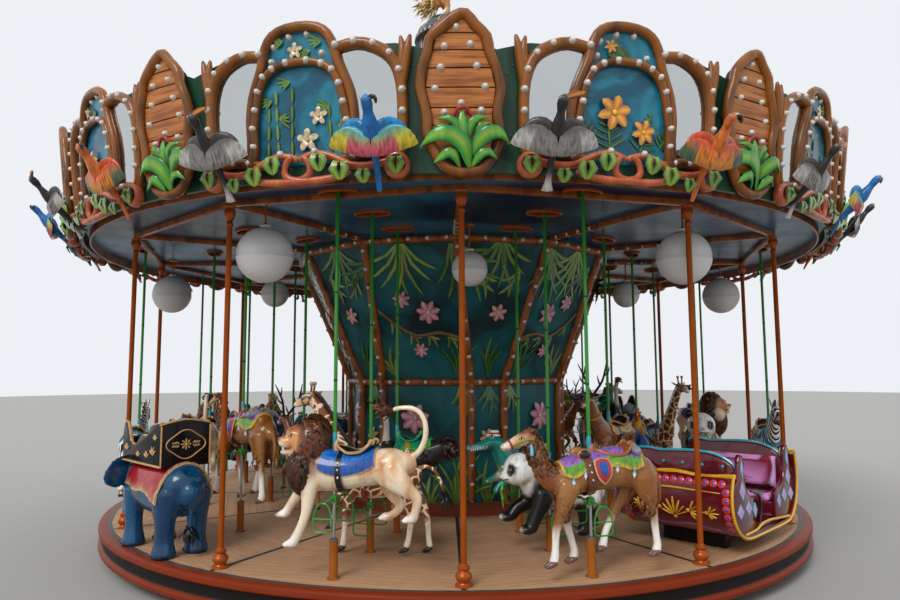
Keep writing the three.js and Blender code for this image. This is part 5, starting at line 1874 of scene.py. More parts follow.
@dataclass
class Roof:
    """The canvas roof with its ribs, and the dome on top."""

    outer: float = 5.045
    inner: float = 0.545
    eave: float = 3.9
    top: float = ROOF_TOP
    thick: float = 0.03
    foot: float = 3.3785

    def canvas(self) -> Piece:
        """Spans the canvas between 24 ribs, slightly sagging."""
        def surface(u: Points, v: Points) -> Points:
            """Spreads the cone with its sag."""
            turn = u * 2 * math.pi
            wave = (turn * 24 / (2 * math.pi)) % 1
            reach = self.inner + (self.outer - self.inner) * v
            flat = math.cos(math.pi / 24) / np.cos((wave - 0.5) * math.pi / 12)
            sag = 0.035 * np.sin(math.pi * v) * np.sin(math.pi * wave)
            return np.stack((
                reach * flat * np.sin(turn), -reach * flat * np.cos(turn),
                DECK_TOP + self.top + (self.eave - self.top) * v - sag), 1)
        cone = weld(shaped("roof_canvas", 96, 7, surface), closed=False)
        outwards(cone)
        modify(cone, "SOLIDIFY", thickness=self.thick, offset=-1)
        return paint(smooth(cone, 30), Paints.canvas)

    def ribs(self) -> Piece:
        """Lays a seam bar over each fold, with the eave ring and the wall below it."""
        drop = self.top - self.eave
        run = self.outer - self.inner
        bar = block("rib", (-0.02, -self.outer + 0.05, -0.004), (0.02, -self.inner, 0.014), 0.005)
        points = coordinates(bar)
        share = (-points[:, 1] - self.inner) / run
        points[:, 2] += DECK_TOP + self.top - drop * share
        reshape(bar, points)
        ribs = stamped("ribs", bar, [around(a) for a in every(15)])
        r, low, high = self.outer - 0.045, DECK_TOP + self.foot, DECK_TOP + self.eave
        wall = turned("wall", [
            (r - 0.02, low + 0.002), (r, low + 0.002), (r, high - 0.01), (r - 0.02, high - 0.01),
            (r - 0.02, low + 0.002)], 96)
        return paint(smooth(joined("roof_ribs", [ribs, wall]), 30), Paints.beam)

    def dome(self) -> Piece:
        """Turns the dome with its drum."""
        base = DECK_TOP + self.top + 0.001
        profile = [
            (0, 0.002), (0.62, 0.002), (0.62, 0.05), (0.61, 0.07), (0.53, 0.09), (0.52, 0.11), (0.52, 0.5),
            (0.53, 0.515), (0.575, 0.528), (0.6, 0.54), (0.6, 0.595), (0.59, 0.604), (0.572, 0.65),
            (0.53, 0.72), (0.47, 0.777), (0.4, 0.822), (0.325, 0.856), (0.25, 0.878), (0.2, 0.879),
            (0, 0.879)]
        dome = turned("cupola_dome", [(r, base + z) for r, z in profile], 64)
        return paint(smooth(dome, 32), Paints.dome)

    def trims(self) -> Piece:
        """Stripes the edge of the dome and frames its drum."""
        base = DECK_TOP + self.top + 0.001
        tile = block("tile", (-0.024, -0.6035, base + 0.545), (0.024, -0.595, base + 0.59), 0.002)
        tiles = stamped("tiles", tile, [around(a) for a in every(9)])
        post = block("post", (-0.02, -0.532, base + 0.105), (0.02, -0.515, base + 0.5), 0.004)
        posts = stamped("posts", post, [around(a) for a in every(22.5)])
        strap = swept("strap", [
            (0, -0.572, base + 0.655, 0.014, 0.006),
            (0, -0.53, base + 0.725, 0.014, 0.006), (0, -0.4, base + 0.826, 0.013, 0.006),
            (0, -0.25, base + 0.88, 0.012, 0.006)], 6, 2, 1, across=(1, 0, 0))
        straps = stamped("straps", strap, [around(a) for a in every(22.5)])
        return paint(smooth(joined("cupola_trim", [tiles, posts, straps])), Paints.silver)

    def build(self) -> None:
        """Builds the roof."""
        settle(self.canvas(), "ride", "roof_tan", "roof")
        settle(self.ribs(), "ride", "frame_brown")
        settle(self.dome(), "ride", "dome_dark", "cupola")
        settle(self.trims(), "ride", "rod_silver")


# Riding figures: x ahead, y outwards, z over the deck, with the rod on the origin

def mounted(azimuth: float, reach: float, z: float = DECK_TOP) -> Move:
    """Returns the move of a figure from its own frame to its place on the ride."""
    move = around(azimuth, reach, z)
    return lambda points: move(points * (-1, -1, 1))


class Hides:
    """The finishes of the figures."""

    hide = Finish(
        "painted_hide", "ffffff", "c99a6c", Pattern.BRUSHED, 5.0, 0.3, 0.7, 0.26, coat=0.5, relief=0.003,
        tinted=True, local=True)
    fur = Finish(
        "carved_fur", "ffffff", "7a6250", Pattern.BRUSHED, 26.0, 0.4, 0.06, 0.42, coat=0.2, relief=0.008,
        tinted=True, local=True)
    down = Finish(
        "smooth_fur", "ffffff", "c9c4bc", Pattern.BRUSHED, 18.0, 0.2, 0.1, 0.34, coat=0.3, relief=0.004,
        tinted=True, local=True)
    vinyl = Finish(
        "padded_vinyl", "ffffff", scale=40, variation=0.15, wear=0.15, roughness=0.36, coat=0.3,
        relief=0.0012, tinted=True, local=True)
    skin = Finish(
        "glossy_skin", "ffffff", "8fa3ad", Pattern.BRUSHED, 6.0, 0.35, 0.6, 0.24, coat=0.6, relief=0.003,
        tinted=True, local=True)
    patched = Finish(
        "patched_hide", "ffffff", "8a5230", Pattern.PATCHES, 8.5, 0.25, 0.5, 0.26, coat=0.5, relief=0.002,
        tinted=True, local=True)
    striped = Finish(
        "striped_hide", "ffffff", "151313", Pattern.STRIPES, 9.0, 0.15, 0.3, 0.26, coat=0.5, relief=0.0015,
        tinted=True, local=True)
    feather = Finish(
        "carved_feather", "ffffff", "4c4a48", Pattern.BRUSHED, 20.0, 0.4, 0.06, 0.34, coat=0.3, relief=0.01,
        tinted=True, local=True)
    tack = Finish(
        "painted_tack", "ffffff", scale=12, variation=0.3, wear=0.12, roughness=0.24, coat=0.5,
        relief=0.0015, tinted=True, local=True)
    cloth = Finish(
        "painted_cloth", "ffffff", "b4a8c0", Pattern.BRUSHED, 34.0, 0.3, 0.4, 0.3, coat=0.5, relief=0.003,
        tinted=True, local=True)
    metal = Finish("tack_metal", "ffffff", scale=16, metallic=0.9, roughness=0.25, tinted=True, local=True)


def tack(colour: str, *shape: object, **settings: object) -> Piece:
    """Sweeps a bar and gives it painted tack; the shape is what swept takes."""
    return toned(swept(*shape, **settings), colour, Hides.tack)


def bead(colour: str, *shape: object) -> Piece:
    """Makes a lump of painted tack; the shape is what ball takes."""
    return toned(ball(*shape), colour, Hides.tack)


class Brush:
    """Paints soft regions on the points of a piece."""

    def __init__(self, piece: Piece, base: str) -> None:
        """Starts with one colour all over and the full pattern."""
        self.piece = piece
        self.points = coordinates(piece)
        self.layer = np.tile(linear(base), (len(self.points), 1))

    def over(self, share: Points, colour: str) -> "Brush":
        """Blends a colour in by a share for each point."""
        share = np.clip(share, 0, 1)[:, None]
        self.layer[:, :3] = self.layer[:, :3] * (1 - share) + np.array(linear(colour)[:3]) * share
        return self

    def spot(self, centre: Row, radii: Row, colour: str, soft: float = 0.3) -> "Brush":
        """Paints a soft ellipsoid."""
        return self.over(self.near(centre, radii, soft), colour)

    def near(self, centre: Row, radii: Row, soft: float = 0.3) -> Points:
        """Returns how far each point is inside an ellipsoid, from 0 to 1."""
        return (1 + soft / 2 - np.linalg.norm((self.points - centre) / np.array(radii), axis=1)) / soft

    def below(self, height: float, colour: str, soft: float = 0.06) -> "Brush":
        """Paints all that is under a height."""
        return self.over((height + soft / 2 - self.points[:, 2]) / soft, colour)

    def fade(self, share: Points) -> "Brush":
        """Takes the pattern away by a share for each point."""
        self.layer[:, 3] *= 1 - np.clip(share, 0, 1)
        return self

    def done(self) -> Piece:
        """Writes the paint on the piece."""
        return tint(self.piece, self.layer)


@dataclass(frozen=True)
class Spine:
    """The run of a body, in rings of x, z, half width and half height, from the rump on."""

    rings: Sequence[Row]
    fine: int = 8

    @cached_property
    def table(self) -> Points:
        """The rings along the smooth run."""
        return smoothed(self.rings, self.fine)

    def at(self, t: float) -> tuple[Points, Points, float, float]:
        """Returns the centre, the upward direction and the half sizes at ring t."""
        i = min(max(t * self.fine, 0.0), len(self.table) - 1.001)
        low = int(i)
        x, z, wide, high = self.table[low] * (1 - i + low) + self.table[low + 1] * (i - low)
        run = self.table[low + 1, :2] - self.table[low, :2]
        run /= np.linalg.norm(run)
        return np.array((x, 0.0, z)), np.array((-run[1], 0.0, run[0])), wide, high

    def on(self, t: float, angle: float, lift: float = 0.0) -> tuple[float, float, float]:
        """Returns the skin point at ring t, its angle counted in degrees from the top outwards."""
        centre, top, wide, high = self.at(t)
        turn = math.radians(angle)
        point = centre + top * (high + lift) * math.cos(turn)
        return float(point[0]), (wide + lift) * math.sin(turn), float(point[2])

    def flesh(self) -> Piece:
        """Sweeps the body."""
        return swept("spine", [(x, 0.0, z, w, h) for x, z, w, h in self.rings], 16, 4, 4)


def limb(side: float, apart: float, rows: Sequence[Row]) -> Piece:
    """Sweeps a leg or neck from rows of x, z, half width and half depth, at one side of the body."""
    return swept("limb", [
        (x, side * (apart + (row[0] if row else 0)), z, wide, deep) for x, z, wide, deep,
        *row in rows], 12, 4, 3)


def fleshed(parts: Sequence[Piece], faces: int) -> Piece:
    """Melts limbs and lumps into one skin.

    Args:
        parts: Closed parts that overlap.
        faces: About how many triangles are kept.
    Returns:
        The smooth skin.
    """
    skin = joined("skin", parts)
    skin.data.materials.clear()
    modify(skin, "REMESH", mode="VOXEL", voxel_size=SKIN_GRAIN)
    modify(skin, "SMOOTH", factor=0.5, iterations=5)
    modify(skin, "DECIMATE", ratio=min(1.0, faces / (2 * len(skin.data.polygons))))
    return skin


def locks(
        name: str, centre: Row, radii: Row, count: int, size: float, fall: Row, colours: tuple[str, str],
        keep: Callable[[Points], bool] = lambda way: True, width: float = 0.02, seed: int = 1,
        hug: bool = True) -> Piece:
    """Covers a lump with carved locks of hair or feathers.

    Args:
        name: Name of the piece.
        centre: Middle of the lump.
        radii: Its three radii.
        count: Locks on the whole lump, before any are left out.
        size: Length of a lock.
        fall: Direction in which the locks fall.
        colours: Paint of the roots and of the tips.
        keep: Says for a direction from the middle whether a lock grows there.
        width: Half width of a lock.
        seed: Start of the draw.
        hug: Whether the locks lie on the lump.
    Returns:
        The joined locks.
    """
    rng = np.random.default_rng(seed)
    shares = (0.0, 0.35, 0.7, 1.0)
    runs = []
    for i in range(count):
        high = 1 - 2 * (i + 0.5) / count
        turn = i * math.pi * (3 - math.sqrt(5))
        flat = math.sqrt(1 - high * high)
        way = np.array((flat * math.cos(turn), flat * math.sin(turn), high))
        if not keep(way):
            continue
        root = np.array(centre) + way * radii
        fallen = np.array(fall) + (0.0 if hug else 0.4) * way + rng.uniform(-0.3, 0.3, 3)
        if hug:
            fallen -= 0.9 * (fallen @ way) * way
        fallen /= max(np.linalg.norm(fallen), 1e-6)
        reach = size * rng.uniform(0.75, 1.2)
        side = np.cross(fallen, way)
        bow = side * rng.choice((-0.16, 0.16)) * reach
        path = []
        for t, lift, wave in zip(shares, (-0.008, 0.012, 0.013, 0.004), (0, 0.9, -0.5, 0.3)):
            point = root + fallen * reach * t + bow * wave
            if hug:
                spread = (point - centre) / radii
                point = np.array(centre) + spread / np.linalg.norm(spread) * radii
            path.append(point + way * lift)
        runs.append((np.array(path), side / max(np.linalg.norm(side), 1e-6), way, rng.uniform(0.8, 1.5)))
    strand = swept("strand", [
        (t, 0.0, 0.0, wide, wide * 0.62) for t, wide in zip(shares, (0.85, 1.1, 0.8, 0.12))], 4, 1, 1)
    unit = coordinates(strand)
    modify(
        strand, "ARRAY", count=len(runs), use_relative_offset=False, use_constant_offset=True,
        constant_offset_displace=(2.0, 0.0, 0.0))
    along = np.clip(unit[:, 0], 0, 1)
    points = [np.stack([np.interp(along, shares, path[:, k]) for k in range(3)], 1) + (
        np.outer(unit[:, 1], side) + np.outer(unit[:, 2], way)) * width for path, side, way, _ in runs]
    reshape(strand, np.vstack(points))
    root_paint, tip_paint = (np.array(linear(code)[:3]) for code in colours)
    blend = np.concatenate([np.clip((along - 0.25) * warmth, 0, 1) for *_, warmth in runs])[:, None]
    tint(strand, root_paint * (1 - blend) + tip_paint * blend)
    return finished(named(strand, name), Hides.fur, 80)


@dataclass(frozen=True)
class Saddle:
    """Saddle, cloth and girth, laid on a spine."""

    start: float
    end: float
    drop: float
    cloth: tuple[str, str, str]
    seat: str = "2a1a14"
    rim: str = "b98a5a"
    waves: int = 2
    depth: float = 12.0
    strap: str = "1c1a1a"
    strap_at: float = 0.3
    seat_long: float = 0.3
    seat_wide: float = 0.115
    tassels: str = ""
    grid: int = 22
    hem: float = 0.05

    def limit(self, share: Points) -> Points:
        """Returns how far down the cloth hangs, in degrees, along its length."""
        scallop = np.abs(np.sin(share * math.pi * self.waves))
        return self.drop + self.depth * (scallop - 0.5) * 2

    def cover(self, spine: Spine, skin: Piece) -> Piece:
        """Lays the cloth on the skin with its border."""
        def surface(u: Points, v: Points) -> Points:
            """Hangs the cloth round the body."""
            limits = self.limit(u)
            return np.array([
                spine.on(self.start + (self.end - self.start) * a, (2 * b - 1) * c, 0.03) for a, b,
                c in zip(u, v, limits)])
        cloth = shaped("cloth", self.grid, self.grid, surface)
        row, column = np.divmod(np.arange((self.grid + 1) ** 2), self.grid + 1)
        u, v = column / self.grid, row / self.grid
        modify(
            cloth, "SHRINKWRAP", target=skin, wrap_method="NEAREST_SURFACEPOINT", wrap_mode="ABOVE_SURFACE",
            offset=0.01)
        edge = np.minimum(np.minimum(u, 1 - u) * 1.1, np.minimum(v, 1 - v))
        main, second, border = self.cloth
        brush = Brush(cloth, main)
        brush.over((np.abs(2 * v - 1) - 0.58) * 30, second)
        brush.over((0.025 - np.abs(np.abs(2 * v - 1) - 0.58)) * 90, border)
        brush.over((self.hem - edge) * 60, border)
        brush.done()
        points = coordinates(cloth).reshape(self.grid + 1, self.grid + 1, 3)
        modify(cloth, "SOLIDIFY", thickness=0.012, offset=1)
        loop = np.vstack((points[0, :-1:2], points[:-1:2, -1], points[-1, :0:-2], points[:0:-2, 0]))
        cord = swept("cord", [(*p, 0.009, 0.009) for p in loop], 5, 1, closed=True, across=(0, 0, 1))
        pieces = [finished(cloth, Hides.cloth, 40), toned(cord, border, Hides.tack)]
        if self.tassels:
            low = [points[edge_row, i] for edge_row in (0, -1) for i in range(3, self.grid - 2, 4)]
            for p in low:
                drop = swept("tassel", [
                    (*p, 0.006), (p[0], p[1] * 1.02, p[2] - 0.018, 0.014),
                    (p[0], p[1] * 1.02, p[2] - 0.045, 0.017), (p[0], p[1], p[2] - 0.078, 0.003)], 6, 1, 1)
                share = np.clip((p[2] - 0.02 - coordinates(drop)[:, 2:]) / 0.02, 0, 1)
                tint(
                    drop, np.array(linear(self.tassels)[:3]) * (1 - share)
                    + np.array(linear("e8eef2")[:3]) * share)
                pieces.append(finished(drop, Hides.tack, 60))
        return joined("cover", pieces)

    def chair(self, height: float) -> Piece:
        """Models the dished seat with its rim, pommel and cantle scrolls."""
        long, wide = self.seat_long, self.seat_wide
        front = -0.045
        rows = [
            (front, 0, height + 0.035, wide * 0.35, 0.02),
            (front - 0.06 * long / 0.3, 0, height + 0.012, wide * 0.75, 0.03),
            (front - 0.4 * long, 0, height - 0.01, wide, 0.032),
            (front - 0.75 * long, 0, height + 0.004, wide * 1.02, 0.034),
            (front - 0.95 * long, 0, height + 0.055, wide * 0.85, 0.03),
            (front - long, 0, height + 0.085, wide * 0.6, 0.02)]
        seat = tack(self.seat, "seat", rows, 14, 2, 2)
        table = smoothed(rows, 3)
        right = [(x, w * 0.98, z + 0.008, 0.014, 0.014) for x, _, z, w, _ in table]
        left = [(x, -w * 0.98, z + 0.008, 0.014, 0.014) for x, _, z, w, _ in table[::-1]]
        rim = tack(self.rim, "rim", right + left, 6, 1, closed=True, across=(0, 0, 1))
        knob = tack(self.rim, "pommel", [
            (front + 0.01, 0, height - 0.02, 0.045, 0.03), (front + 0.03, 0, height + 0.05, 0.034, 0.026),
            (front + 0.02, 0, height + 0.085, 0.02, 0.018)], 10, 3)
        scrolls = []
        for way in BOTH:
            turns = [(
                front - long - 0.01 + 0.03 * (1 - t / 9) * math.cos(t * 0.9), way * wide * 0.5, height
                + 0.085 + 0.03 * (1 - t / 9) * math.sin(t * 0.9), 0.013 * (1 - t / 14)) for t in range(9)]
            scrolls.append(tack(self.rim, "scroll", turns, 6, 1, 1))
        return joined("chair", [seat, rim, knob, *scrolls])

    def girth(self, spine: Spine, skin: Piece) -> Piece:
        """Wraps the girth strap with its studs."""
        t = self.start + (self.end - self.start) * self.strap_at
        span = (self.end - self.start) * 0.05

        def surface(u: Points, v: Points) -> Points:
            """Runs the strap round the body."""
            return np.array([spine.on(t + (2 * b - 1) * span, 360 * a, 0.045) for a, b in zip(u, v)])
        strap = weld(shaped("strap", 30, 2, surface), closed=False)
        modify(
            strap, "SHRINKWRAP", target=skin, wrap_method="NEAREST_SURFACEPOINT", wrap_mode="ABOVE_SURFACE",
            offset=0.021)
        modify(strap, "SOLIDIFY", thickness=0.01, offset=0)
        toned(strap, self.strap, Hides.tack)
        studs = []
        for angle in (-100, -80, -62, 62, 80, 100):
            place = spine.on(t, angle, 0.028)
            studs.append(toned(ball("stud", place, (0.011, 0.006, 0.011), 6, 4), "d5d8da", Hides.metal))
        return joined("girth", [strap, *studs])


class Figure:
    """A riding figure, which each species fills in."""

    name = "figure"
    slot = "lion_cream"
    seat = 1.0
    step = 0.5
    foot = 0.02
    apart = 0.1
    finish = Hides.hide
    base = "ffffff"
    faces = 4400
    spine = Spine(((0, 0, 0.1, 0.1), (1, 0, 0.1, 0.1)))
    legs: Sequence[tuple[int, Sequence[Row]]] = ()
    tail: Sequence[Row] = ()
    saddle = Saddle(1.0, 3.0, 80.0, ("1d5fa8", "1b4f93", "c59a68"))

    def lumps(self) -> list[Piece]:
        """Returns more parts of the flesh."""
        return []

    def colour(self, brush: Brush) -> None:
        """Paints the skin."""

    def details(self) -> list[Piece]:
        """Returns eyes, ears, hooves, hair and bridle."""
        return []

    def skin(self) -> Piece:
        """Melts the body."""
        parts = [self.spine.flesh(), *(
            limb(side, self.apart, rows) for side, rows in self.legs), *self.lumps()]
        if self.tail:
            parts.append(swept("tail", [(x, 0.0, z, r, r) for x, z, r in self.tail], 10, 4))
        skin = fleshed(parts, self.faces)
        brush = Brush(skin, self.base)
        self.colour(brush)
        brush.done()
        return finished(skin, self.finish, 80)

    @staticmethod
    def pair(build: Callable[[int], list[Piece]]) -> list[Piece]:
        """Builds details for both sides."""
        return [piece for side in BOTH for piece in build(side)]

    @staticmethod
    def eye(place: Row, size: float = 0.017, iris: str = "2a1a10") -> list[Piece]:
        """Sets a glossy eye with its lid."""
        x, y, z = place
        way = 1 if y > 0 else -1
        white = bead("e8e2d8", "white", place, (size * 1.25, size * 0.7, size), 8, 6)
        pupil = bead(
            iris, "iris", (x + size * 0.25, y + way * size * 0.36, z),
            (size * 0.62, size * 0.5, size * 0.68), 8, 6)
        lid = tack("2a1c14", "lid", [
            (x + size * 1.4, y, z - size * 0.2, size * 0.3),
            (x, y + way * size * 0.45, z + size * 0.95, size * 0.4),
            (x - size * 1.4, y, z, size * 0.3)], 6, 1, 1)
        return [white, pupil, lid]

    @staticmethod
    def ear(root: Row, tip: Row, wide: float, outer: str, inner: str) -> list[Piece]:
        """Shapes an ear as a cupped leaf with its lining."""
        middle = [(a + b) / 2 for a, b in zip(root, tip)]
        shell = toned(
            swept("ear", [
                (*root, wide * 0.5, wide * 0.3), (*middle, wide, wide * 0.35),
                (*tip, wide * 0.2, wide * 0.12)], 8, 3, across=(1, 0, 0.2)), outer, Hides.hide)
        way = 1 if tip[1] > 0 else -1
        lining = [(x + 0.004, y + way * wide * 0.22, z) for x, y, z in (root, middle, tip)]
        cup = toned(
            swept("lining", [
                (*lining[0], wide * 0.3, wide * 0.16), (*lining[1], wide * 0.62, wide * 0.2),
                (*lining[2], wide * 0.08, wide * 0.06)], 8, 3, across=(1, 0, 0.2)), inner, Hides.hide)
        return [shell, cup]

    def ankles(self, radii: Row, places: Sequence[Row]) -> list[Piece]:
        """Thickens the legs at places of side, x and z."""
        return [ball("ankle", (x, side * self.apart, z), radii, 10, 8) for side, x, z in places]

    def hooves(self, places: Sequence[Row], colour: str = "1c1a19", size: float = 0.045) -> list[Piece]:
        """Sets a hoof at each place of side, x and z."""
        return [self.hoof((x, side * self.apart, z), colour, size) for side, x, z in places]

    @staticmethod
    def hoof(place: Row, colour: str = "1c1a19", size: float = 0.045) -> Piece:
        """Models a cloven hoof."""
        x, y, z = place
        toes = [tack(colour, "toe", [
            (x - size * 0.6, y + way * size * 0.42, z + size * 0.7, size * 0.5, size * 0.6),
            (x + size * 0.2, y + way * size * 0.45, z + size * 0.3, size * 0.5, size * 0.55), (
                x + size * 1.1, y + way * size * 0.34, z - size * 0.1, size * 0.32,
                size * 0.26)], 8, 1, 1) for way in BOTH]
        return joined("hoof", toes)

    def strap(self, steps: Sequence[Row], colour: str, radius: float = 0.009) -> Piece:
        """Lays a strap over the head or chest along rings and angles of the spine."""
        rows = [(*self.spine.on(t, angle, radius * 0.4), radius * 1.6, radius * 0.7) for t, angle in steps]
        return tack(colour, "strap", rows, 6, 2, 1, across=(0.3, 0.1, 0.95))

    def hoop(self, t: float, colour: str, radius: float = 0.009) -> Piece:
        """Lays a closed strap round ring t."""
        rows = [(*self.spine.on(t, angle, radius * 0.5), radius, radius) for angle in range(0, 360, 30)]
        return tack(colour, "hoop", rows, 6, 1, closed=True, across=(0, 0.2, 1))

    def fittings(self) -> Piece:
        """Models the rising pole with its rod, sockets and stirrups."""
        seat, step = self.seat, self.step
        top = ROD_TOP
        pole = turned("pole", [
            (0, seat - 0.09), (0.017, seat - 0.09), (0.017, top - 0.004), (0.014, top), (0, top)], 12)
        pieces = [paint(pole, Paints.green)]
        bands = [turned(
            "band",
            [(0.0165, z), (0.0185, z + 0.002), (0.0185, z + 0.016), (0.0165, z + 0.018), (0.0165, z)],
            12) for z in (seat + 0.62, seat + 1.42)]
        pieces += [paint(band, Paints.groove) for band in bands]
        sleeve = turned("sleeve", [
            (0.0168, seat + 0.02), (0.021, seat + 0.024), (0.021, seat + 0.16), (0.0168, seat + 0.165),
            (0.0168, seat + 0.02)], 12)
        pieces.append(paint(sleeve, Paints.teal))
        rod = turned("rod", [
            (0, self.foot), (0.0125, self.foot), (0.014, self.foot + 0.004), (0.014, seat - 0.04),
            (0, seat - 0.04)], 12)
        pieces.append(paint(rod, Paints.chrome))
        z = step + SOCKET_RISE
        socket = block("socket", (-0.03, -0.03, z - 0.03), (0.03, 0.03, z + 0.035), 0.006)
        bolts = [turned(
            "bolt", [(0, 0.044), (0.006, 0.042), (0.007, 0.033)], 6, (x, 0, z)) for x in (-0.019, 0.019)]
        pieces += [paint(part, Paints.green) for part in (socket, *bolts)]
        for way in BOTH:
            arm = swept("arm", [
                (0, way * 0.02, z, 0.009), (0, way * 0.12, z + 0.002, 0.009),
                (0, way * 0.205, z - 0.004, 0.009), (0, way * 0.232, z - 0.012, 0.009)], 6, 1, 1)
            loop = [
                (0.0, 0.0), (0.04, -0.012), (0.078, -0.09), (0.085, -0.19), (0.07, -0.236), (0.0, -0.243),
                (-0.07, -0.236), (-0.085, -0.19), (-0.078, -0.09), (-0.04, -0.012)]
            ring = swept(
                "loop", [(x, way * (0.236 + 0.008 * (a / -0.243)), z + a, 0.0075) for x, a in loop], 6, 2,
                closed=True, across=(0, 1, 0))
            rung = swept("rung", [(x, way * 0.241, z - 0.13, 0.0065) for x in (-0.083, 0, 0.083)], 6, 1, 1)
            pieces += [paint(part, Paints.green) for part in (arm, ring, rung)]
        return smooth(joined(f"{self.name}_fittings", pieces), 45)

    def master(self) -> Piece:
        """Joins the finished figure in its own frame."""
        skin = self.skin()
        tack = [
            self.saddle.cover(self.spine, skin), self.saddle.chair(self.seat),
            self.saddle.girth(self.spine, skin)]
        return joined(self.name, [skin, *tack, *self.details()])


class Lion(Figure):
    """Springing lion with a shaggy mane and a long curled tail."""

    name = "lion"
    slot = "lion_cream"
    seat = 1.105
    step = 0.56
    foot = 0.26
    apart = 0.095
    base = "efdcbc"
    spine = Spine((
        (-0.7, 1.02, 0.075, 0.085), (-0.62, 1.0, 0.125, 0.135), (-0.5, 0.99, 0.152, 0.155),
        (-0.3, 0.955, 0.142, 0.148), (-0.1, 0.93, 0.148, 0.162), (0.1, 0.935, 0.165, 0.19),
        (0.23, 0.99, 0.16, 0.205), (0.33, 1.1, 0.13, 0.16)))
    legs = (
        (1, (
            (0.16, 0.9, 0.075, 0.115), (0.2, 0.79, 0.062, 0.085),
            (0.21, 0.68, 0.048, 0.062), (0.23, 0.56, 0.04, 0.046), (0.28, 0.43, 0.04, 0.043),
            (0.33, 0.34, 0.045, 0.045), (0.375, 0.3, 0.05, 0.03))), (-1, (
            (0.16, 0.9, 0.075, 0.11), (0.27, 0.79, 0.06, 0.075), (0.38, 0.71, 0.046, 0.055),
            (0.45, 0.63, 0.04, 0.044), (0.5, 0.55, 0.042, 0.042), (0.55, 0.51, 0.048, 0.03))), (1, (
            (-0.54, 0.95, 0.085, 0.14), (-0.64, 0.87, 0.075, 0.11), (-0.73, 0.795, 0.055, 0.07),
            (-0.8, 0.745, 0.04, 0.046), (-0.795, 0.67, 0.037, 0.04),
            (-0.775, 0.6, 0.042, 0.04), (-0.73, 0.56, 0.05, 0.03))), (-1, (
            (-0.52, 0.94, 0.085, 0.14), (-0.48, 0.81, 0.068, 0.09), (-0.53, 0.71, 0.045, 0.055),
            (-0.59, 0.645, 0.037, 0.042), (-0.54, 0.57, 0.038, 0.036), (-0.45, 0.53, 0.048, 0.03))))
    tail = (
        (-0.6, 1.09, 0.045), (-0.68, 1.075, 0.034), (-0.77, 1.1, 0.029), (-0.835, 1.2, 0.027),
        (-0.85, 1.33, 0.026), (-0.81, 1.44, 0.025), (-0.73, 1.49, 0.024), (-0.63, 1.495, 0.022),
        (-0.56, 1.48, 0.022))
    saddle = Saddle(
        2.35, 5.0, 88.0, ("1c6fbe", "174f9c", "c9a070"), "15100e", "c49a6a", 1, 9.0, "181614", 0.62, 0.32,
        hem=0.0)
    turn = math.radians(36)
    neck = (0.26, 0.0, 1.12)
    paws = ((1, 0.37, 0.305), (-1, 0.545, 0.515), (1, -0.735, 0.565), (-1, -0.455, 0.535))

    def aside(self, pieces: list[Piece]) -> list[Piece]:
        """Turns the head outwards on its neck."""
        matrix = (
            Matrix.Translation(self.neck) @ Matrix.Rotation(self.turn, 4, "Z")
            @ Matrix.Translation(Vector(self.neck) * -1))
        for piece in pieces:
            reshape(piece, by_matrix(matrix)(coordinates(piece)))
        return pieces

    def lumps(self) -> list[Piece]:
        """Adds the head, the mass of the mane and the toes."""
        head = self.aside([
            ball("skull", (0.33, 0, 1.22), (0.135, 0.115, 0.125)),
            ball("brow", (0.4, 0, 1.27), (0.06, 0.085, 0.04)),
            ball("muzzle", (0.455, 0, 1.185), (0.075, 0.066, 0.05)),
            ball("nose", (0.505, 0, 1.215), (0.032, 0.034, 0.026)),
            ball("chin", (0.45, 0, 1.1), (0.062, 0.05, 0.03)),
            ball("jaw", (0.37, 0, 1.11), (0.08, 0.075, 0.05))])
        mane = [ball("mane", (0.22, 0.01, 1.16), (0.155, 0.175, 0.24)), ball(
            "beard", (0.29, 0.02, 0.95), (0.115, 0.14, 0.2))]
        toes = [
            ball("toe", (x + 0.035, side * self.apart + y, z - 0.008), (0.03, 0.017, 0.024), 8, 6) for side,
            x, z in self.paws for y in (-0.04, -0.014, 0.014, 0.04)]
        toes += [ball(
            "paw", (x - 0.01, side * self.apart, z), (0.062, 0.056, 0.038)) for side, x, z in self.paws]
        return head + mane + toes

    def colour(self, brush: Brush) -> None:
        """Shades the coat, the face and the paws."""
        brush.below(0.42, "f4ead8", 0.3)
        for side, x, z in self.paws:
            brush.spot((x, side * self.apart, z), (0.11, 0.09, 0.08), "f8f4ec", 0.5)
        for t, angle, wide in ((2.0, 78, 0.05), (1.2, 95, 0.05), (5.6, 60, 0.05), (5.9, 100, 0.06)):
            for side in BOTH:
                brush.spot(self.spine.on(t, side * angle), (wide * 0.6, 0.06, wide * 2.2), "d99a62", 0.9)
        brush.spot((0.2, 0, 1.14), (0.2, 0.26, 0.34), "6b3a20", 0.25)
        brush.spot((0.3, 0, 0.9), (0.14, 0.2, 0.25), "5f331e", 0.3)
        c, s = math.cos(self.turn), math.sin(self.turn)

        def head(x: float, z: float) -> Row:
            """Returns a point in the middle plane of the turned head."""
            ahead = x - self.neck[0]
            return self.neck[0] + ahead * c, ahead * s, z
        brush.spot(head(0.42, 1.2), (0.13, 0.13, 0.14), "d9965a", 0.35)
        brush.spot(head(0.42, 1.3), (0.09, 0.1, 0.045), "a8653a", 0.6)
        brush.spot(head(0.49, 1.165), (0.06, 0.075, 0.035), "f1e4d2", 0.4)
        brush.spot(head(0.46, 1.085), (0.07, 0.06, 0.035), "efe3d3", 0.4)
        brush.spot(head(0.525, 1.222), (0.03, 0.03, 0.024), "4a2a26", 0.3)
        brush.spot(head(0.47, 1.13), (0.07, 0.05, 0.016), "7e2f2a", 0.4)

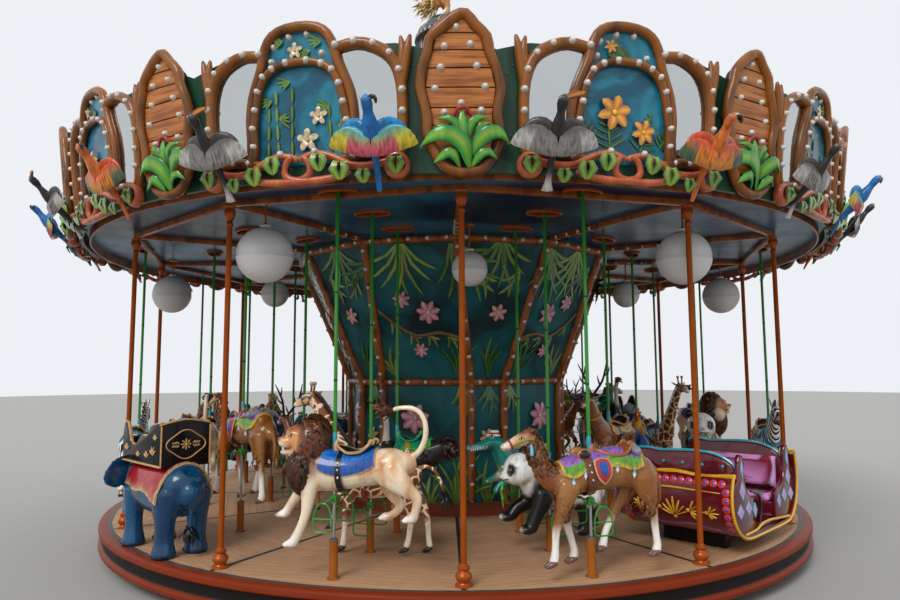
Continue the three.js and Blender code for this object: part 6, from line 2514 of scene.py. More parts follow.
    def details(self) -> list[Piece]:
        """Adds eyes, teeth, ears, claws and the locks of the mane."""
        face = [piece for side in BOTH for piece in self.eye((0.425, side * 0.073, 1.245), 0.017, "3a2412")]
        for side in BOTH:
            face += self.ear(
                (0.23, side * 0.12, 1.27), (0.2, side * 0.175, 1.335), 0.04, "8a5230", "c76f62")
            face.append(tack("f4efe2", "fang", [
                (0.487, side * 0.026, 1.145, 0.008), (0.489, side * 0.026, 1.12, 0.003)], 6, 2))
            face.append(tack("f4efe2", "fang", [
                (0.478, side * 0.026, 1.105, 0.007), (0.48, side * 0.026, 1.13, 0.003)], 6, 2))
        face.append(tack("b5504a", "tongue", [
            (0.42, 0, 1.118, 0.03, 0.01), (0.49, 0, 1.12, 0.024, 0.008)], 8, 3))
        top = locks(
            "top", (0.22, 0, 1.172), (0.18, 0.196, 0.243), 230, 0.18, (-0.5, 0, -0.7), ("42200f", "8a5028"),
            lambda way: way[0] < 0.66, 0.024, 3)
        turned_parts = self.aside([*face, top])
        beard = locks(
            "beard", (0.27, 0.02, 0.96), (0.15, 0.165, 0.24), 180, 0.17, (0.1, 0, -1.0),
            ("3a1c0f", "784524"), lambda way: way[2] < 0.75, 0.021, 5)
        claws = [
            tack("8a8680", "claw", [(x + 0.055, side * self.apart + y, z - 0.006, 0.007), (
                x + 0.073, side * self.apart + y, z - 0.018, 0.002)], 5, 1, 1) for side, x,
            z in self.paws for y in (-0.04, -0.014, 0.014, 0.04)]
        tuft = locks(
            "tuft", (-0.53, 0, 1.475), (0.03, 0.022, 0.022), 22, 0.13, (1.0, 0, -0.12),
            ("5a2f1c", "8a5634"), width=0.014, seed=8, hug=False)
        return [*turned_parts, beard, tuft, *claws]


class Giraffe(Figure):
    """Giraffe calf with a blue bridle and a black mane."""

    name = "giraffe"
    slot = "giraffe_tan"
    seat = 0.86
    step = 0.33
    apart = 0.08
    finish = Hides.patched
    base = "f0d9b2"
    spine = Spine((
        (-0.48, 0.79, 0.075, 0.09), (-0.4, 0.76, 0.125, 0.14), (-0.22, 0.715, 0.14, 0.155),
        (-0.02, 0.69, 0.138, 0.165), (0.14, 0.72, 0.13, 0.175), (0.24, 0.83, 0.105, 0.16),
        (0.33, 0.99, 0.075, 0.115), (0.43, 1.17, 0.06, 0.085), (0.53, 1.35, 0.052, 0.07),
        (0.61, 1.47, 0.052, 0.064), (0.69, 1.525, 0.055, 0.066), (0.76, 1.5, 0.043, 0.052),
        (0.82, 1.47, 0.036, 0.04)))
    legs = (
        (1, (
            (0.16, 0.68, 0.06, 0.1), (0.2, 0.53, 0.046, 0.06), (0.235, 0.39, 0.037, 0.042),
            (0.24, 0.3, 0.03, 0.033), (0.25, 0.17, 0.028, 0.03), (0.26, 0.08, 0.033, 0.034))), (-1, (
            (0.16, 0.68, 0.06, 0.1), (0.28, 0.57, 0.046, 0.06), (0.39, 0.5, 0.037, 0.042),
            (0.42, 0.4, 0.03, 0.032), (0.43, 0.3, 0.028, 0.03), (0.44, 0.245, 0.033, 0.03))), (1, (
            (-0.36, 0.7, 0.08, 0.13), (-0.42, 0.55, 0.06, 0.085), (-0.46, 0.4, 0.036, 0.045),
            (-0.45, 0.3, 0.03, 0.034), (-0.43, 0.17, 0.028, 0.03), (-0.41, 0.105, 0.033, 0.034))), (-1, (
            (-0.36, 0.7, 0.08, 0.13), (-0.46, 0.55, 0.06, 0.08), (-0.55, 0.42, 0.036, 0.045),
            (-0.58, 0.3, 0.03, 0.034), (-0.59, 0.16, 0.028, 0.03), (-0.6, 0.08, 0.033, 0.034))))
    tail = (
        (-0.47, 0.82, 0.03), (-0.56, 0.86, 0.024), (-0.66, 0.84, 0.02), (-0.73, 0.74, 0.018),
        (-0.76, 0.64, 0.017))
    saddle = Saddle(
        1.5, 3.95, 84.0, ("1c7fae", "1d5fa0", "2a8f8a"), "5a2a1c", "b98a5a", 1, 10.0, "8a2a30", 0.7, 0.28)

    def lumps(self) -> list[Piece]:
        """Adds the lips, brow and ankles."""
        return [
            ball("lips", (0.845, 0, 1.458), (0.03, 0.032, 0.027)),
            ball("brow", (0.7, 0, 1.56), (0.05, 0.056, 0.03)), *self.ankles((0.036, 0.036, 0.034), (
                (1, 0.26, 0.085), (-1, 0.44, 0.25), (1, -0.412, 0.11), (-1, -0.6, 0.085)))]

    def colour(self, brush: Brush) -> None:
        """Fades the patches from the face, the belly and the lower legs."""
        low = np.clip((0.36 - brush.points[:, 2]) / 0.1, 0, 1)
        brush.over(low, "f3e8d2").fade(low)
        face = brush.near((0.76, 0, 1.5), (0.14, 0.1, 0.085), 0.4)
        brush.over(face, "e0a868").fade(face * 0.9)
        brush.spot((0.84, 0, 1.455), (0.05, 0.05, 0.045), "f2e2c6", 0.5)
        belly = brush.near((-0.05, 0, 0.54), (0.35, 0.1, 0.05), 0.6)
        brush.over(belly, "f3e8d2").fade(belly)

    def details(self) -> list[Piece]:
        """Adds horns, ears, mane, bridle, hooves and the tail's tuft."""
        parts = self.pair(lambda side: [
            *self.eye((0.71, side * 0.05, 1.538), 0.015),
            *self.ear((0.645, side * 0.045, 1.55), (0.6, side * 0.12, 1.6), 0.028, "d9a260", "f0dcc4"),
            toned(swept("horn", [
                (0.665, side * 0.026, 1.57, 0.014), (0.655, side * 0.034, 1.63, 0.012),
                (0.652, side * 0.036, 1.665, 0.013)], 8, 2), "b5763c", Hides.hide), toned(ball(
                "knob", (0.651, side * 0.036, 1.682), (0.024, 0.022, 0.022), 10, 8), "efe9dd", Hides.hide)])
        parts += self.hooves(((1, 0.28, 0.025), (-1, 0.47, 0.195), (1, -0.39, 0.045), (-1, -0.58, 0.025)))
        crest = [(*self.spine.on(t, 0, 0.012), 0.012, 0.026) for t in (5.0, 6.0, 7.0, 8.0, 9.0, 9.7)]
        parts.append(toned(swept("crest", crest, 8, 3), "1d1815", Hides.fur))
        parts.append(locks(
            "tuft", (-0.775, 0, 0.6), (0.02, 0.018, 0.03), 16, 0.14, (-0.15, 0, -1.0), ("1d1815", "2f2620"),
            width=0.012, seed=4, hug=False))
        parts += [self.hoop(10.95, "1d3f78", 0.007), self.hoop(9.7, "1d3f78", 0.007)]
        parts += [self.strap(
            [(10.95, side * 80), (10.4, side * 75), (9.75, side * 70)], "1d3f78", 0.006) for side in BOTH]
        parts.append(self.hoop(4.9, "7a2530", 0.009))
        return parts


class Ostrich(Figure):
    """Ostrich with carved black feathers and an orange beak."""

    name = "ostrich"
    slot = "ostrich_black"
    seat = 1.03
    step = 0.48
    apart = 0.075
    finish = Hides.feather
    base = "2c2724"
    spine = Spine((
        (-0.68, 0.93, 0.04, 0.05), (-0.56, 0.95, 0.1, 0.11), (-0.38, 0.89, 0.145, 0.15),
        (-0.15, 0.845, 0.185, 0.185), (0.04, 0.83, 0.15, 0.165), (0.12, 0.93, 0.062, 0.085),
        (0.13, 1.05, 0.04, 0.045), (0.128, 1.19, 0.034, 0.036), (0.145, 1.32, 0.033, 0.036),
        (0.19, 1.405, 0.044, 0.042), (0.235, 1.405, 0.036, 0.034)))
    legs = (
        (1, (
            (-0.08, 0.76, 0.08, 0.12), (-0.02, 0.62, 0.06, 0.075), (0.045, 0.49, 0.036, 0.042),
            (0.03, 0.38, 0.024, 0.026), (0.015, 0.28, 0.022, 0.024),
            (0.03, 0.235, 0.034, 0.022), (0.09, 0.21, 0.026, 0.014))), (-1, (
            (-0.08, 0.76, 0.08, 0.12), (-0.05, 0.62, 0.06, 0.075), (-0.01, 0.49, 0.036, 0.042),
            (-0.06, 0.39, 0.024, 0.026), (-0.12, 0.3, 0.022, 0.024), (-0.12, 0.255, 0.034, 0.022),
            (-0.07, 0.22, 0.026, 0.014))))
    saddle = Saddle(
        1.6, 4.0, 62.0, ("17888f", "1c9a58", "5bc23a"), "14403e", "2aa05a", 2, 6.0, "b8862e", 0.5, 0.26)

    def colour(self, brush: Brush) -> None:
        """Bares the neck, the head and the legs."""
        neck = np.clip((brush.points[:, 2] - 0.97) / 0.05, 0, 1) * np.clip(
            (brush.points[:, 0] - 0.02) / 0.03, 0, 1)
        brush.over(neck, "c9bfae").fade(neck * 0.6)
        brush.spot((0.2, 0, 1.42), (0.09, 0.07, 0.07), "6b4030", 0.4)
        low = np.clip((0.66 - brush.points[:, 2]) / 0.05, 0, 1)
        brush.over(low, "c79a7c").fade(low * 0.6)

    def details(self) -> list[Piece]:
        """Adds the beak, eyes and feathers."""
        parts = self.pair(lambda side: self.eye((0.205, side * 0.042, 1.42), 0.016, "20120c"))
        for z, tip in ((1.402, 1.4), (1.384, 1.355)):
            parts.append(tack("d2742a", "beak", [
                (0.24, 0, z, 0.028, 0.012), (0.29, 0, (z + tip) / 2 + 0.002, 0.022, 0.01),
                (0.335, 0, tip, 0.01, 0.006)], 8, 3))
        feathers = [
            locks(
                "plumes", (-0.2, 0, 0.86), (0.3, 0.19, 0.15), 120, 0.2, (-0.9, 0, -0.35),
                ("1d1a18", "4a4440"), lambda way: way[2] < 0.45 and way[0] < 0.8, 0.03, 6), locks(
                "rump", (-0.575, 0, 0.95), (0.09, 0.08, 0.08), 50, 0.1, (-0.9, 0, -0.3),
                ("2a2522", "6a4a3a"), width=0.028, seed=7, hug=False), locks(
                "ruff", (0.1, 0, 0.96), (0.07, 0.07, 0.07), 40, 0.1, (-0.3, 0, -0.9), ("1d1a18", "3a3532"),
                width=0.02, seed=9)]
        return parts + feathers


class Camel(Figure):
    """Walking camel with a shaggy neck and a rich saddle cloth."""

    name = "camel"
    slot = "camel_brown"
    seat = 1.06
    step = 0.52
    apart = 0.09
    base = "96622f"
    spine = Spine((
        (-0.62, 0.88, 0.06, 0.075), (-0.56, 0.89, 0.115, 0.125), (-0.44, 0.905, 0.145, 0.16),
        (-0.26, 0.93, 0.15, 0.175), (-0.06, 0.91, 0.152, 0.17), (0.12, 0.885, 0.142, 0.165),
        (0.26, 0.86, 0.115, 0.15), (0.36, 0.86, 0.085, 0.115), (0.44, 0.93, 0.068, 0.095),
        (0.49, 1.04, 0.062, 0.082), (0.53, 1.15, 0.06, 0.075), (0.59, 1.225, 0.06, 0.066),
        (0.68, 1.2, 0.052, 0.056), (0.76, 1.165, 0.044, 0.044), (0.81, 1.15, 0.036, 0.034)))
    legs = (
        (1, (
            (0.24, 0.8, 0.07, 0.11), (0.3, 0.66, 0.06, 0.08), (0.35, 0.52, 0.045, 0.05),
            (0.375, 0.43, 0.034, 0.038), (0.385, 0.3, 0.031, 0.034),
            (0.39, 0.23, 0.037, 0.038), (0.405, 0.18, 0.042, 0.036))), (-1, (
            (0.2, 0.8, 0.07, 0.11), (0.19, 0.66, 0.06, 0.08), (0.185, 0.5, 0.045, 0.05),
            (0.18, 0.42, 0.034, 0.038), (0.14, 0.28, 0.031, 0.034),
            (0.12, 0.2, 0.037, 0.038), (0.135, 0.155, 0.042, 0.036))), (1, (
            (-0.49, 0.86, 0.085, 0.14), (-0.53, 0.71, 0.065, 0.1), (-0.57, 0.58, 0.042, 0.052),
            (-0.585, 0.47, 0.034, 0.038), (-0.6, 0.33, 0.031, 0.034),
            (-0.61, 0.25, 0.037, 0.038), (-0.595, 0.205, 0.042, 0.036))), (-1, (
            (-0.47, 0.86, 0.085, 0.14), (-0.4, 0.7, 0.065, 0.095), (-0.3, 0.56, 0.042, 0.052),
            (-0.25, 0.47, 0.034, 0.038), (-0.19, 0.35, 0.031, 0.034), (-0.17, 0.27, 0.037, 0.038),
            (-0.15, 0.23, 0.042, 0.036))))
    tail = (
        (-0.6, 0.95, 0.028), (-0.66, 0.9, 0.024), (-0.69, 0.8, 0.022), (-0.7, 0.68, 0.026),
        (-0.69, 0.6, 0.018))
    saddle = Saddle(
        1.9, 6.3, 78.0, ("9a6cb8", "5c9a2c", "d9b02e"), "8a4a22", "a8693a", 3, 7.0, "6a3a24", 0.62, 0.33,
        0.13, tassels="3aa0c8")

    def lumps(self) -> list[Piece]:
        """Adds the lips, the brow and the ankles."""
        return [
            ball("lips", (0.815, 0, 1.15), (0.03, 0.038, 0.036)),
            ball("brow", (0.6, 0, 1.265), (0.05, 0.058, 0.03)),
            ball("hump", (-0.42, 0, 1.02), (0.12, 0.1, 0.09)), *self.ankles((0.044, 0.046, 0.036), (
                (1, 0.4, 0.19), (-1, 0.13, 0.165), (1, -0.6, 0.215), (-1, -0.16, 0.24)))]

    def colour(self, brush: Brush) -> None:
        """Whitens the lower legs and the face."""
        low = np.clip((0.5 - brush.points[:, 2]) / 0.08, 0, 1)
        brush.over(low, "f0ebe2").fade(low * 0.7)
        brush.spot((0.45, 0, 1.0), (0.14, 0.14, 0.26), "9a6238", 0.5)
        brush.spot((0.7, 0, 1.19), (0.12, 0.1, 0.075), "efdcc0", 0.4)
        brush.spot((0.8, 0, 1.15), (0.06, 0.06, 0.04), "f0e4d6", 0.4)
        brush.spot((0.8, 0, 1.137), (0.06, 0.05, 0.009), "b0302a", 0.8)
        brush.spot((0.6, 0, 1.29), (0.08, 0.07, 0.03), "a05c38", 0.6)

    def details(self) -> list[Piece]:
        """Adds eyes, ears, bridle, hooves and the shaggy neck."""
        parts = self.pair(lambda side: [
            *self.eye((0.665, side * 0.05, 1.225), 0.016),
            *self.ear((0.56, side * 0.05, 1.262), (0.535, side * 0.085, 1.31), 0.022, "8a5230", "3a241a"),
            bead("3a1c18", "nostril", (0.825, side * 0.017, 1.17), (0.008, 0.006, 0.005), 8, 6), self.strap(
                [(13.0, side * 92), (12.2, side * 96), (11.2, side * 96), (10.6, side * 80)],
                "8f8a2e", 0.007), tack("6fb8d8", "tassel", [
                (0.585, side * 0.07, 1.17, 0.01), (0.583, side * 0.073, 1.13, 0.016),
                (0.582, side * 0.074, 1.09, 0.018)], 8, 2)])
        parts += [self.hoop(12.95, "8a2a2e", 0.01), self.hoop(10.5, "8a2a2e", 0.008)]
        parts += self.hooves(
            ((1, 0.42, 0.145), (-1, 0.15, 0.12), (1, -0.58, 0.17), (-1, -0.135, 0.195)), "6a4e44", 0.05)
        neck = [locks(
            "neck", self.spine.on(t, 0, -0.08), (0.088, 0.072, 0.1), 40, 0.12, (-0.15, 0, -1.0),
            ("5f3a20", "b07a48"), width=0.017, seed=int(t * 3)) for t in (7.2, 8.2, 9.2, 10.2)]
        chest = locks(
            "chest", (0.27, 0, 0.8), (0.11, 0.115, 0.14), 70, 0.13, (0.05, 0, -1.0), ("6f4526", "b07a48"),
            lambda way: way[2] < 0.55, 0.017, 12)
        thighs = [
            locks(
                "thigh", (x, side * 0.095, 0.64), (0.07, 0.055, 0.13), 20, 0.1,
                (0, 0, -1.0), ("7a4c2a", "a8743f"), width=0.015, seed=15) for side,
            x in ((1, 0.3), (-1, 0.2), (1, -0.53), (-1, -0.4))]
        flaps = [self.flap(side) for side in BOTH]
        crown = locks(
            "crown", (0.58, 0, 1.27), (0.05, 0.05, 0.03), 30, 0.05, (-0.5, 0, 0.1), ("8a4a30", "b5754a"),
            lambda way: way[2] > 0, 0.01, 18)
        boss = [bead(
            "a8693a", "boss", (0.085, side * 0.07, self.seat + 0.005), (0.075, 0.03, 0.06), 10,
            8) for side in BOTH]
        boss += [bead(
            "1c1a1c", "plate", (0.085, side * 0.086, self.seat + 0.008), (0.056, 0.026, 0.044), 10,
            8) for side in BOTH]
        roll = toned(swept("roll", [
            (-0.4, -0.15, self.seat + 0.03, 0.035), (-0.405, 0, self.seat + 0.06, 0.05),
            (-0.4, 0.15, self.seat + 0.03, 0.035)], 10, 3), "8f949c", Hides.cloth)
        return [*parts, *neck, chest, *thighs, crown, *boss, *flaps, roll]

    def flap(self, side: int) -> Piece:
        """Lays the shield-shaped flap over the cloth at one side."""
        layers = []
        for size, lift, colour in ((1.0, 0.04, "c9a06a"), (0.84, 0.046, "b02a30"), (0.5, 0.052, "1d4f9c")):
            rows = [(*self.spine.on(4.05, side * angle, lift), wide * size, 0.006) for angle, wide in (
                (72 - 22 * size, 0.03), (72 - 18 * size, 0.075), (72, 0.085), (72 + 22 * size, 0.07),
                (72 + 36 * size, 0.035), (72 + 44 * size, 0.004))]
            layers.append(tack(colour, "flap", rows, 8, 2, 1, across=(1, 0, 0)))
        return joined("flap", layers)


class Panda(Figure):
    """Walking panda with a bamboo stem in its mouth."""

    name = "panda"
    slot = "panda_white"
    seat = 0.8
    step = 0.33
    apart = 0.12
    finish = Hides.down
    base = "efeeea"
    spine = Spine((
        (-0.54, 0.56, 0.09, 0.1), (-0.46, 0.58, 0.16, 0.165), (-0.3, 0.59, 0.2, 0.2),
        (-0.08, 0.6, 0.205, 0.205), (0.1, 0.64, 0.175, 0.185), (0.2, 0.73, 0.15, 0.15),
        (0.28, 0.79, 0.13, 0.13)))
    legs = (
        (1, (
            (0.1, 0.56, 0.09, 0.12), (0.16, 0.45, 0.075, 0.085), (0.22, 0.34, 0.066, 0.07),
            (0.25, 0.27, 0.07, 0.066), (0.29, 0.235, 0.07, 0.04))), (-1, (
            (0.1, 0.56, 0.09, 0.12), (0.2, 0.47, 0.075, 0.085), (0.31, 0.41, 0.066, 0.07),
            (0.37, 0.35, 0.07, 0.062), (0.42, 0.32, 0.068, 0.04))), (1, (
            (-0.38, 0.52, 0.11, 0.14), (-0.35, 0.4, 0.085, 0.1), (-0.34, 0.29, 0.07, 0.072),
            (-0.33, 0.22, 0.072, 0.06), (-0.29, 0.185, 0.07, 0.04))), (-1, (
            (-0.38, 0.52, 0.11, 0.14), (-0.43, 0.4, 0.085, 0.1), (-0.5, 0.3, 0.07, 0.072),
            (-0.54, 0.24, 0.072, 0.06), (-0.51, 0.205, 0.07, 0.04))))
    tail = ((-0.52, 0.6, 0.05), (-0.58, 0.6, 0.04))
    saddle = Saddle(
        1.4, 3.9, 70.0, ("1f8f4a", "2a6fae", "d9b02e"), "4a1f22", "b98a5a", 2, 6.0, "8a2a30", 0.6, 0.28)

    def lumps(self) -> list[Piece]:
        """Adds the big head."""
        feet = [ball("foot", (x, side * self.apart, z), (0.085, 0.075, 0.05)) for side, x, z in (
            (1, 0.29, 0.25), (-1, 0.415, 0.335), (1, -0.3, 0.2), (-1, -0.52, 0.22))]
        return [
            ball("head", (0.31, 0, 0.82), (0.175, 0.185, 0.165)),
            ball("cheeks", (0.36, 0, 0.77), (0.13, 0.178, 0.105)),
            ball("muzzle", (0.475, 0, 0.755), (0.062, 0.072, 0.055)),
            ball("rump", (-0.44, 0, 0.6), (0.14, 0.16, 0.16)), *feet]

    def colour(self, brush: Brush) -> None:
        """Blackens the legs, the shoulders and the eye patches."""
        black = "141312"
        brush.over((0.15 - np.abs(
            brush.points[:, 0] - 0.13 + 0.25 * (brush.points[:, 2] - 0.6))) * 18, black)
        for side, rows in self.legs:
            for x, z, wide, deep in rows[1:]:
                brush.spot((x, side * self.apart, z), (deep * 1.7, wide * 1.7, 0.12), black, 0.3)
        brush.spot((0.39, 0, 0.805), (0.2, 0.23, 0.175), "f1f0ec", 0.12)
        for side in BOTH:
            brush.spot((0.45, side * 0.098, 0.832), (0.07, 0.052, 0.06), black, 0.08)
        brush.spot((0.532, 0, 0.785), (0.02, 0.026, 0.016), black, 0.3)

    def details(self) -> list[Piece]:
        """Adds ears, eyes, the smile and the bamboo."""
        parts = self.pair(lambda side: [
            toned(ball(
                "ear", (0.235, side * 0.14, 0.962), (0.036, 0.058, 0.056), 14, 10), "141312", Hides.down),
            *self.eye((0.455, side * 0.098, 0.835), 0.016, "0c0a09")])
        smile = [
            (0.47, -0.08, 0.742, 0.005), (0.515, -0.05, 0.73, 0.006), (0.535, 0, 0.737, 0.006),
            (0.515, 0.05, 0.73, 0.006), (0.47, 0.08, 0.742, 0.005)]
        parts.append(tack("141312", "smile", smile, 6, 4))
        cane = [(0.5, 0.02, 0.735, 0.014), (0.52, 0.05, 0.69, 0.014), (0.54, 0.08, 0.64, 0.014)]
        parts.append(tack("4f9a30", "cane", cane, 8, 2))
        parts += [leaf(
            "blade",
            [(0.54, 0.075, 0.645), (0.56, 0.11 + 0.02 * i, 0.62 - 0.03 * i), (0.55, 0.15, 0.57 - 0.05 * i)],
            0.016, "8fc04a", "2f7a30", 0.004) for i in range(3)]
        return parts


class Zebra(Figure):
    """Galloping zebra with a brush mane."""

    name = "zebra"
    slot = "zebra_white"
    seat = 1.01
    step = 0.52
    foot = 0.26
    apart = 0.078
    finish = Hides.striped
    base = "f1efe9"
    spine = Spine((
        (-0.57, 0.92, 0.06, 0.075), (-0.52, 0.905, 0.115, 0.125), (-0.4, 0.89, 0.14, 0.15),
        (-0.2, 0.865, 0.14, 0.148), (0.0, 0.86, 0.138, 0.15), (0.16, 0.88, 0.13, 0.16),
        (0.26, 0.97, 0.092, 0.14), (0.34, 1.09, 0.07, 0.115), (0.42, 1.21, 0.055, 0.088),
        (0.5, 1.265, 0.056, 0.066), (0.58, 1.2, 0.046, 0.052), (0.65, 1.135, 0.037, 0.042)))
    legs = (
        (1, (
            (0.17, 0.82, 0.06, 0.1), (0.27, 0.73, 0.048, 0.06), (0.39, 0.66, 0.036, 0.04),
            (0.41, 0.57, 0.028, 0.03), (0.4, 0.47, 0.028, 0.03), (0.41, 0.44, 0.033, 0.028))), (-1, (
            (0.15, 0.82, 0.06, 0.1), (0.24, 0.71, 0.048, 0.06), (0.32, 0.62, 0.036, 0.04),
            (0.28, 0.54, 0.028, 0.03), (0.22, 0.48, 0.028, 0.03), (0.2, 0.46, 0.033, 0.028))), (1, (
            (-0.45, 0.87, 0.085, 0.14), (-0.5, 0.72, 0.06, 0.08), (-0.56, 0.6, 0.038, 0.046),
            (-0.58, 0.48, 0.028, 0.032), (-0.61, 0.36, 0.028, 0.03), (-0.615, 0.31, 0.034, 0.03))), (-1, (
            (-0.45, 0.87, 0.085, 0.14), (-0.54, 0.73, 0.06, 0.08), (-0.64, 0.63, 0.038, 0.046),
            (-0.67, 0.52, 0.028, 0.032), (-0.71, 0.41, 0.028, 0.03), (-0.72, 0.365, 0.034, 0.03))))
    tail = ((-0.55, 0.96, 0.024), (-0.63, 0.97, 0.02), (-0.69, 0.9, 0.018), (-0.72, 0.8, 0.018))
    saddle = Saddle(
        1.6, 4.7, 80.0, ("7fae2e", "d9b02e", "2a7fae"), "3a1f18", "c49a6a", 2, 7.0, "1d5fa8", 0.6, 0.3)

    def lumps(self) -> list[Piece]:
        """Adds the muzzle and the ankles."""
        return [
            ball("lips", (0.66, 0, 1.125), (0.034, 0.038, 0.036)),
            ball("brow", (0.5, 0, 1.3), (0.045, 0.052, 0.03)), *self.ankles((0.036, 0.034, 0.032), (
                (1, 0.41, 0.445), (-1, 0.2, 0.465), (1, -0.615, 0.315), (-1, -0.72, 0.37)))]

    def colour(self, brush: Brush) -> None:
        """Darkens the muzzle."""
        face = brush.near((0.66, 0, 1.125), (0.06, 0.06, 0.055), 0.4)
        brush.over(face, "3a3532").fade(face)

    def details(self) -> list[Piece]:
        """Adds eyes, ears, mane, collar and hooves."""
        parts = self.pair(lambda side: [*self.eye((0.535, side * 0.05, 1.262), 0.015), *self.ear(
            (0.455, side * 0.036, 1.315), (0.44, side * 0.06, 1.43), 0.028, "f0eee8", "c98a86")])
        for i in range(17):
            t = 5.6 + 3.6 * i / 16
            root, tip = self.spine.on(t, 0, -0.01), self.spine.on(t, 0, 0.07)
            code = "1a1817" if i % 2 else "efece6"
            parts.append(toned(
                swept("bristle", [(*root, 0.016, 0.014), (*tip, 0.012, 0.012)], 6, 3), code, Hides.fur))
        parts += self.hooves(
            ((1, 0.415, 0.395), (-1, 0.205, 0.42), (1, -0.605, 0.265), (-1, -0.71, 0.32)), size=0.04)
        parts.append(locks(
            "tuft", (-0.73, 0, 0.76), (0.02, 0.02, 0.03), 20, 0.18, (-0.1, 0, -1.0), ("1a1817", "3a3634"),
            width=0.014, seed=4, hug=False))
        parts += [self.hoop(5.6, "1c7fae", 0.016), self.hoop(10.6, "8a2a2e", 0.008)]
        parts += [self.strap(
            [(10.6, side * 85), (9.9, side * 85), (9.1, side * 75)], "8a2a2e", 0.006) for side in BOTH]
        return parts


class Deer(Figure):
    """Leaping stag with dark antlers."""

    name = "deer"
    slot = "deer_brown"
    seat = 0.89
    step = 0.43
    apart = 0.07
    base = "8a5230"
    spine = Spine((
        (-0.48, 0.8, 0.05, 0.06), (-0.42, 0.795, 0.1, 0.105), (-0.3, 0.78, 0.122, 0.13),
        (-0.1, 0.76, 0.122, 0.132), (0.08, 0.77, 0.12, 0.14), (0.19, 0.84, 0.1, 0.135),
        (0.27, 0.96, 0.066, 0.1), (0.34, 1.08, 0.052, 0.076), (0.4, 1.18, 0.048, 0.06),
        (0.46, 1.205, 0.047, 0.052), (0.53, 1.165, 0.035, 0.038), (0.575, 1.145, 0.028, 0.03)))
    legs = (
        (1, (
            (0.14, 0.72, 0.05, 0.085), (0.23, 0.65, 0.04, 0.05), (0.32, 0.58, 0.03, 0.034),
            (0.33, 0.5, 0.023, 0.025), (0.32, 0.42, 0.023, 0.025), (0.325, 0.385, 0.028, 0.024))), (-1, (
            (0.14, 0.72, 0.05, 0.085), (0.22, 0.63, 0.04, 0.05), (0.28, 0.56, 0.03, 0.034),
            (0.24, 0.49, 0.023, 0.025), (0.19, 0.43, 0.023, 0.025), (0.18, 0.41, 0.028, 0.024))), (1, (
            (-0.37, 0.76, 0.075, 0.115), (-0.4, 0.62, 0.05, 0.07), (-0.44, 0.5, 0.032, 0.038),
            (-0.43, 0.39, 0.024, 0.027), (-0.43, 0.27, 0.023, 0.025), (-0.42, 0.225, 0.028, 0.025))), (-1, (
            (-0.37, 0.76, 0.075, 0.115), (-0.44, 0.63, 0.05, 0.07), (-0.51, 0.52, 0.032, 0.038),
            (-0.52, 0.42, 0.024, 0.027), (-0.55, 0.31, 0.023, 0.025), (-0.56, 0.265, 0.028, 0.025))))
    tail = ((-0.45, 0.85, 0.035), (-0.53, 0.87, 0.028))
    saddle = Saddle(
        1.6, 4.3, 76.0, ("8a1f2a", "b8862e", "e0c060"), "2a1612", "b98a5a", 2, 7.0, "1c1a1a", 0.6, 0.26)

    def colour(self, brush: Brush) -> None:
        """Lightens the belly, the muzzle and the legs."""
        brush.spot((-0.1, 0, 0.62), (0.42, 0.14, 0.07), "d9b48a", 0.5)
        brush.below(0.42, "c99a68", 0.2)
        brush.spot((0.56, 0, 1.14), (0.05, 0.05, 0.035), "e0c8a8", 0.4)
        brush.spot((0.6, 0, 1.15), (0.02, 0.022, 0.02), "1a1412", 0.3)

    def details(self) -> list[Piece]:
        """Adds eyes, ears, antlers, collar and hooves."""
        parts = self.pair(lambda side: [*self.eye((0.475, side * 0.042, 1.22), 0.014), *self.ear(
            (0.4, side * 0.04, 1.225), (0.36, side * 0.12, 1.265), 0.024, "8a5230", "e0c8a8")])
        for side in BOTH:
            beam = [
                (0.415, side * 0.025, 1.235, 0.017), (0.36, side * 0.07, 1.33, 0.016),
                (0.31, side * 0.115, 1.43, 0.014), (0.32, side * 0.16, 1.54, 0.012),
                (0.35, side * 0.2, 1.64, 0.005)]
            tines = (
                (
                    (0.4, side * 0.035, 1.27, 0.012), (0.47, side * 0.05, 1.31, 0.01),
                    (0.5, side * 0.055, 1.36, 0.004)), (
                    (0.33, side * 0.095, 1.39, 0.012), (0.4, side * 0.12, 1.44, 0.01),
                    (0.43, side * 0.125, 1.5, 0.004)), (
                    (0.315, side * 0.14, 1.49, 0.011), (0.25, side * 0.17, 1.55, 0.009),
                    (0.235, side * 0.175, 1.61, 0.004)))
            parts += [toned(swept("antler", rows, 8, 3), "33231a", Hides.fur) for rows in (beam, *tines)]
        parts += self.hooves(
            ((1, 0.335, 0.345), (-1, 0.19, 0.37), (1, -0.41, 0.185), (-1, -0.55, 0.225)), size=0.034)
        parts.append(locks(
            "throat", (0.27, 0, 0.9), (0.07, 0.06, 0.12), 50, 0.1, (0, 0, -1.0), ("6a3c22", "a8754a"),
            lambda way: way[0] > -0.2, 0.014, 4))
        parts.append(self.hoop(6.4, "b8862e", 0.012))
        return parts


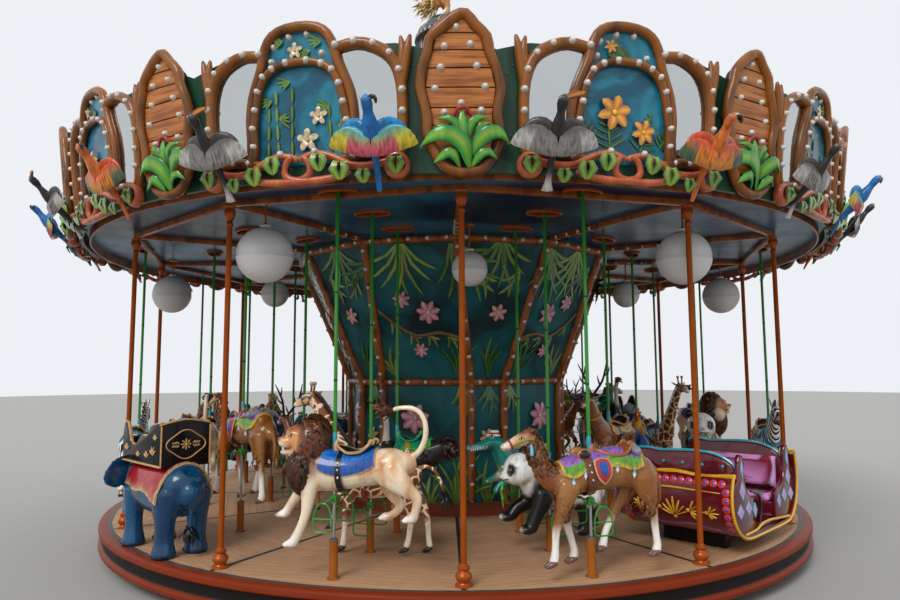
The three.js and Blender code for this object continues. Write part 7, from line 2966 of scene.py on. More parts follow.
class Rooster(Figure):
    """Striding rooster with a fan of tail feathers."""

    name = "rooster"
    slot = "rooster_blue"
    seat = 0.955
    step = 0.43
    apart = 0.075
    finish = Hides.feather
    base = "1f5fa8"
    spine = Spine((
        (-0.52, 0.98, 0.04, 0.08), (-0.4, 0.94, 0.08, 0.12), (-0.26, 0.85, 0.13, 0.16),
        (-0.08, 0.79, 0.17, 0.18), (0.1, 0.79, 0.15, 0.175), (0.21, 0.88, 0.105, 0.14),
        (0.27, 1.0, 0.07, 0.09), (0.31, 1.12, 0.052, 0.062), (0.36, 1.2, 0.05, 0.05),
        (0.4, 1.21, 0.035, 0.035)))
    legs = (
        (1, (
            (-0.06, 0.7, 0.085, 0.12), (0.0, 0.57, 0.06, 0.07), (0.04, 0.45, 0.034, 0.038),
            (0.04, 0.36, 0.022, 0.024), (0.05, 0.28, 0.022, 0.024),
            (0.06, 0.245, 0.03, 0.02), (0.12, 0.228, 0.022, 0.012))), (-1, (
            (-0.06, 0.7, 0.085, 0.12), (-0.05, 0.57, 0.06, 0.07), (-0.04, 0.45, 0.034, 0.038),
            (-0.08, 0.37, 0.022, 0.024), (-0.11, 0.3, 0.022, 0.024), (-0.1, 0.26, 0.03, 0.02),
            (-0.04, 0.24, 0.022, 0.012))))
    saddle = Saddle(
        1.8, 4.4, 58.0, ("b8862e", "8a2a30", "2a8f5a"), "3a1612", "c49a6a", 2, 6.0, "1c1a1a", 0.5, 0.26)

    def colour(self, brush: Brush) -> None:
        """Gilds the neck and the legs."""
        neck = np.clip((brush.points[:, 2] - 0.93) / 0.08, 0, 1) * (brush.points[:, 0] > 0.1)
        brush.over(neck, "d9a22e")
        brush.spot((0.36, 0, 1.21), (0.08, 0.07, 0.06), "b5302a", 0.4)
        low = np.clip((0.55 - brush.points[:, 2]) / 0.05, 0, 1)
        brush.over(low, "d9a02e").fade(low * 0.6)

    def details(self) -> list[Piece]:
        """Adds the beak, comb, hackles and tail."""
        parts = self.pair(lambda side: self.eye((0.375, side * 0.045, 1.22), 0.014, "20120c"))
        parts.append(tack("d9942a", "beak", [
            (0.4, 0, 1.21, 0.026, 0.022), (0.445, 0, 1.2, 0.016, 0.014), (0.475, 0, 1.18, 0.004)], 8, 3))
        for i in range(5):
            x = 0.28 + 0.035 * i
            parts.append(tack("b5202a", "comb", [(x, 0, 1.23, 0.014, 0.02), (
                x - 0.008, 0, 1.27 + 0.02 * math.sin(i * 0.8), 0.01, 0.012)], 6, 3))
        parts.append(bead("b5202a", "wattle", (0.395, 0, 1.14), (0.022, 0.018, 0.045), 10, 8))
        for i in range(9):
            turn = math.radians(30 + 16 * i)
            size = 0.34 - 0.02 * abs(i - 4)
            way = np.array((-math.cos(turn) * 0.95, (i % 3 - 1) * 0.12, math.sin(turn)))
            root = np.array((-0.47, 0, 1.0))
            middle = root + way * size * 0.6 + np.array((-0.02, 0, 0.05))
            tip = root + way * size + np.array((-0.04, 0, -0.03))
            path = [tuple(root), tuple(middle), (max(tip[0], -0.66), tip[1], min(tip[2], 1.2))]
            parts.append(leaf(
                "sickle", path, 0.036, "e6c84a", ("1c6a4a", "1f4f9a", "c9942a")[i % 3], 0.008, 8, 1,
                across=(0.2, 1, 0)))
        parts.append(locks(
            "hackles", (0.23, 0, 0.98), (0.1, 0.095, 0.16), 70, 0.14, (-0.1, 0, -1.0), ("c98a22", "ecc24a"),
            width=0.018, seed=5))
        parts.append(locks(
            "wings", (-0.12, 0, 0.84), (0.24, 0.185, 0.13), 86, 0.17, (-1.0, 0, -0.25),
            ("1d4f96", "2f9ab0"), lambda way: abs(way[1]) > 0.35 and way[2] < 0.6, 0.026, 6))
        return parts


class Crocodile(Figure):
    """Upright crocodile with a ridged back and a small cap."""

    name = "crocodile"
    slot = "crocodile_teal"
    seat = 0.86
    step = 0.38
    apart = 0.11
    finish = Hides.skin
    base = "16857a"
    spine = Spine((
        (-0.6, 0.83, 0.012, 0.014), (-0.57, 0.74, 0.035, 0.035), (-0.5, 0.635, 0.06, 0.06),
        (-0.38, 0.6, 0.09, 0.09), (-0.22, 0.64, 0.13, 0.125), (-0.05, 0.68, 0.16, 0.16),
        (0.1, 0.76, 0.155, 0.16), (0.19, 0.87, 0.12, 0.13), (0.25, 0.96, 0.1, 0.1),
        (0.32, 1.0, 0.095, 0.08), (0.42, 0.975, 0.07, 0.055), (0.53, 0.95, 0.052, 0.036),
        (0.6, 0.94, 0.048, 0.028)))
    legs = (
        (1, (
            (0.12, 0.66, 0.06, 0.075), (0.2, 0.59, 0.05, 0.056),
            (0.28, 0.53, 0.042, 0.045), (0.33, 0.48, 0.05, 0.03))), (-1, (
            (0.12, 0.66, 0.06, 0.075), (0.2, 0.61, 0.05, 0.056),
            (0.3, 0.58, 0.042, 0.045), (0.36, 0.55, 0.05, 0.03))), (1, (
            (-0.22, 0.58, 0.085, 0.1), (-0.13, 0.48, 0.065, 0.075),
            (-0.09, 0.38, 0.05, 0.055), (-0.05, 0.32, 0.058, 0.035))), (-1, (
            (-0.22, 0.58, 0.085, 0.1), (-0.18, 0.47, 0.065, 0.075), (-0.18, 0.37, 0.05, 0.055),
            (-0.14, 0.31, 0.058, 0.035))))
    saddle = Saddle(
        4.0, 6.2, 66.0, ("b5302a", "d9a22e", "efe2c0"), "3a1612", "c49a6a", 2, 6.0, "1c1a1a", 0.5, 0.26)

    def colour(self, brush: Brush) -> None:
        """Lightens the belly and silvers the snout."""
        brush.spot((-0.05, 0, 0.52), (0.4, 0.14, 0.1), "d8d0a0", 0.5)
        brush.spot((0.52, 0, 0.94), (0.13, 0.08, 0.04), "a9cdd4", 0.4)
        brush.spot((0.16, 0, 0.66), (0.12, 0.14, 0.12), "c9cf9a", 0.5)

    def details(self) -> list[Piece]:
        """Adds the ridges, eyes, teeth and cap."""
        parts = self.pair(lambda side: [*self.eye((0.345, side * 0.062, 1.072), 0.022, "1a120c"), toned(
            ball("nostril", (0.6, side * 0.02, 0.966), (0.014, 0.012, 0.012), 8, 6), "7fb0b8", Hides.skin)])
        for i in range(20):
            t = 1.2 + 5.9 * i / 19
            for angle in (-26, 0, 26):
                if 3.9 < t < 6.3:
                    continue
                root, tip = self.spine.on(t, angle, -0.012), self.spine.on(t + 0.03, angle * 0.85, 0.026)
                parts.append(toned(swept(
                    "ridge", [(*root, 0.02, 0.026), (*tip, 0.004, 0.006)], 5, 2, 1), "0f5a58", Hides.skin))
        for side in BOTH:
            for i in range(7):
                x, y, z = self.spine.on(9.9 + 0.3 * i, side * 96, -0.002)
                parts.append(tack("f4efe2", "tooth", [
                    (x, y, z - 0.004, 0.007), (x, y * 1.02, z - 0.026, 0.002)], 5, 1, 1))
        cap = turned("cap", [
            (0, 1.14), (0.04, 1.138), (0.052, 1.125), (0.052, 1.09), (0.07, 1.082), (0.07, 1.074),
            (0, 1.07)], 20, (0.29, 0, 0))
        band = turned(
            "band", [(0.0525, 1.115), (0.055, 1.113), (0.055, 1.097), (0.0525, 1.095), (0.0525, 1.115)], 20,
            (0.29, 0, 0))
        return [*parts, toned(cap, "efece6", Hides.tack, 35), toned(band, "b5302a", Hides.tack, 35)]


@dataclass
class Menagerie:
    """All the rising figures, stamped from one master for each species."""

    azimuths: Sequence[int] = (-15, 15, 45, 75, 105, 135, 165, 195, 225, 255, 285, 315)
    outer: Sequence[str] = (
        "lion", "camel", "", "zebra", "lion", "", "camel", "lion", "", "zebra", "zebra", "")
    middle: Sequence[str] = (
        "giraffe", "panda", "", "panda", "giraffe", "camel", "zebra", "giraffe", "", "panda", "lion",
        "camel")
    inner: Sequence[str] = (
        "ostrich", "crocodile", "deer", "rooster", "ostrich", "deer", "crocodile", "ostrich", "rooster",
        "crocodile", "rooster", "deer")
    raised: Sequence[str] = ("panda_2", "camel_2", "panda_3", "camel_4", "deer_1", "ostrich_2", "rooster_3")

    def places(self) -> list[tuple[str, float, float]]:
        """Returns the node, azimuth and reach of each rising figure."""
        counts: dict[str, int] = {}
        found = []
        for i, azimuth in enumerate(self.azimuths):
            for row, reach in ROWS.items():
                kind = getattr(self, row)[i]
                if kind:
                    counts[kind] = counts.get(kind, 0) + 1
                    found.append((f"{kind}_{counts[kind]}", float(azimuth), reach))
        return found

    def build(self) -> None:
        """Stamps every figure with its pole."""
        for species in (
                Lion(), Giraffe(), Ostrich(), Camel(), Panda(), Zebra(), Deer(), Rooster(), Crocodile()):
            body, pole = species.master(), species.fittings()
            log.info("%s has %d faces", species.name, len(body.data.polygons))
            for node, azimuth, reach in self.places():
                if node.rsplit("_", 1)[0] != species.name:
                    continue
                move = mounted(azimuth, reach, DECK_TOP + (STROKE if node in self.raised else 0))
                figure = stamped(f"{node}_figure", body, [move], keep=True)
                rod = stamped(f"{node}_pole", pole, [move], keep=True)
                settle(figure, f"{node}_riser", species.slot, node)
                settle(rod, f"{node}_riser", "pole_green")
            for master in (body, pole):
                bpy.data.objects.remove(master)


# Standing pieces of the ride

def puffed(pad: Piece, reach: float = 0.02, voxel: float = 0.026) -> Piece:
    """Swells a rounded pad by a cloth simulation, and keeps the result as plain mesh.

    Args:
        pad: The pad, a little smaller than it ends up.
        reach: How far a point may move.
        voxel: Grain of the simulated mesh.
    Returns:
        The crowned pad.
    """
    modify(pad, "REMESH", mode="VOXEL", voxel_size=voxel)
    rest = coordinates(pad)
    cloth = pad.modifiers.new("Cloth", "CLOTH")
    cloth.settings.use_pressure = True
    cloth.settings.uniform_pressure_force = 4.0
    cloth.settings.effector_weights.gravity = 0.0
    cloth.point_cache.frame_end = PAD_FRAMES
    for frame in range(1, PAD_FRAMES + 1):
        bpy.context.scene.frame_set(frame)
    swollen = pad.evaluated_get(bpy.context.evaluated_depsgraph_get())
    moved = np.empty(len(rest) * 3)
    swollen.data.vertices.foreach_get("co", moved)
    step = moved.reshape(-1, 3) - rest
    length = np.maximum(np.linalg.norm(step, axis=1, keepdims=True), 1e-9)
    pad.modifiers.remove(cloth)
    reshape(pad, rest + step * np.minimum(1.0, reach / length))
    bpy.context.scene.frame_set(1)
    modify(pad, "SUBSURF", levels=1)
    return modify(pad, "DECIMATE", ratio=PAD_SHARE)


def quarter(points: Points) -> Points:
    """Turns a flat board of x and z into the plane across the ride's run."""
    return np.stack((points[:, 1], points[:, 0], points[:, 2]), 1)


def turned_board(name: str, outline: Sequence[Row], near: float, far: float, bevel: float) -> Piece:
    """Cuts a plate to an outline of y and z, between two places along x."""
    board = plate(name, outline, near, far, bevel)
    reshape(board, quarter(coordinates(board)))
    return weld(board)


def standing(
        kind: str, azimuths: Sequence[float], reach: float,
        parts: Sequence[tuple[Piece, str, str]]) -> None:
    """Stamps the parts of a standing piece at each azimuth and clears their masters away.

    Args:
        kind: Name of the CAD nodes, without their number.
        azimuths: Where the pieces stand.
        reach: How far out they stand.
        parts: Master, name and slot of each part; the first replaces the node.
    """
    for i, azimuth in enumerate(azimuths):
        for k, (master, part, slot) in enumerate(parts):
            node = f"{kind}_{i + 1}"
            piece = stamped(f"{node}_{part}", master, [mounted(azimuth, reach)], keep=True)
            settle(piece, "ride", slot, *(() if k else (node,)))
    for master, _, _ in parts:
        bpy.data.objects.remove(master)


@dataclass(frozen=True)
class Caparison(Saddle):
    """The elephant's blanket, which hangs lower towards the rump."""

    def limit(self, share: Points) -> Points:
        """Returns how far down the cloth hangs along its length."""
        scallop = np.abs(np.sin(share * math.pi * self.waves))
        return self.drop + 13 * (1 - share) ** 6 * 2 + self.depth * (scallop - 0.5)


class Elephant(Figure):
    """Walking elephant that carries a seat box."""

    name = "elephant"
    apart = 0.165
    finish = Hides.skin
    base = "044a72"
    faces = 6400
    spine = Spine((
        (-0.65, 0.6, 0.11, 0.14), (-0.58, 0.62, 0.21, 0.24), (-0.43, 0.635, 0.262, 0.275),
        (-0.15, 0.62, 0.278, 0.285), (0.12, 0.625, 0.27, 0.28), (0.32, 0.66, 0.235, 0.26),
        (0.45, 0.73, 0.18, 0.21), (0.56, 0.775, 0.165, 0.185), (0.66, 0.765, 0.15, 0.175),
        (0.74, 0.68, 0.11, 0.125), (0.79, 0.57, 0.08, 0.085), (0.825, 0.45, 0.064, 0.068),
        (0.86, 0.34, 0.056, 0.058), (0.92, 0.255, 0.048, 0.048), (0.98, 0.25, 0.041, 0.041),
        (1.02, 0.295, 0.036, 0.036)))
    legs = (
        (1, (
            (0.3, 0.58, 0.115, 0.15), (0.31, 0.43, 0.105, 0.12),
            (0.31, 0.3, 0.09, 0.095), (0.3, 0.2, 0.088, 0.09), (0.3, 0.12, 0.1, 0.102),
            (0.3, 0.05, 0.117, 0.12), (0.3, 0.014, 0.119, 0.122))), (-1, (
            (0.3, 0.58, 0.115, 0.15), (0.29, 0.43, 0.105, 0.12),
            (0.3, 0.3, 0.09, 0.095), (0.3, 0.2, 0.088, 0.09), (0.3, 0.12, 0.1, 0.102),
            (0.3, 0.05, 0.117, 0.12), (0.3, 0.014, 0.119, 0.122))), (1, (
            (-0.43, 0.6, 0.13, 0.19), (-0.45, 0.45, 0.115, 0.145),
            (-0.46, 0.32, 0.095, 0.11), (-0.455, 0.2, 0.09, 0.095), (-0.45, 0.12, 0.1, 0.104),
            (-0.45, 0.05, 0.117, 0.12), (-0.45, 0.014, 0.119, 0.122))), (-1, (
            (-0.43, 0.6, 0.13, 0.19), (-0.45, 0.45, 0.115, 0.145), (-0.46, 0.32, 0.095, 0.11),
            (-0.455, 0.2, 0.09, 0.095), (-0.45, 0.12, 0.1, 0.104), (-0.45, 0.05, 0.117, 0.12),
            (-0.45, 0.014, 0.119, 0.122))))
    tail = (
        (-0.6, 0.82, 0.034), (-0.655, 0.72, 0.028), (-0.67, 0.55, 0.024), (-0.665, 0.4, 0.022),
        (-0.66, 0.3, 0.024))
    spots = (135.0, 315.0)
    saddle = Caparison(1.55, 5.7, 88.0, ("a80f18", "a80f18", "c9a472"), waves=3, depth=7.0)
    wall = (
        (-0.5, 0.885), (0.43, 0.885), (0.455, 1.0), (0.45, 1.15), (0.42, 1.26), (0.385, 1.285),
        (0.34, 1.265), (0.29, 1.17), (0.25, 1.09), (0.19, 1.06), (0.12, 1.065), (0.06, 1.1), (0.0, 1.15),
        (-0.08, 1.17), (-0.16, 1.165), (-0.2, 1.2), (-0.24, 1.26), (-0.32, 1.285), (-0.43, 1.3),
        (-0.5, 1.31))

    def skin(self) -> Piece:
        """Melts the body and sets its soles flat on the deck."""
        skin = super().skin()
        points = coordinates(skin)
        points[:, 2] = np.maximum(points[:, 2], 0.001)
        reshape(skin, points)
        return skin

    def lumps(self) -> list[Piece]:
        """Adds the domed head, the cheeks and the ears."""
        lumps = [
            ball("dome", (0.58, 0, 0.87), (0.13, 0.13, 0.11)),
            ball("lip", (0.74, 0, 0.56), (0.06, 0.06, 0.07))]
        for side in BOTH:
            lumps.append(ball("cheek", (0.64, side * 0.09, 0.72), (0.1, 0.07, 0.12)))
            lumps.append(swept("ear", [
                (0.52, side * 0.12, 0.77, 0.12, 0.04), (0.485, side * 0.2, 0.765, 0.165, 0.026),
                (0.445, side * 0.28, 0.73, 0.18, 0.02), (0.425, side * 0.34, 0.68, 0.15, 0.018),
                (0.42, side * 0.37, 0.62, 0.08, 0.016)], 14, 4, across=(0, 0, 1)))
        return lumps

    def colour(self, brush: Brush) -> None:
        """Darkens the soles and lightens the neck behind the ears."""
        brush.below(0.03, "0b2234", 0.03)
        brush.spot((0.44, 0, 0.72), (0.06, 0.33, 0.13), "1f5a7c", 0.8)

    def details(self) -> list[Piece]:
        """Adds eyes, tusks, toenails and the tail's tuft."""
        parts = self.pair(lambda side: [
            *self.eye((0.665, side * 0.128, 0.8), 0.02, "1a120c"), tack("e6ddc8", "tusk", [
                (0.72, side * 0.09, 0.6, 0.026), (0.79, side * 0.115, 0.52, 0.022),
                (0.87, side * 0.12, 0.5, 0.015), (0.94, side * 0.11, 0.53, 0.004)], 10, 3)])
        for x in (0.3, -0.45):
            for side in BOTH:
                for turn in (-50, -17, 17, 50):
                    a = math.radians(turn)
                    parts.append(toned(ball(
                        "nail", (x + 0.112 * math.cos(a), side * self.apart + 0.112 * math.sin(a), 0.028),
                        (0.014, 0.024, 0.022), 8, 6), "2f5f78", Hides.skin))
        parts.append(locks(
            "tuft", (-0.66, 0, 0.29), (0.026, 0.024, 0.03), 26, 0.15, (0, 0, -1.0), ("0c1218", "1c2a34"),
            width=0.012, seed=4, hug=False))
        return parts

    def box(self) -> Piece:
        """Builds the seat box with its mouldings and carved leaves."""
        pieces = [block("floor", (-0.49, -0.255, 0.865), (0.44, 0.255, 0.93), 0.01)]
        for side in BOTH:
            pieces.append(plate("side", self.wall, side * 0.238 - 0.018, side * 0.238 + 0.018, 0.004))
        top = [(y, 1.33 - 0.045 * (abs(y) / 0.255) ** 1.6) for y in np.linspace(0.255, -0.255, 13)]
        pieces.append(turned_board("back", [(-0.255, 0.87), (0.255, 0.87), *top], -0.512, -0.478, 0.004))
        front = [(y, 1.12 + 0.03 * math.cos(y * 12)) for y in np.linspace(0.22, -0.22, 9)]
        pieces.append(turned_board("front", [(-0.22, 0.87), (0.22, 0.87), *front], 0.415, 0.445, 0.004))
        black = [paint(piece, Paints.lacquer) for piece in pieces]
        gold = []
        for side in BOTH:
            rim = [(x, side * 0.238, z, 0.017, 0.011) for x, z in self.wall[3:]]
            foot = [(x, side * 0.257, 0.882, 0.012, 0.012) for x in (-0.5, 0.0, 0.43)]
            gold += [swept("rim", rim, 6, 2, 1, across=(0, 1, 0)), swept("foot", foot, 8, 1)]
            for x, z, size in (
                    (-0.33, 1.02, 0.09), (-0.18, 0.98, 0.07), (0.03, 0.97, 0.06), (0.33, 1.02, 0.075),
                    (-0.38, 1.16, 0.06)):
                for turn in (-55, -18, 18, 55):
                    a = math.radians(turn)
                    way = (math.sin(a), math.cos(a))
                    gold.append(swept("leaf", [
                        (x, side * 0.257, z - size * 0.4, 0.004), (
                            x + way[0] * size * 0.5, side * 0.262,
                            z - size * 0.4 + way[1] * size * 0.6, 0.014, 0.007), (
                            x + way[0] * size, side * 0.259, z - size * 0.4 + way[1] * size,
                            0.003)], 6, 1, 1, across=(0.7, 0, 0.7)))
        lid = [(-0.495, y, z + 0.003, 0.019, 0.012) for y, z in top]
        gold.append(swept("lid", lid, 8, 2, across=(1, 0, 0)))
        for side in BOTH:
            gold.append(swept("corner", [
                (-0.512, side * 0.252, 0.88, 0.009), (-0.512, side * 0.252, 1.1, 0.009),
                (-0.512, side * 0.252, 1.27, 0.009)], 8, 2))
        oval = [
            (
                0.19 * math.cos(t) * (1 + 0.07 * math.cos(4 * t)), 1.09 + 0.13 * math.sin(t)
                * (1 + 0.1 * math.cos(4 * t))) for t in np.linspace(0, 2 * math.pi, 25)[:-1]]
        gold.append(swept("frame", [
            (-0.514, y, z, 0.009, 0.007) for y, z in oval], 8, 2, closed=True, across=(1, 0, 0)))
        gold += self.rosette()
        gold = [paint(piece, Paints.gilt) for piece in gold]
        return smooth(joined("elephant_box", [*black, *gold]), 45)

    @staticmethod
    def rosette() -> list[Piece]:
        """Carves the flower with its two sprigs inside the oval on the back of the seat box."""
        middle = 1.09
        carved = [ball("heart", (-0.516, 0, middle), (0.009, 0.017, 0.017), 8, 6)]
        sprays = [(0.0, middle, math.radians(45 * i), 0.052, 0.018) for i in range(8)]
        sprays += [
            (side * (0.062 + 0.026 * i), middle, math.radians(turn), 0.05 - 0.007 * i, 0.011)
            for side in BOTH for i in range(3) for turn in (90 * side - 38, 90 * side + 38)]
        for y, z, turn, reach, start in sprays:
            way = (math.sin(turn), math.cos(turn))
            rows = [(-0.514, y + way[0] * far, z + way[1] * far, wide, 0.006) for far, wide in (
                (start, 0.003), (start + reach * 0.4, 0.011), (start + reach * 0.75, 0.002))]
            carved.append(swept("petal", rows, 6, 1, 1, across=(0, way[1], -way[0])))
        return carved

    @staticmethod
    def lining() -> Piece:
        """Swells the buttoned lining and the seat."""
        pads = [puffed(block("pad", (-0.476, -0.2, 0.985), (-0.438, 0.2, 1.27), 0.01), 0.01, 0.019), puffed(
            block("seat", (-0.43, -0.2, 0.93), (0.395, 0.2, 0.968), 0.012), 0.012, 0.024)]
        pads += [puffed(
            block("cheek", (-0.42, side * 0.206 - 0.01, 0.98), (-0.19, side * 0.206 + 0.01, 1.16), 0.006),
            0.006, 0.013) for side in BOTH]
        lining = [toned(pad, "b3202c", Hides.vinyl) for pad in pads]
        dots = [
            bead("141214", "button", (-0.43, y, z), (0.006, 0.01, 0.01), 8, 6)
            for y in (-0.14, -0.07, 0, 0.07, 0.14) for z in (1.05, 1.13, 1.21)]
        return joined("elephant_lining", [*lining, *dots])

    def build(self) -> None:
        """Stamps both elephants."""
        skin = self.skin()
        blanket = self.saddle.cover(self.spine, skin)
        parts = (
            (joined("elephant_body", [skin, *self.details()]), "figure", "elephant_blue"),
            (blanket, "blanket", "cloth_red"), (self.box(), "seat_box", "black_trim"),
            (self.lining(), "lining", "cloth_red"))
        standing("elephant", self.spots, ROWS["outer"], parts)


@dataclass
class Chariot:
    """Sleigh-like chariot with two padded benches that face each other."""

    half: float = 0.605
    path: Sequence[Row] = (
        (0.875, 0.77), (0.915, 0.68), (0.932, 0.56), (0.915, 0.44), (0.86, 0.33), (0.77, 0.24),
        (0.65, 0.175), (0.5, 0.15), (0.25, 0.145), (0.0, 0.145), (-0.25, 0.145), (-0.5, 0.15),
        (-0.64, 0.175), (-0.75, 0.25), (-0.83, 0.36), (-0.875, 0.5), (-0.885, 0.64), (-0.87, 0.76),
        (-0.85, 0.855))
    spots: Sequence[float] = (45.0, 225.0)
    reach: float = 3.96

    def __post_init__(self) -> None:
        """Measures the section of the hull."""
        self.line = smoothed(self.path, 3)
        self.run = np.concatenate(((0.0,), np.cumsum(np.linalg.norm(np.diff(self.line, axis=0), axis=1))))
        self.whole = float(self.run[-1])

    def wrap(self, rear: bool) -> Move:
        """Returns the move that lays flat work on an end of the hull.

        The work has x across, -y proud and z down from the top edge.
        """
        def move(points: Points) -> Points:
            """Bends the points round the end."""
            across, deep, up = points.T
            s = self.whole + up if rear else -up
            x, z = (np.interp(s, self.run, self.line[:, i]) for i in (0, 1))
            ahead, rise = (
                np.interp(s + 0.01, self.run, self.line[:, i])
                - np.interp(s - 0.01, self.run, self.line[:, i]) for i in (0, 1))
            size = np.hypot(ahead, rise)
            return np.stack(
                (x + deep * rise / size, -across if rear else across, z - deep * ahead / size), 1)
        return move

    def hull(self) -> Piece:
        """Bends the shell and closes its inner side."""
        def surface(u: Points, v: Points) -> Points:
            """Sweeps the section across."""
            row = np.rint(v * (len(self.line) - 1)).astype(int)
            return np.stack((self.line[row, 0], (2 * u - 1) * self.half, self.line[row, 1]), 1)
        shell = shaped("shell", 8, len(self.line) - 1, surface)
        modify(shell, "SOLIDIFY", thickness=0.036, offset=1)
        weld(shell)
        low = [(x * 0.985, z + 0.006) for x, z in self.line[::-2]]
        top = [(0.72, 0.705), (0.52, 0.645), (0.0, 0.635), (-0.52, 0.645), (-0.7, 0.76)]
        wall = plate("wall", [*low, *top], -self.half, -self.half + 0.04, 0.004)
        floor = block("floor", (-0.62, -0.56, 0.18), (0.62, 0.56, 0.232), 0.01)
        return joined("hull", [paint(piece, Paints.burgundy) for piece in (shell, wall, floor)])

    @staticmethod
    def ends() -> list[Piece]:
        """Makes the cheeks beside the doorway, with their pattern."""
        pieces = []
        for way in (1, -1):
            outline = [
                (0.24, 0.2), (0.62, 0.2), (0.78, 0.29), (0.87, 0.42), (0.885, 0.56), (0.87, 0.66),
                (0.8, 0.7), (0.72, 0.74), (0.69, 0.9), (0.66, 0.955), (0.62, 0.96), (0.585, 0.9),
                (0.57, 0.72), (0.52, 0.6), (0.42, 0.54), (0.3, 0.52), (0.245, 0.48)]
            placed = [(x * way, z) for x, z in outline][::way]
            pieces.append(paint(plate("cheek", placed, 0.545, 0.59, 0.01), Paints.burgundy))
            edge = [(x * way, 0.567, z + 0.003, 0.024, 0.009) for x, z in outline[8:]]
            pieces.append(paint(swept("edge", edge, 8, 3, across=(0, 1, 0)), Paints.burgundy))
            for x, z, wide, high in (
                    (0.63, 0.83, 0.03, 0.075), (0.64, 0.62, 0.07, 0.085), (0.5, 0.44, 0.075, 0.07),
                    (0.34, 0.4, 0.05, 0.07), (0.7, 0.43, 0.08, 0.07)):
                diamond = [
                    (x * way - wide, z), (x * way, z - high), (x * way + wide, z), (x * way, z + high)]
                pieces.append(toned(plate("diamond", diamond, 0.5885, 0.594, 0.002), "d98fd0", Hides.tack))
                loop = [(a, 0.592, b, 0.005) for a, b in diamond]
                line = swept("line", [
                    (*(np.array(p[:3]) * (1 - t) + np.array(q[:3]) * t), 0.005) for p,
                    q in zip(loop, loop[1:] + loop[:1]) for t in (0.0, 0.33, 0.67)], 6, 1, closed=True)
                pieces.append(toned(line, "3fb8c8", Hides.tack))
        return pieces

    @staticmethod
    def rope(rows: Sequence[Row], colour: str, radius: float, pitch: float) -> Piece:
        """Runs a beaded cord along a path."""
        table = smoothed(rows, 12)
        run = np.concatenate(((0.0,), np.cumsum(np.linalg.norm(np.diff(table, axis=0), axis=1))))
        count = max(int(run[-1] / pitch) * 2, 6)
        at = np.linspace(0, run[-1], count + 1)
        path = np.stack([np.interp(at, run, table[:, i]) for i in range(3)], 1)
        size = radius * (1 + 0.17 * np.cos(np.arange(count + 1) * math.pi))
        return tack(colour, "rope", [(*p, r) for p, r in zip(path, size)], 5, 1, across=(0.3, 1, 0.2))

    def trims(self) -> list[Piece]:
        """Runs the yellow cords, the black rail and the feet."""
        edge = [(x, z) for x, z in self.line[::2]]
        rows = [(x, self.half + 0.002, z) for x, z in edge]
        pieces = [self.rope(rows, "e0a81c", 0.015, 0.026), self.rope(
            [(x, -y, z) for x, y, z in rows], "e0a81c", 0.015, 0.026)]
        for x, z, rise in ((0.862, 0.777, 0.012), (-0.836, 0.862, 0.02)):
            top = [(x, y, z + rise * math.cos(y * 10)) for y in np.linspace(-self.half, self.half, 13)]
            pieces.append(self.rope(top, "e0a81c", 0.02, 0.026))
        sill = [
            (0.6, 0.6, 0.2), (0.36, 0.606, 0.21), (0.2, 0.606, 0.245), (0.0, 0.606, 0.25),
            (-0.2, 0.606, 0.235), (-0.6, 0.6, 0.2)]
        pieces.append(self.rope(sill, "e0a81c", 0.013, 0.022))
        rail = [
            (0.24, 0.597, 0.27, 0.013), (0.205, 0.6, 0.4, 0.013), (0.235, 0.602, 0.52, 0.013),
            (0.33, 0.6, 0.57, 0.013), (0.45, 0.597, 0.6, 0.013)]
        pieces.append(tack("141314", "rail", rail, 8, 3))
        pieces += [paint(
            block("foot", (x - 0.06, -0.34, 0.001), (x + 0.06, 0.34, 0.15), 0.01),
            Paints.lacquer) for x in (-0.42, 0.42)]
        return pieces

    def scallops(self) -> list[Piece]:
        """Lays the red and blue scallops along three borders of an end."""
        disc = turned("scallop", [(0, 0.007), (0.03, 0.006), (0.043, -0.002)], 10)
        toned(disc, "d6301f", Hides.tack)
        oval = turned("oval", [(0, 0.0115), (0.014, 0.0105), (0.021, 0.006)], 8)
        reshape(oval, coordinates(oval) * (0.75, 1.35, 1.0))
        toned(oval, "4a4fb0", Hides.tack)
        master = joined("scallop", [disc, oval])
        reshape(master, by_matrix(Matrix.Rotation(math.radians(90), 4, "X"))(coordinates(master)))
        moves = []
        for rear in (False, True):
            wrap = self.wrap(rear)
            places = [(x, -0.065, 0) for x in np.linspace(-0.5, 0.5, 13)]
            places += [(side * 0.545, -0.145 - 0.08 * i, 90 * side) for side in BOTH for i in range(6)]
            for x, z, turn in places:
                matrix = Matrix.Translation((x, 0, z)) @ Matrix.Rotation(math.radians(turn), 4, "Y")
                moves.append(lambda points, m=matrix, w=wrap: w(by_matrix(m)(points)))
        return [stamped("scallops", master, moves)]

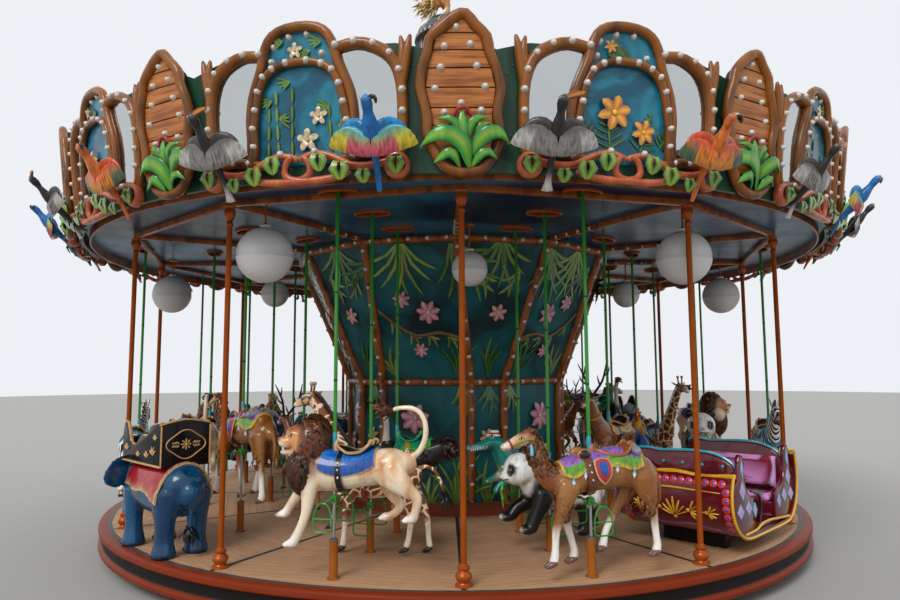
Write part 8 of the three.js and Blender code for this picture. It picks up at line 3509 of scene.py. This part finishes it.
    def motif(self) -> list[Piece]:
        """Draws golden fans of leaves with studs, the inner line and the purple wave on both ends."""
        gold = "d9a21e"
        drawn = [([(x, -0.145 - 0.02 * abs(x)) for x in np.linspace(-0.49, 0.49, 9)], 0.009, gold), (
            [(x, -0.56 + 0.022 * math.sin(x * 11)) for x in np.linspace(-0.42, 0.42, 15)], 0.016, "9a4a8a")]
        fans = [(0.0, -0.44, 0.0, 0.2, 7)]
        fans += [(side * 0.17, -0.36, 90.0 * side, 0.15, 5) for side in BOTH]
        fans += [(side * 0.36, -0.36, 90.0 * side, 0.1, 5) for side in BOTH]
        for x, z, lean, reach, count in fans:
            for turn in np.linspace(-66, 66, count):
                way = (math.sin(math.radians(lean + turn)), math.cos(math.radians(lean + turn)))
                size = reach * (1 - 0.3 * abs(turn) / 66)
                drawn.append((
                    [(x + way[0] * size * t, z + way[1] * size * t) for t in (0.16, 0.45, 0.75, 1.0)],
                    0.013, gold))
        pieces = []
        for points, radius, colour in drawn:
            size = len(points) - 1
            run = np.subtract(points[-1], points[0])
            rows = [(
                x, -0.002, z, radius * (0.35 + 0.65 * math.sin(math.pi * min(max(i / size, 0.08), 0.92))),
                0.006) for i, (x, z) in enumerate(points)]
            pieces.append(tack(colour, "stroke", rows, 6, 1, 1, across=(run[1], 0, -run[0])))
        for x, z in ((0.0, -0.455), (-0.15, -0.36), (0.15, -0.36), (-0.34, -0.36), (0.34, -0.36)):
            pieces.append(bead(gold, "stud", (x, -0.004, z), (0.021, 0.01, 0.021), 8, 6))
        return [stamped("motif", joined("motif", pieces), [self.wrap(False), self.wrap(True)])]

    def benches(self) -> list[Piece]:
        """Makes the backs with their turquoise beads and buttons, and the seat boxes."""
        pieces = []
        top = [
            (0.54, 0.8), (0.5, 0.87), (0.4, 0.93), (0.27, 0.965), (0.1, 0.975), (-0.08, 0.965),
            (-0.25, 0.955), (-0.42, 0.97), (-0.52, 0.96), (-0.54, 0.93)]
        for way in (1, -1):
            base = block(
                "base", (min(way * 0.27, way * 0.61), -0.55, 0.23),
                (max(way * 0.27, way * 0.61), 0.54, 0.385), 0.012)
            back = turned_board(
                "back", [(-0.54, 0.3), (0.54, 0.3), *top], way * 0.64 - 0.035, way * 0.64 + 0.035, 0.014)
            pieces += [paint(base, Paints.burgundy), paint(back, Paints.burgundy)]
            beads = self.rope([(way * 0.64, y, z + 0.008) for y, z in top], "2fb3c4", 0.0135, 0.022)
            pieces.append(beads)
            for y in (-0.42, -0.21, 0.0, 0.21, 0.42):
                pieces.append(bead("2fb3c4", "stud", (way * 0.678, y, 0.85), (0.009, 0.016, 0.016), 8, 6))
        return pieces

    @staticmethod
    def cushions() -> Piece:
        """Swells the seat and back cushions and paints their bands."""
        pads = [puffed(block("seat", (0.25, -0.53, 0.39), (0.59, 0.52, 0.445), 0.02), 0.02, 0.027), puffed(
            block("back", (0.54, -0.51, 0.49), (0.592, 0.5, 0.86), 0.018), 0.016, 0.025)]
        for pad in pads:
            brush = Brush(pad, "8a1f3a")
            wave = np.cos(brush.points[:, 1] * 2 * math.pi / 0.265) + 0.35 * np.cos(
                (brush.points[:, 0] + brush.points[:, 2]) * 2 * math.pi / 0.36)
            brush.over((wave + 0.12) * 8, "e39ad4").over(1 - np.abs(wave + 0.12) * 7, "43b6c4").done()
            finished(pad, Hides.vinyl, 60)
        dots = [
            bead("2fb3c4", "button", (0.576, y, z), (0.006, 0.011, 0.011), 8, 6)
            for y in (-0.39, -0.13, 0.13, 0.39) for z in (0.62, 0.76)]
        master = joined("cushions", [*pads, *dots])
        turn = by_matrix(Matrix.Rotation(math.pi, 4, "Z"))
        return stamped("cushions", master, [lambda points: points, turn])

    def build(self) -> None:
        """Stamps both chariots."""
        parts = (
            (smooth(joined(
                "body", [self.hull(), *self.ends(), *self.benches()]), 50), "hull", "chariot_burgundy"),
            (joined("trim", [*self.trims(), *self.scallops(), *self.motif()]), "trim", "gold_trim"),
            (self.cushions(), "cushions", "seat_pink"))
        standing("chariot", self.spots, self.reach, parts)


class TopHorse(Figure):
    """Rearing horse on the dome."""

    name = "top_horse"
    apart = 0.07
    base = "c98a4a"
    faces = 4800
    spine = Spine((
        (-0.29, 0.32, 0.06, 0.08), (-0.27, 0.4, 0.11, 0.13), (-0.2, 0.5, 0.135, 0.16),
        (-0.1, 0.6, 0.13, 0.145), (0.0, 0.7, 0.122, 0.135), (0.1, 0.83, 0.115, 0.13),
        (0.16, 0.93, 0.09, 0.115), (0.21, 1.03, 0.062, 0.095), (0.26, 1.13, 0.052, 0.08),
        (0.3, 1.2, 0.052, 0.068), (0.355, 1.19, 0.047, 0.055), (0.42, 1.13, 0.038, 0.042),
        (0.47, 1.085, 0.034, 0.036)))
    legs = tuple((side, rows) for side in BOTH for rows in (
        (
            (-0.22, 0.45, 0.08, 0.13), (-0.17, 0.34, 0.06, 0.08), (-0.13, 0.24, 0.04, 0.046),
            (-0.18, 0.15, 0.032, 0.036), (-0.24, 0.09, 0.028, 0.03), (-0.22, 0.05, 0.036, 0.034)), (
            (0.12, 0.84, 0.06, 0.09), (0.22, 0.84, 0.046, 0.056), (0.33, 0.83 - 0.04 * side, 0.036, 0.04),
            (0.41, 0.77 - 0.04 * side, 0.028, 0.03), (0.46, 0.71 - 0.04 * side, 0.033, 0.03))))

    def lumps(self) -> list[Piece]:
        """Adds the lips and cheeks."""
        return [
            ball("lips", (0.475, 0, 1.075), (0.034, 0.036, 0.034)),
            ball("cheek", (0.34, 0, 1.17), (0.055, 0.052, 0.06)),
            ball("hips", (-0.22, 0, 0.46), (0.12, 0.15, 0.14))]

    def colour(self, brush: Brush) -> None:
        """Whitens the socks and the blaze."""
        brush.spot((0.43, 0, 1.15), (0.08, 0.02, 0.05), "efe2cc", 0.5)
        brush.below(0.2, "e8d8bc", 0.08)

    def build(self) -> None:
        """Places the horse with its base."""
        crest = [(*self.spine.on(t, 0, -0.01), 0.02, 0.03) for t in (5.6, 6.6, 7.6, 8.6, 9.4)]
        parts = [self.skin(), toned(swept("crest", crest, 8, 3), "e0c078", Hides.fur)]
        parts += self.pair(lambda side: [*self.eye((0.37, side * 0.045, 1.185), 0.014), *self.ear(
            (0.285, side * 0.03, 1.255), (0.275, side * 0.045, 1.335), 0.022, "c98a4a", "8a5a34")])
        parts += [locks(
            "mane", self.spine.on(t, 0, -0.05), (0.05, 0.055, 0.08), 34, 0.17, (-0.7, 0, -0.5),
            ("d9b060", "f0dca0"), width=0.016, seed=int(t * 5), hug=False) for t in (6.2, 7.4, 8.6)]
        parts += [
            locks(
                "tail", (-0.33, 0, 0.4), (0.05, 0.04, 0.05), 60, 0.34, (-0.75, 0, -0.65),
                ("d9b060", "f0dca0"), width=0.02, seed=3, hug=False), self.hoop(4.2, "1a1817", 0.016),
            self.hoop(6.4, "1a1817", 0.01), self.hoop(11.3, "1a1817", 0.007)]
        for side in BOTH:
            parts.append(self.hoof((-0.205, side * 0.07, 0.045), size=0.04))
            hoof = self.hoof((0.0, 0.0, 0.0), size=0.036)
            reshape(hoof, by_matrix(
                Matrix.Translation((0.47, side * 0.07, 0.7 - 0.04 * side))
                @ Matrix.Rotation(math.radians(70), 4, "Y"))(coordinates(hoof)))
            parts.append(hoof)
        profile = [(0, 0.001), (0.25, 0.001), (0.253, 0.012), (0.24, 0.034), (0.225, 0.039), (0, 0.039)]
        parts.append(toned(turned("base", profile, 40, (-0.19, 0, 0)), "3b3a3c", Hides.tack, 30))
        place = np.array((0.06, 0.0, DECK_TOP + ROOF_TOP + DOME_HIGH))
        horse = stamped("top_horse_figure", joined("horse", parts), [lambda points: points + place])
        settle(horse, "ride", "horse_tan", "top_horse")


class Groundwork:
    """Finish and small parts of the fixed base."""

    bolt = ((0, 0.04), (0.012, 0.038), (0.014, 0.03), (0.014, 0.02), (0.022, 0.02), (0.022, 0.01))
    spots = ((-0.1, -4.15), (0.1, -4.15), (-0.1, -3.95), (0.1, -3.95))

    def build(self, node: Piece) -> None:
        """Finishes the CAD base and bolts it down.

        Args:
            node: The base of the CAD model, which stays as it is.
        """
        paint(node, Paints.steel)
        pad = block("pad", (-0.13, -4.2, 0.0002), (0.13, -3.9, 0.012), 0.003)
        pieces = [stamped("pads", pad, [around(a) for a in every(60)])]
        for x, y in self.spots:
            twin = turned("bolt", self.bolt, 6, (x, y, 0))
            pieces.append(stamped("bolts", twin, [around(a) for a in every(60)]))
        plates = paint(smooth(joined("base_bolts", pieces)), Paints.steel)
        settle(plates, "base", "steel_grey")


def main() -> None:
    """Builds the carousel round the frame."""
    logging.basicConfig(level=logging.INFO, format="%(name)s: %(message)s")
    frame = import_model()
    Studio().build()
    menagerie = Menagerie()
    figures = [(azimuth, reach) for _, azimuth, reach in menagerie.places()]
    lamps = Lamps()
    Deck().build(figures)
    Drum().build(lamps)
    Ceiling().build(figures, lamps)
    Poles().build()
    Cornice().build(lamps)
    Roof().build()
    menagerie.build()
    Elephant().build()
    Chariot().build()
    TopHorse().build()
    Groundwork().build(frame["nodes"]["base_frame"])
    lamps.build("frame_lamps")
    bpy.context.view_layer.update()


if __name__ == "__main__":
    main()
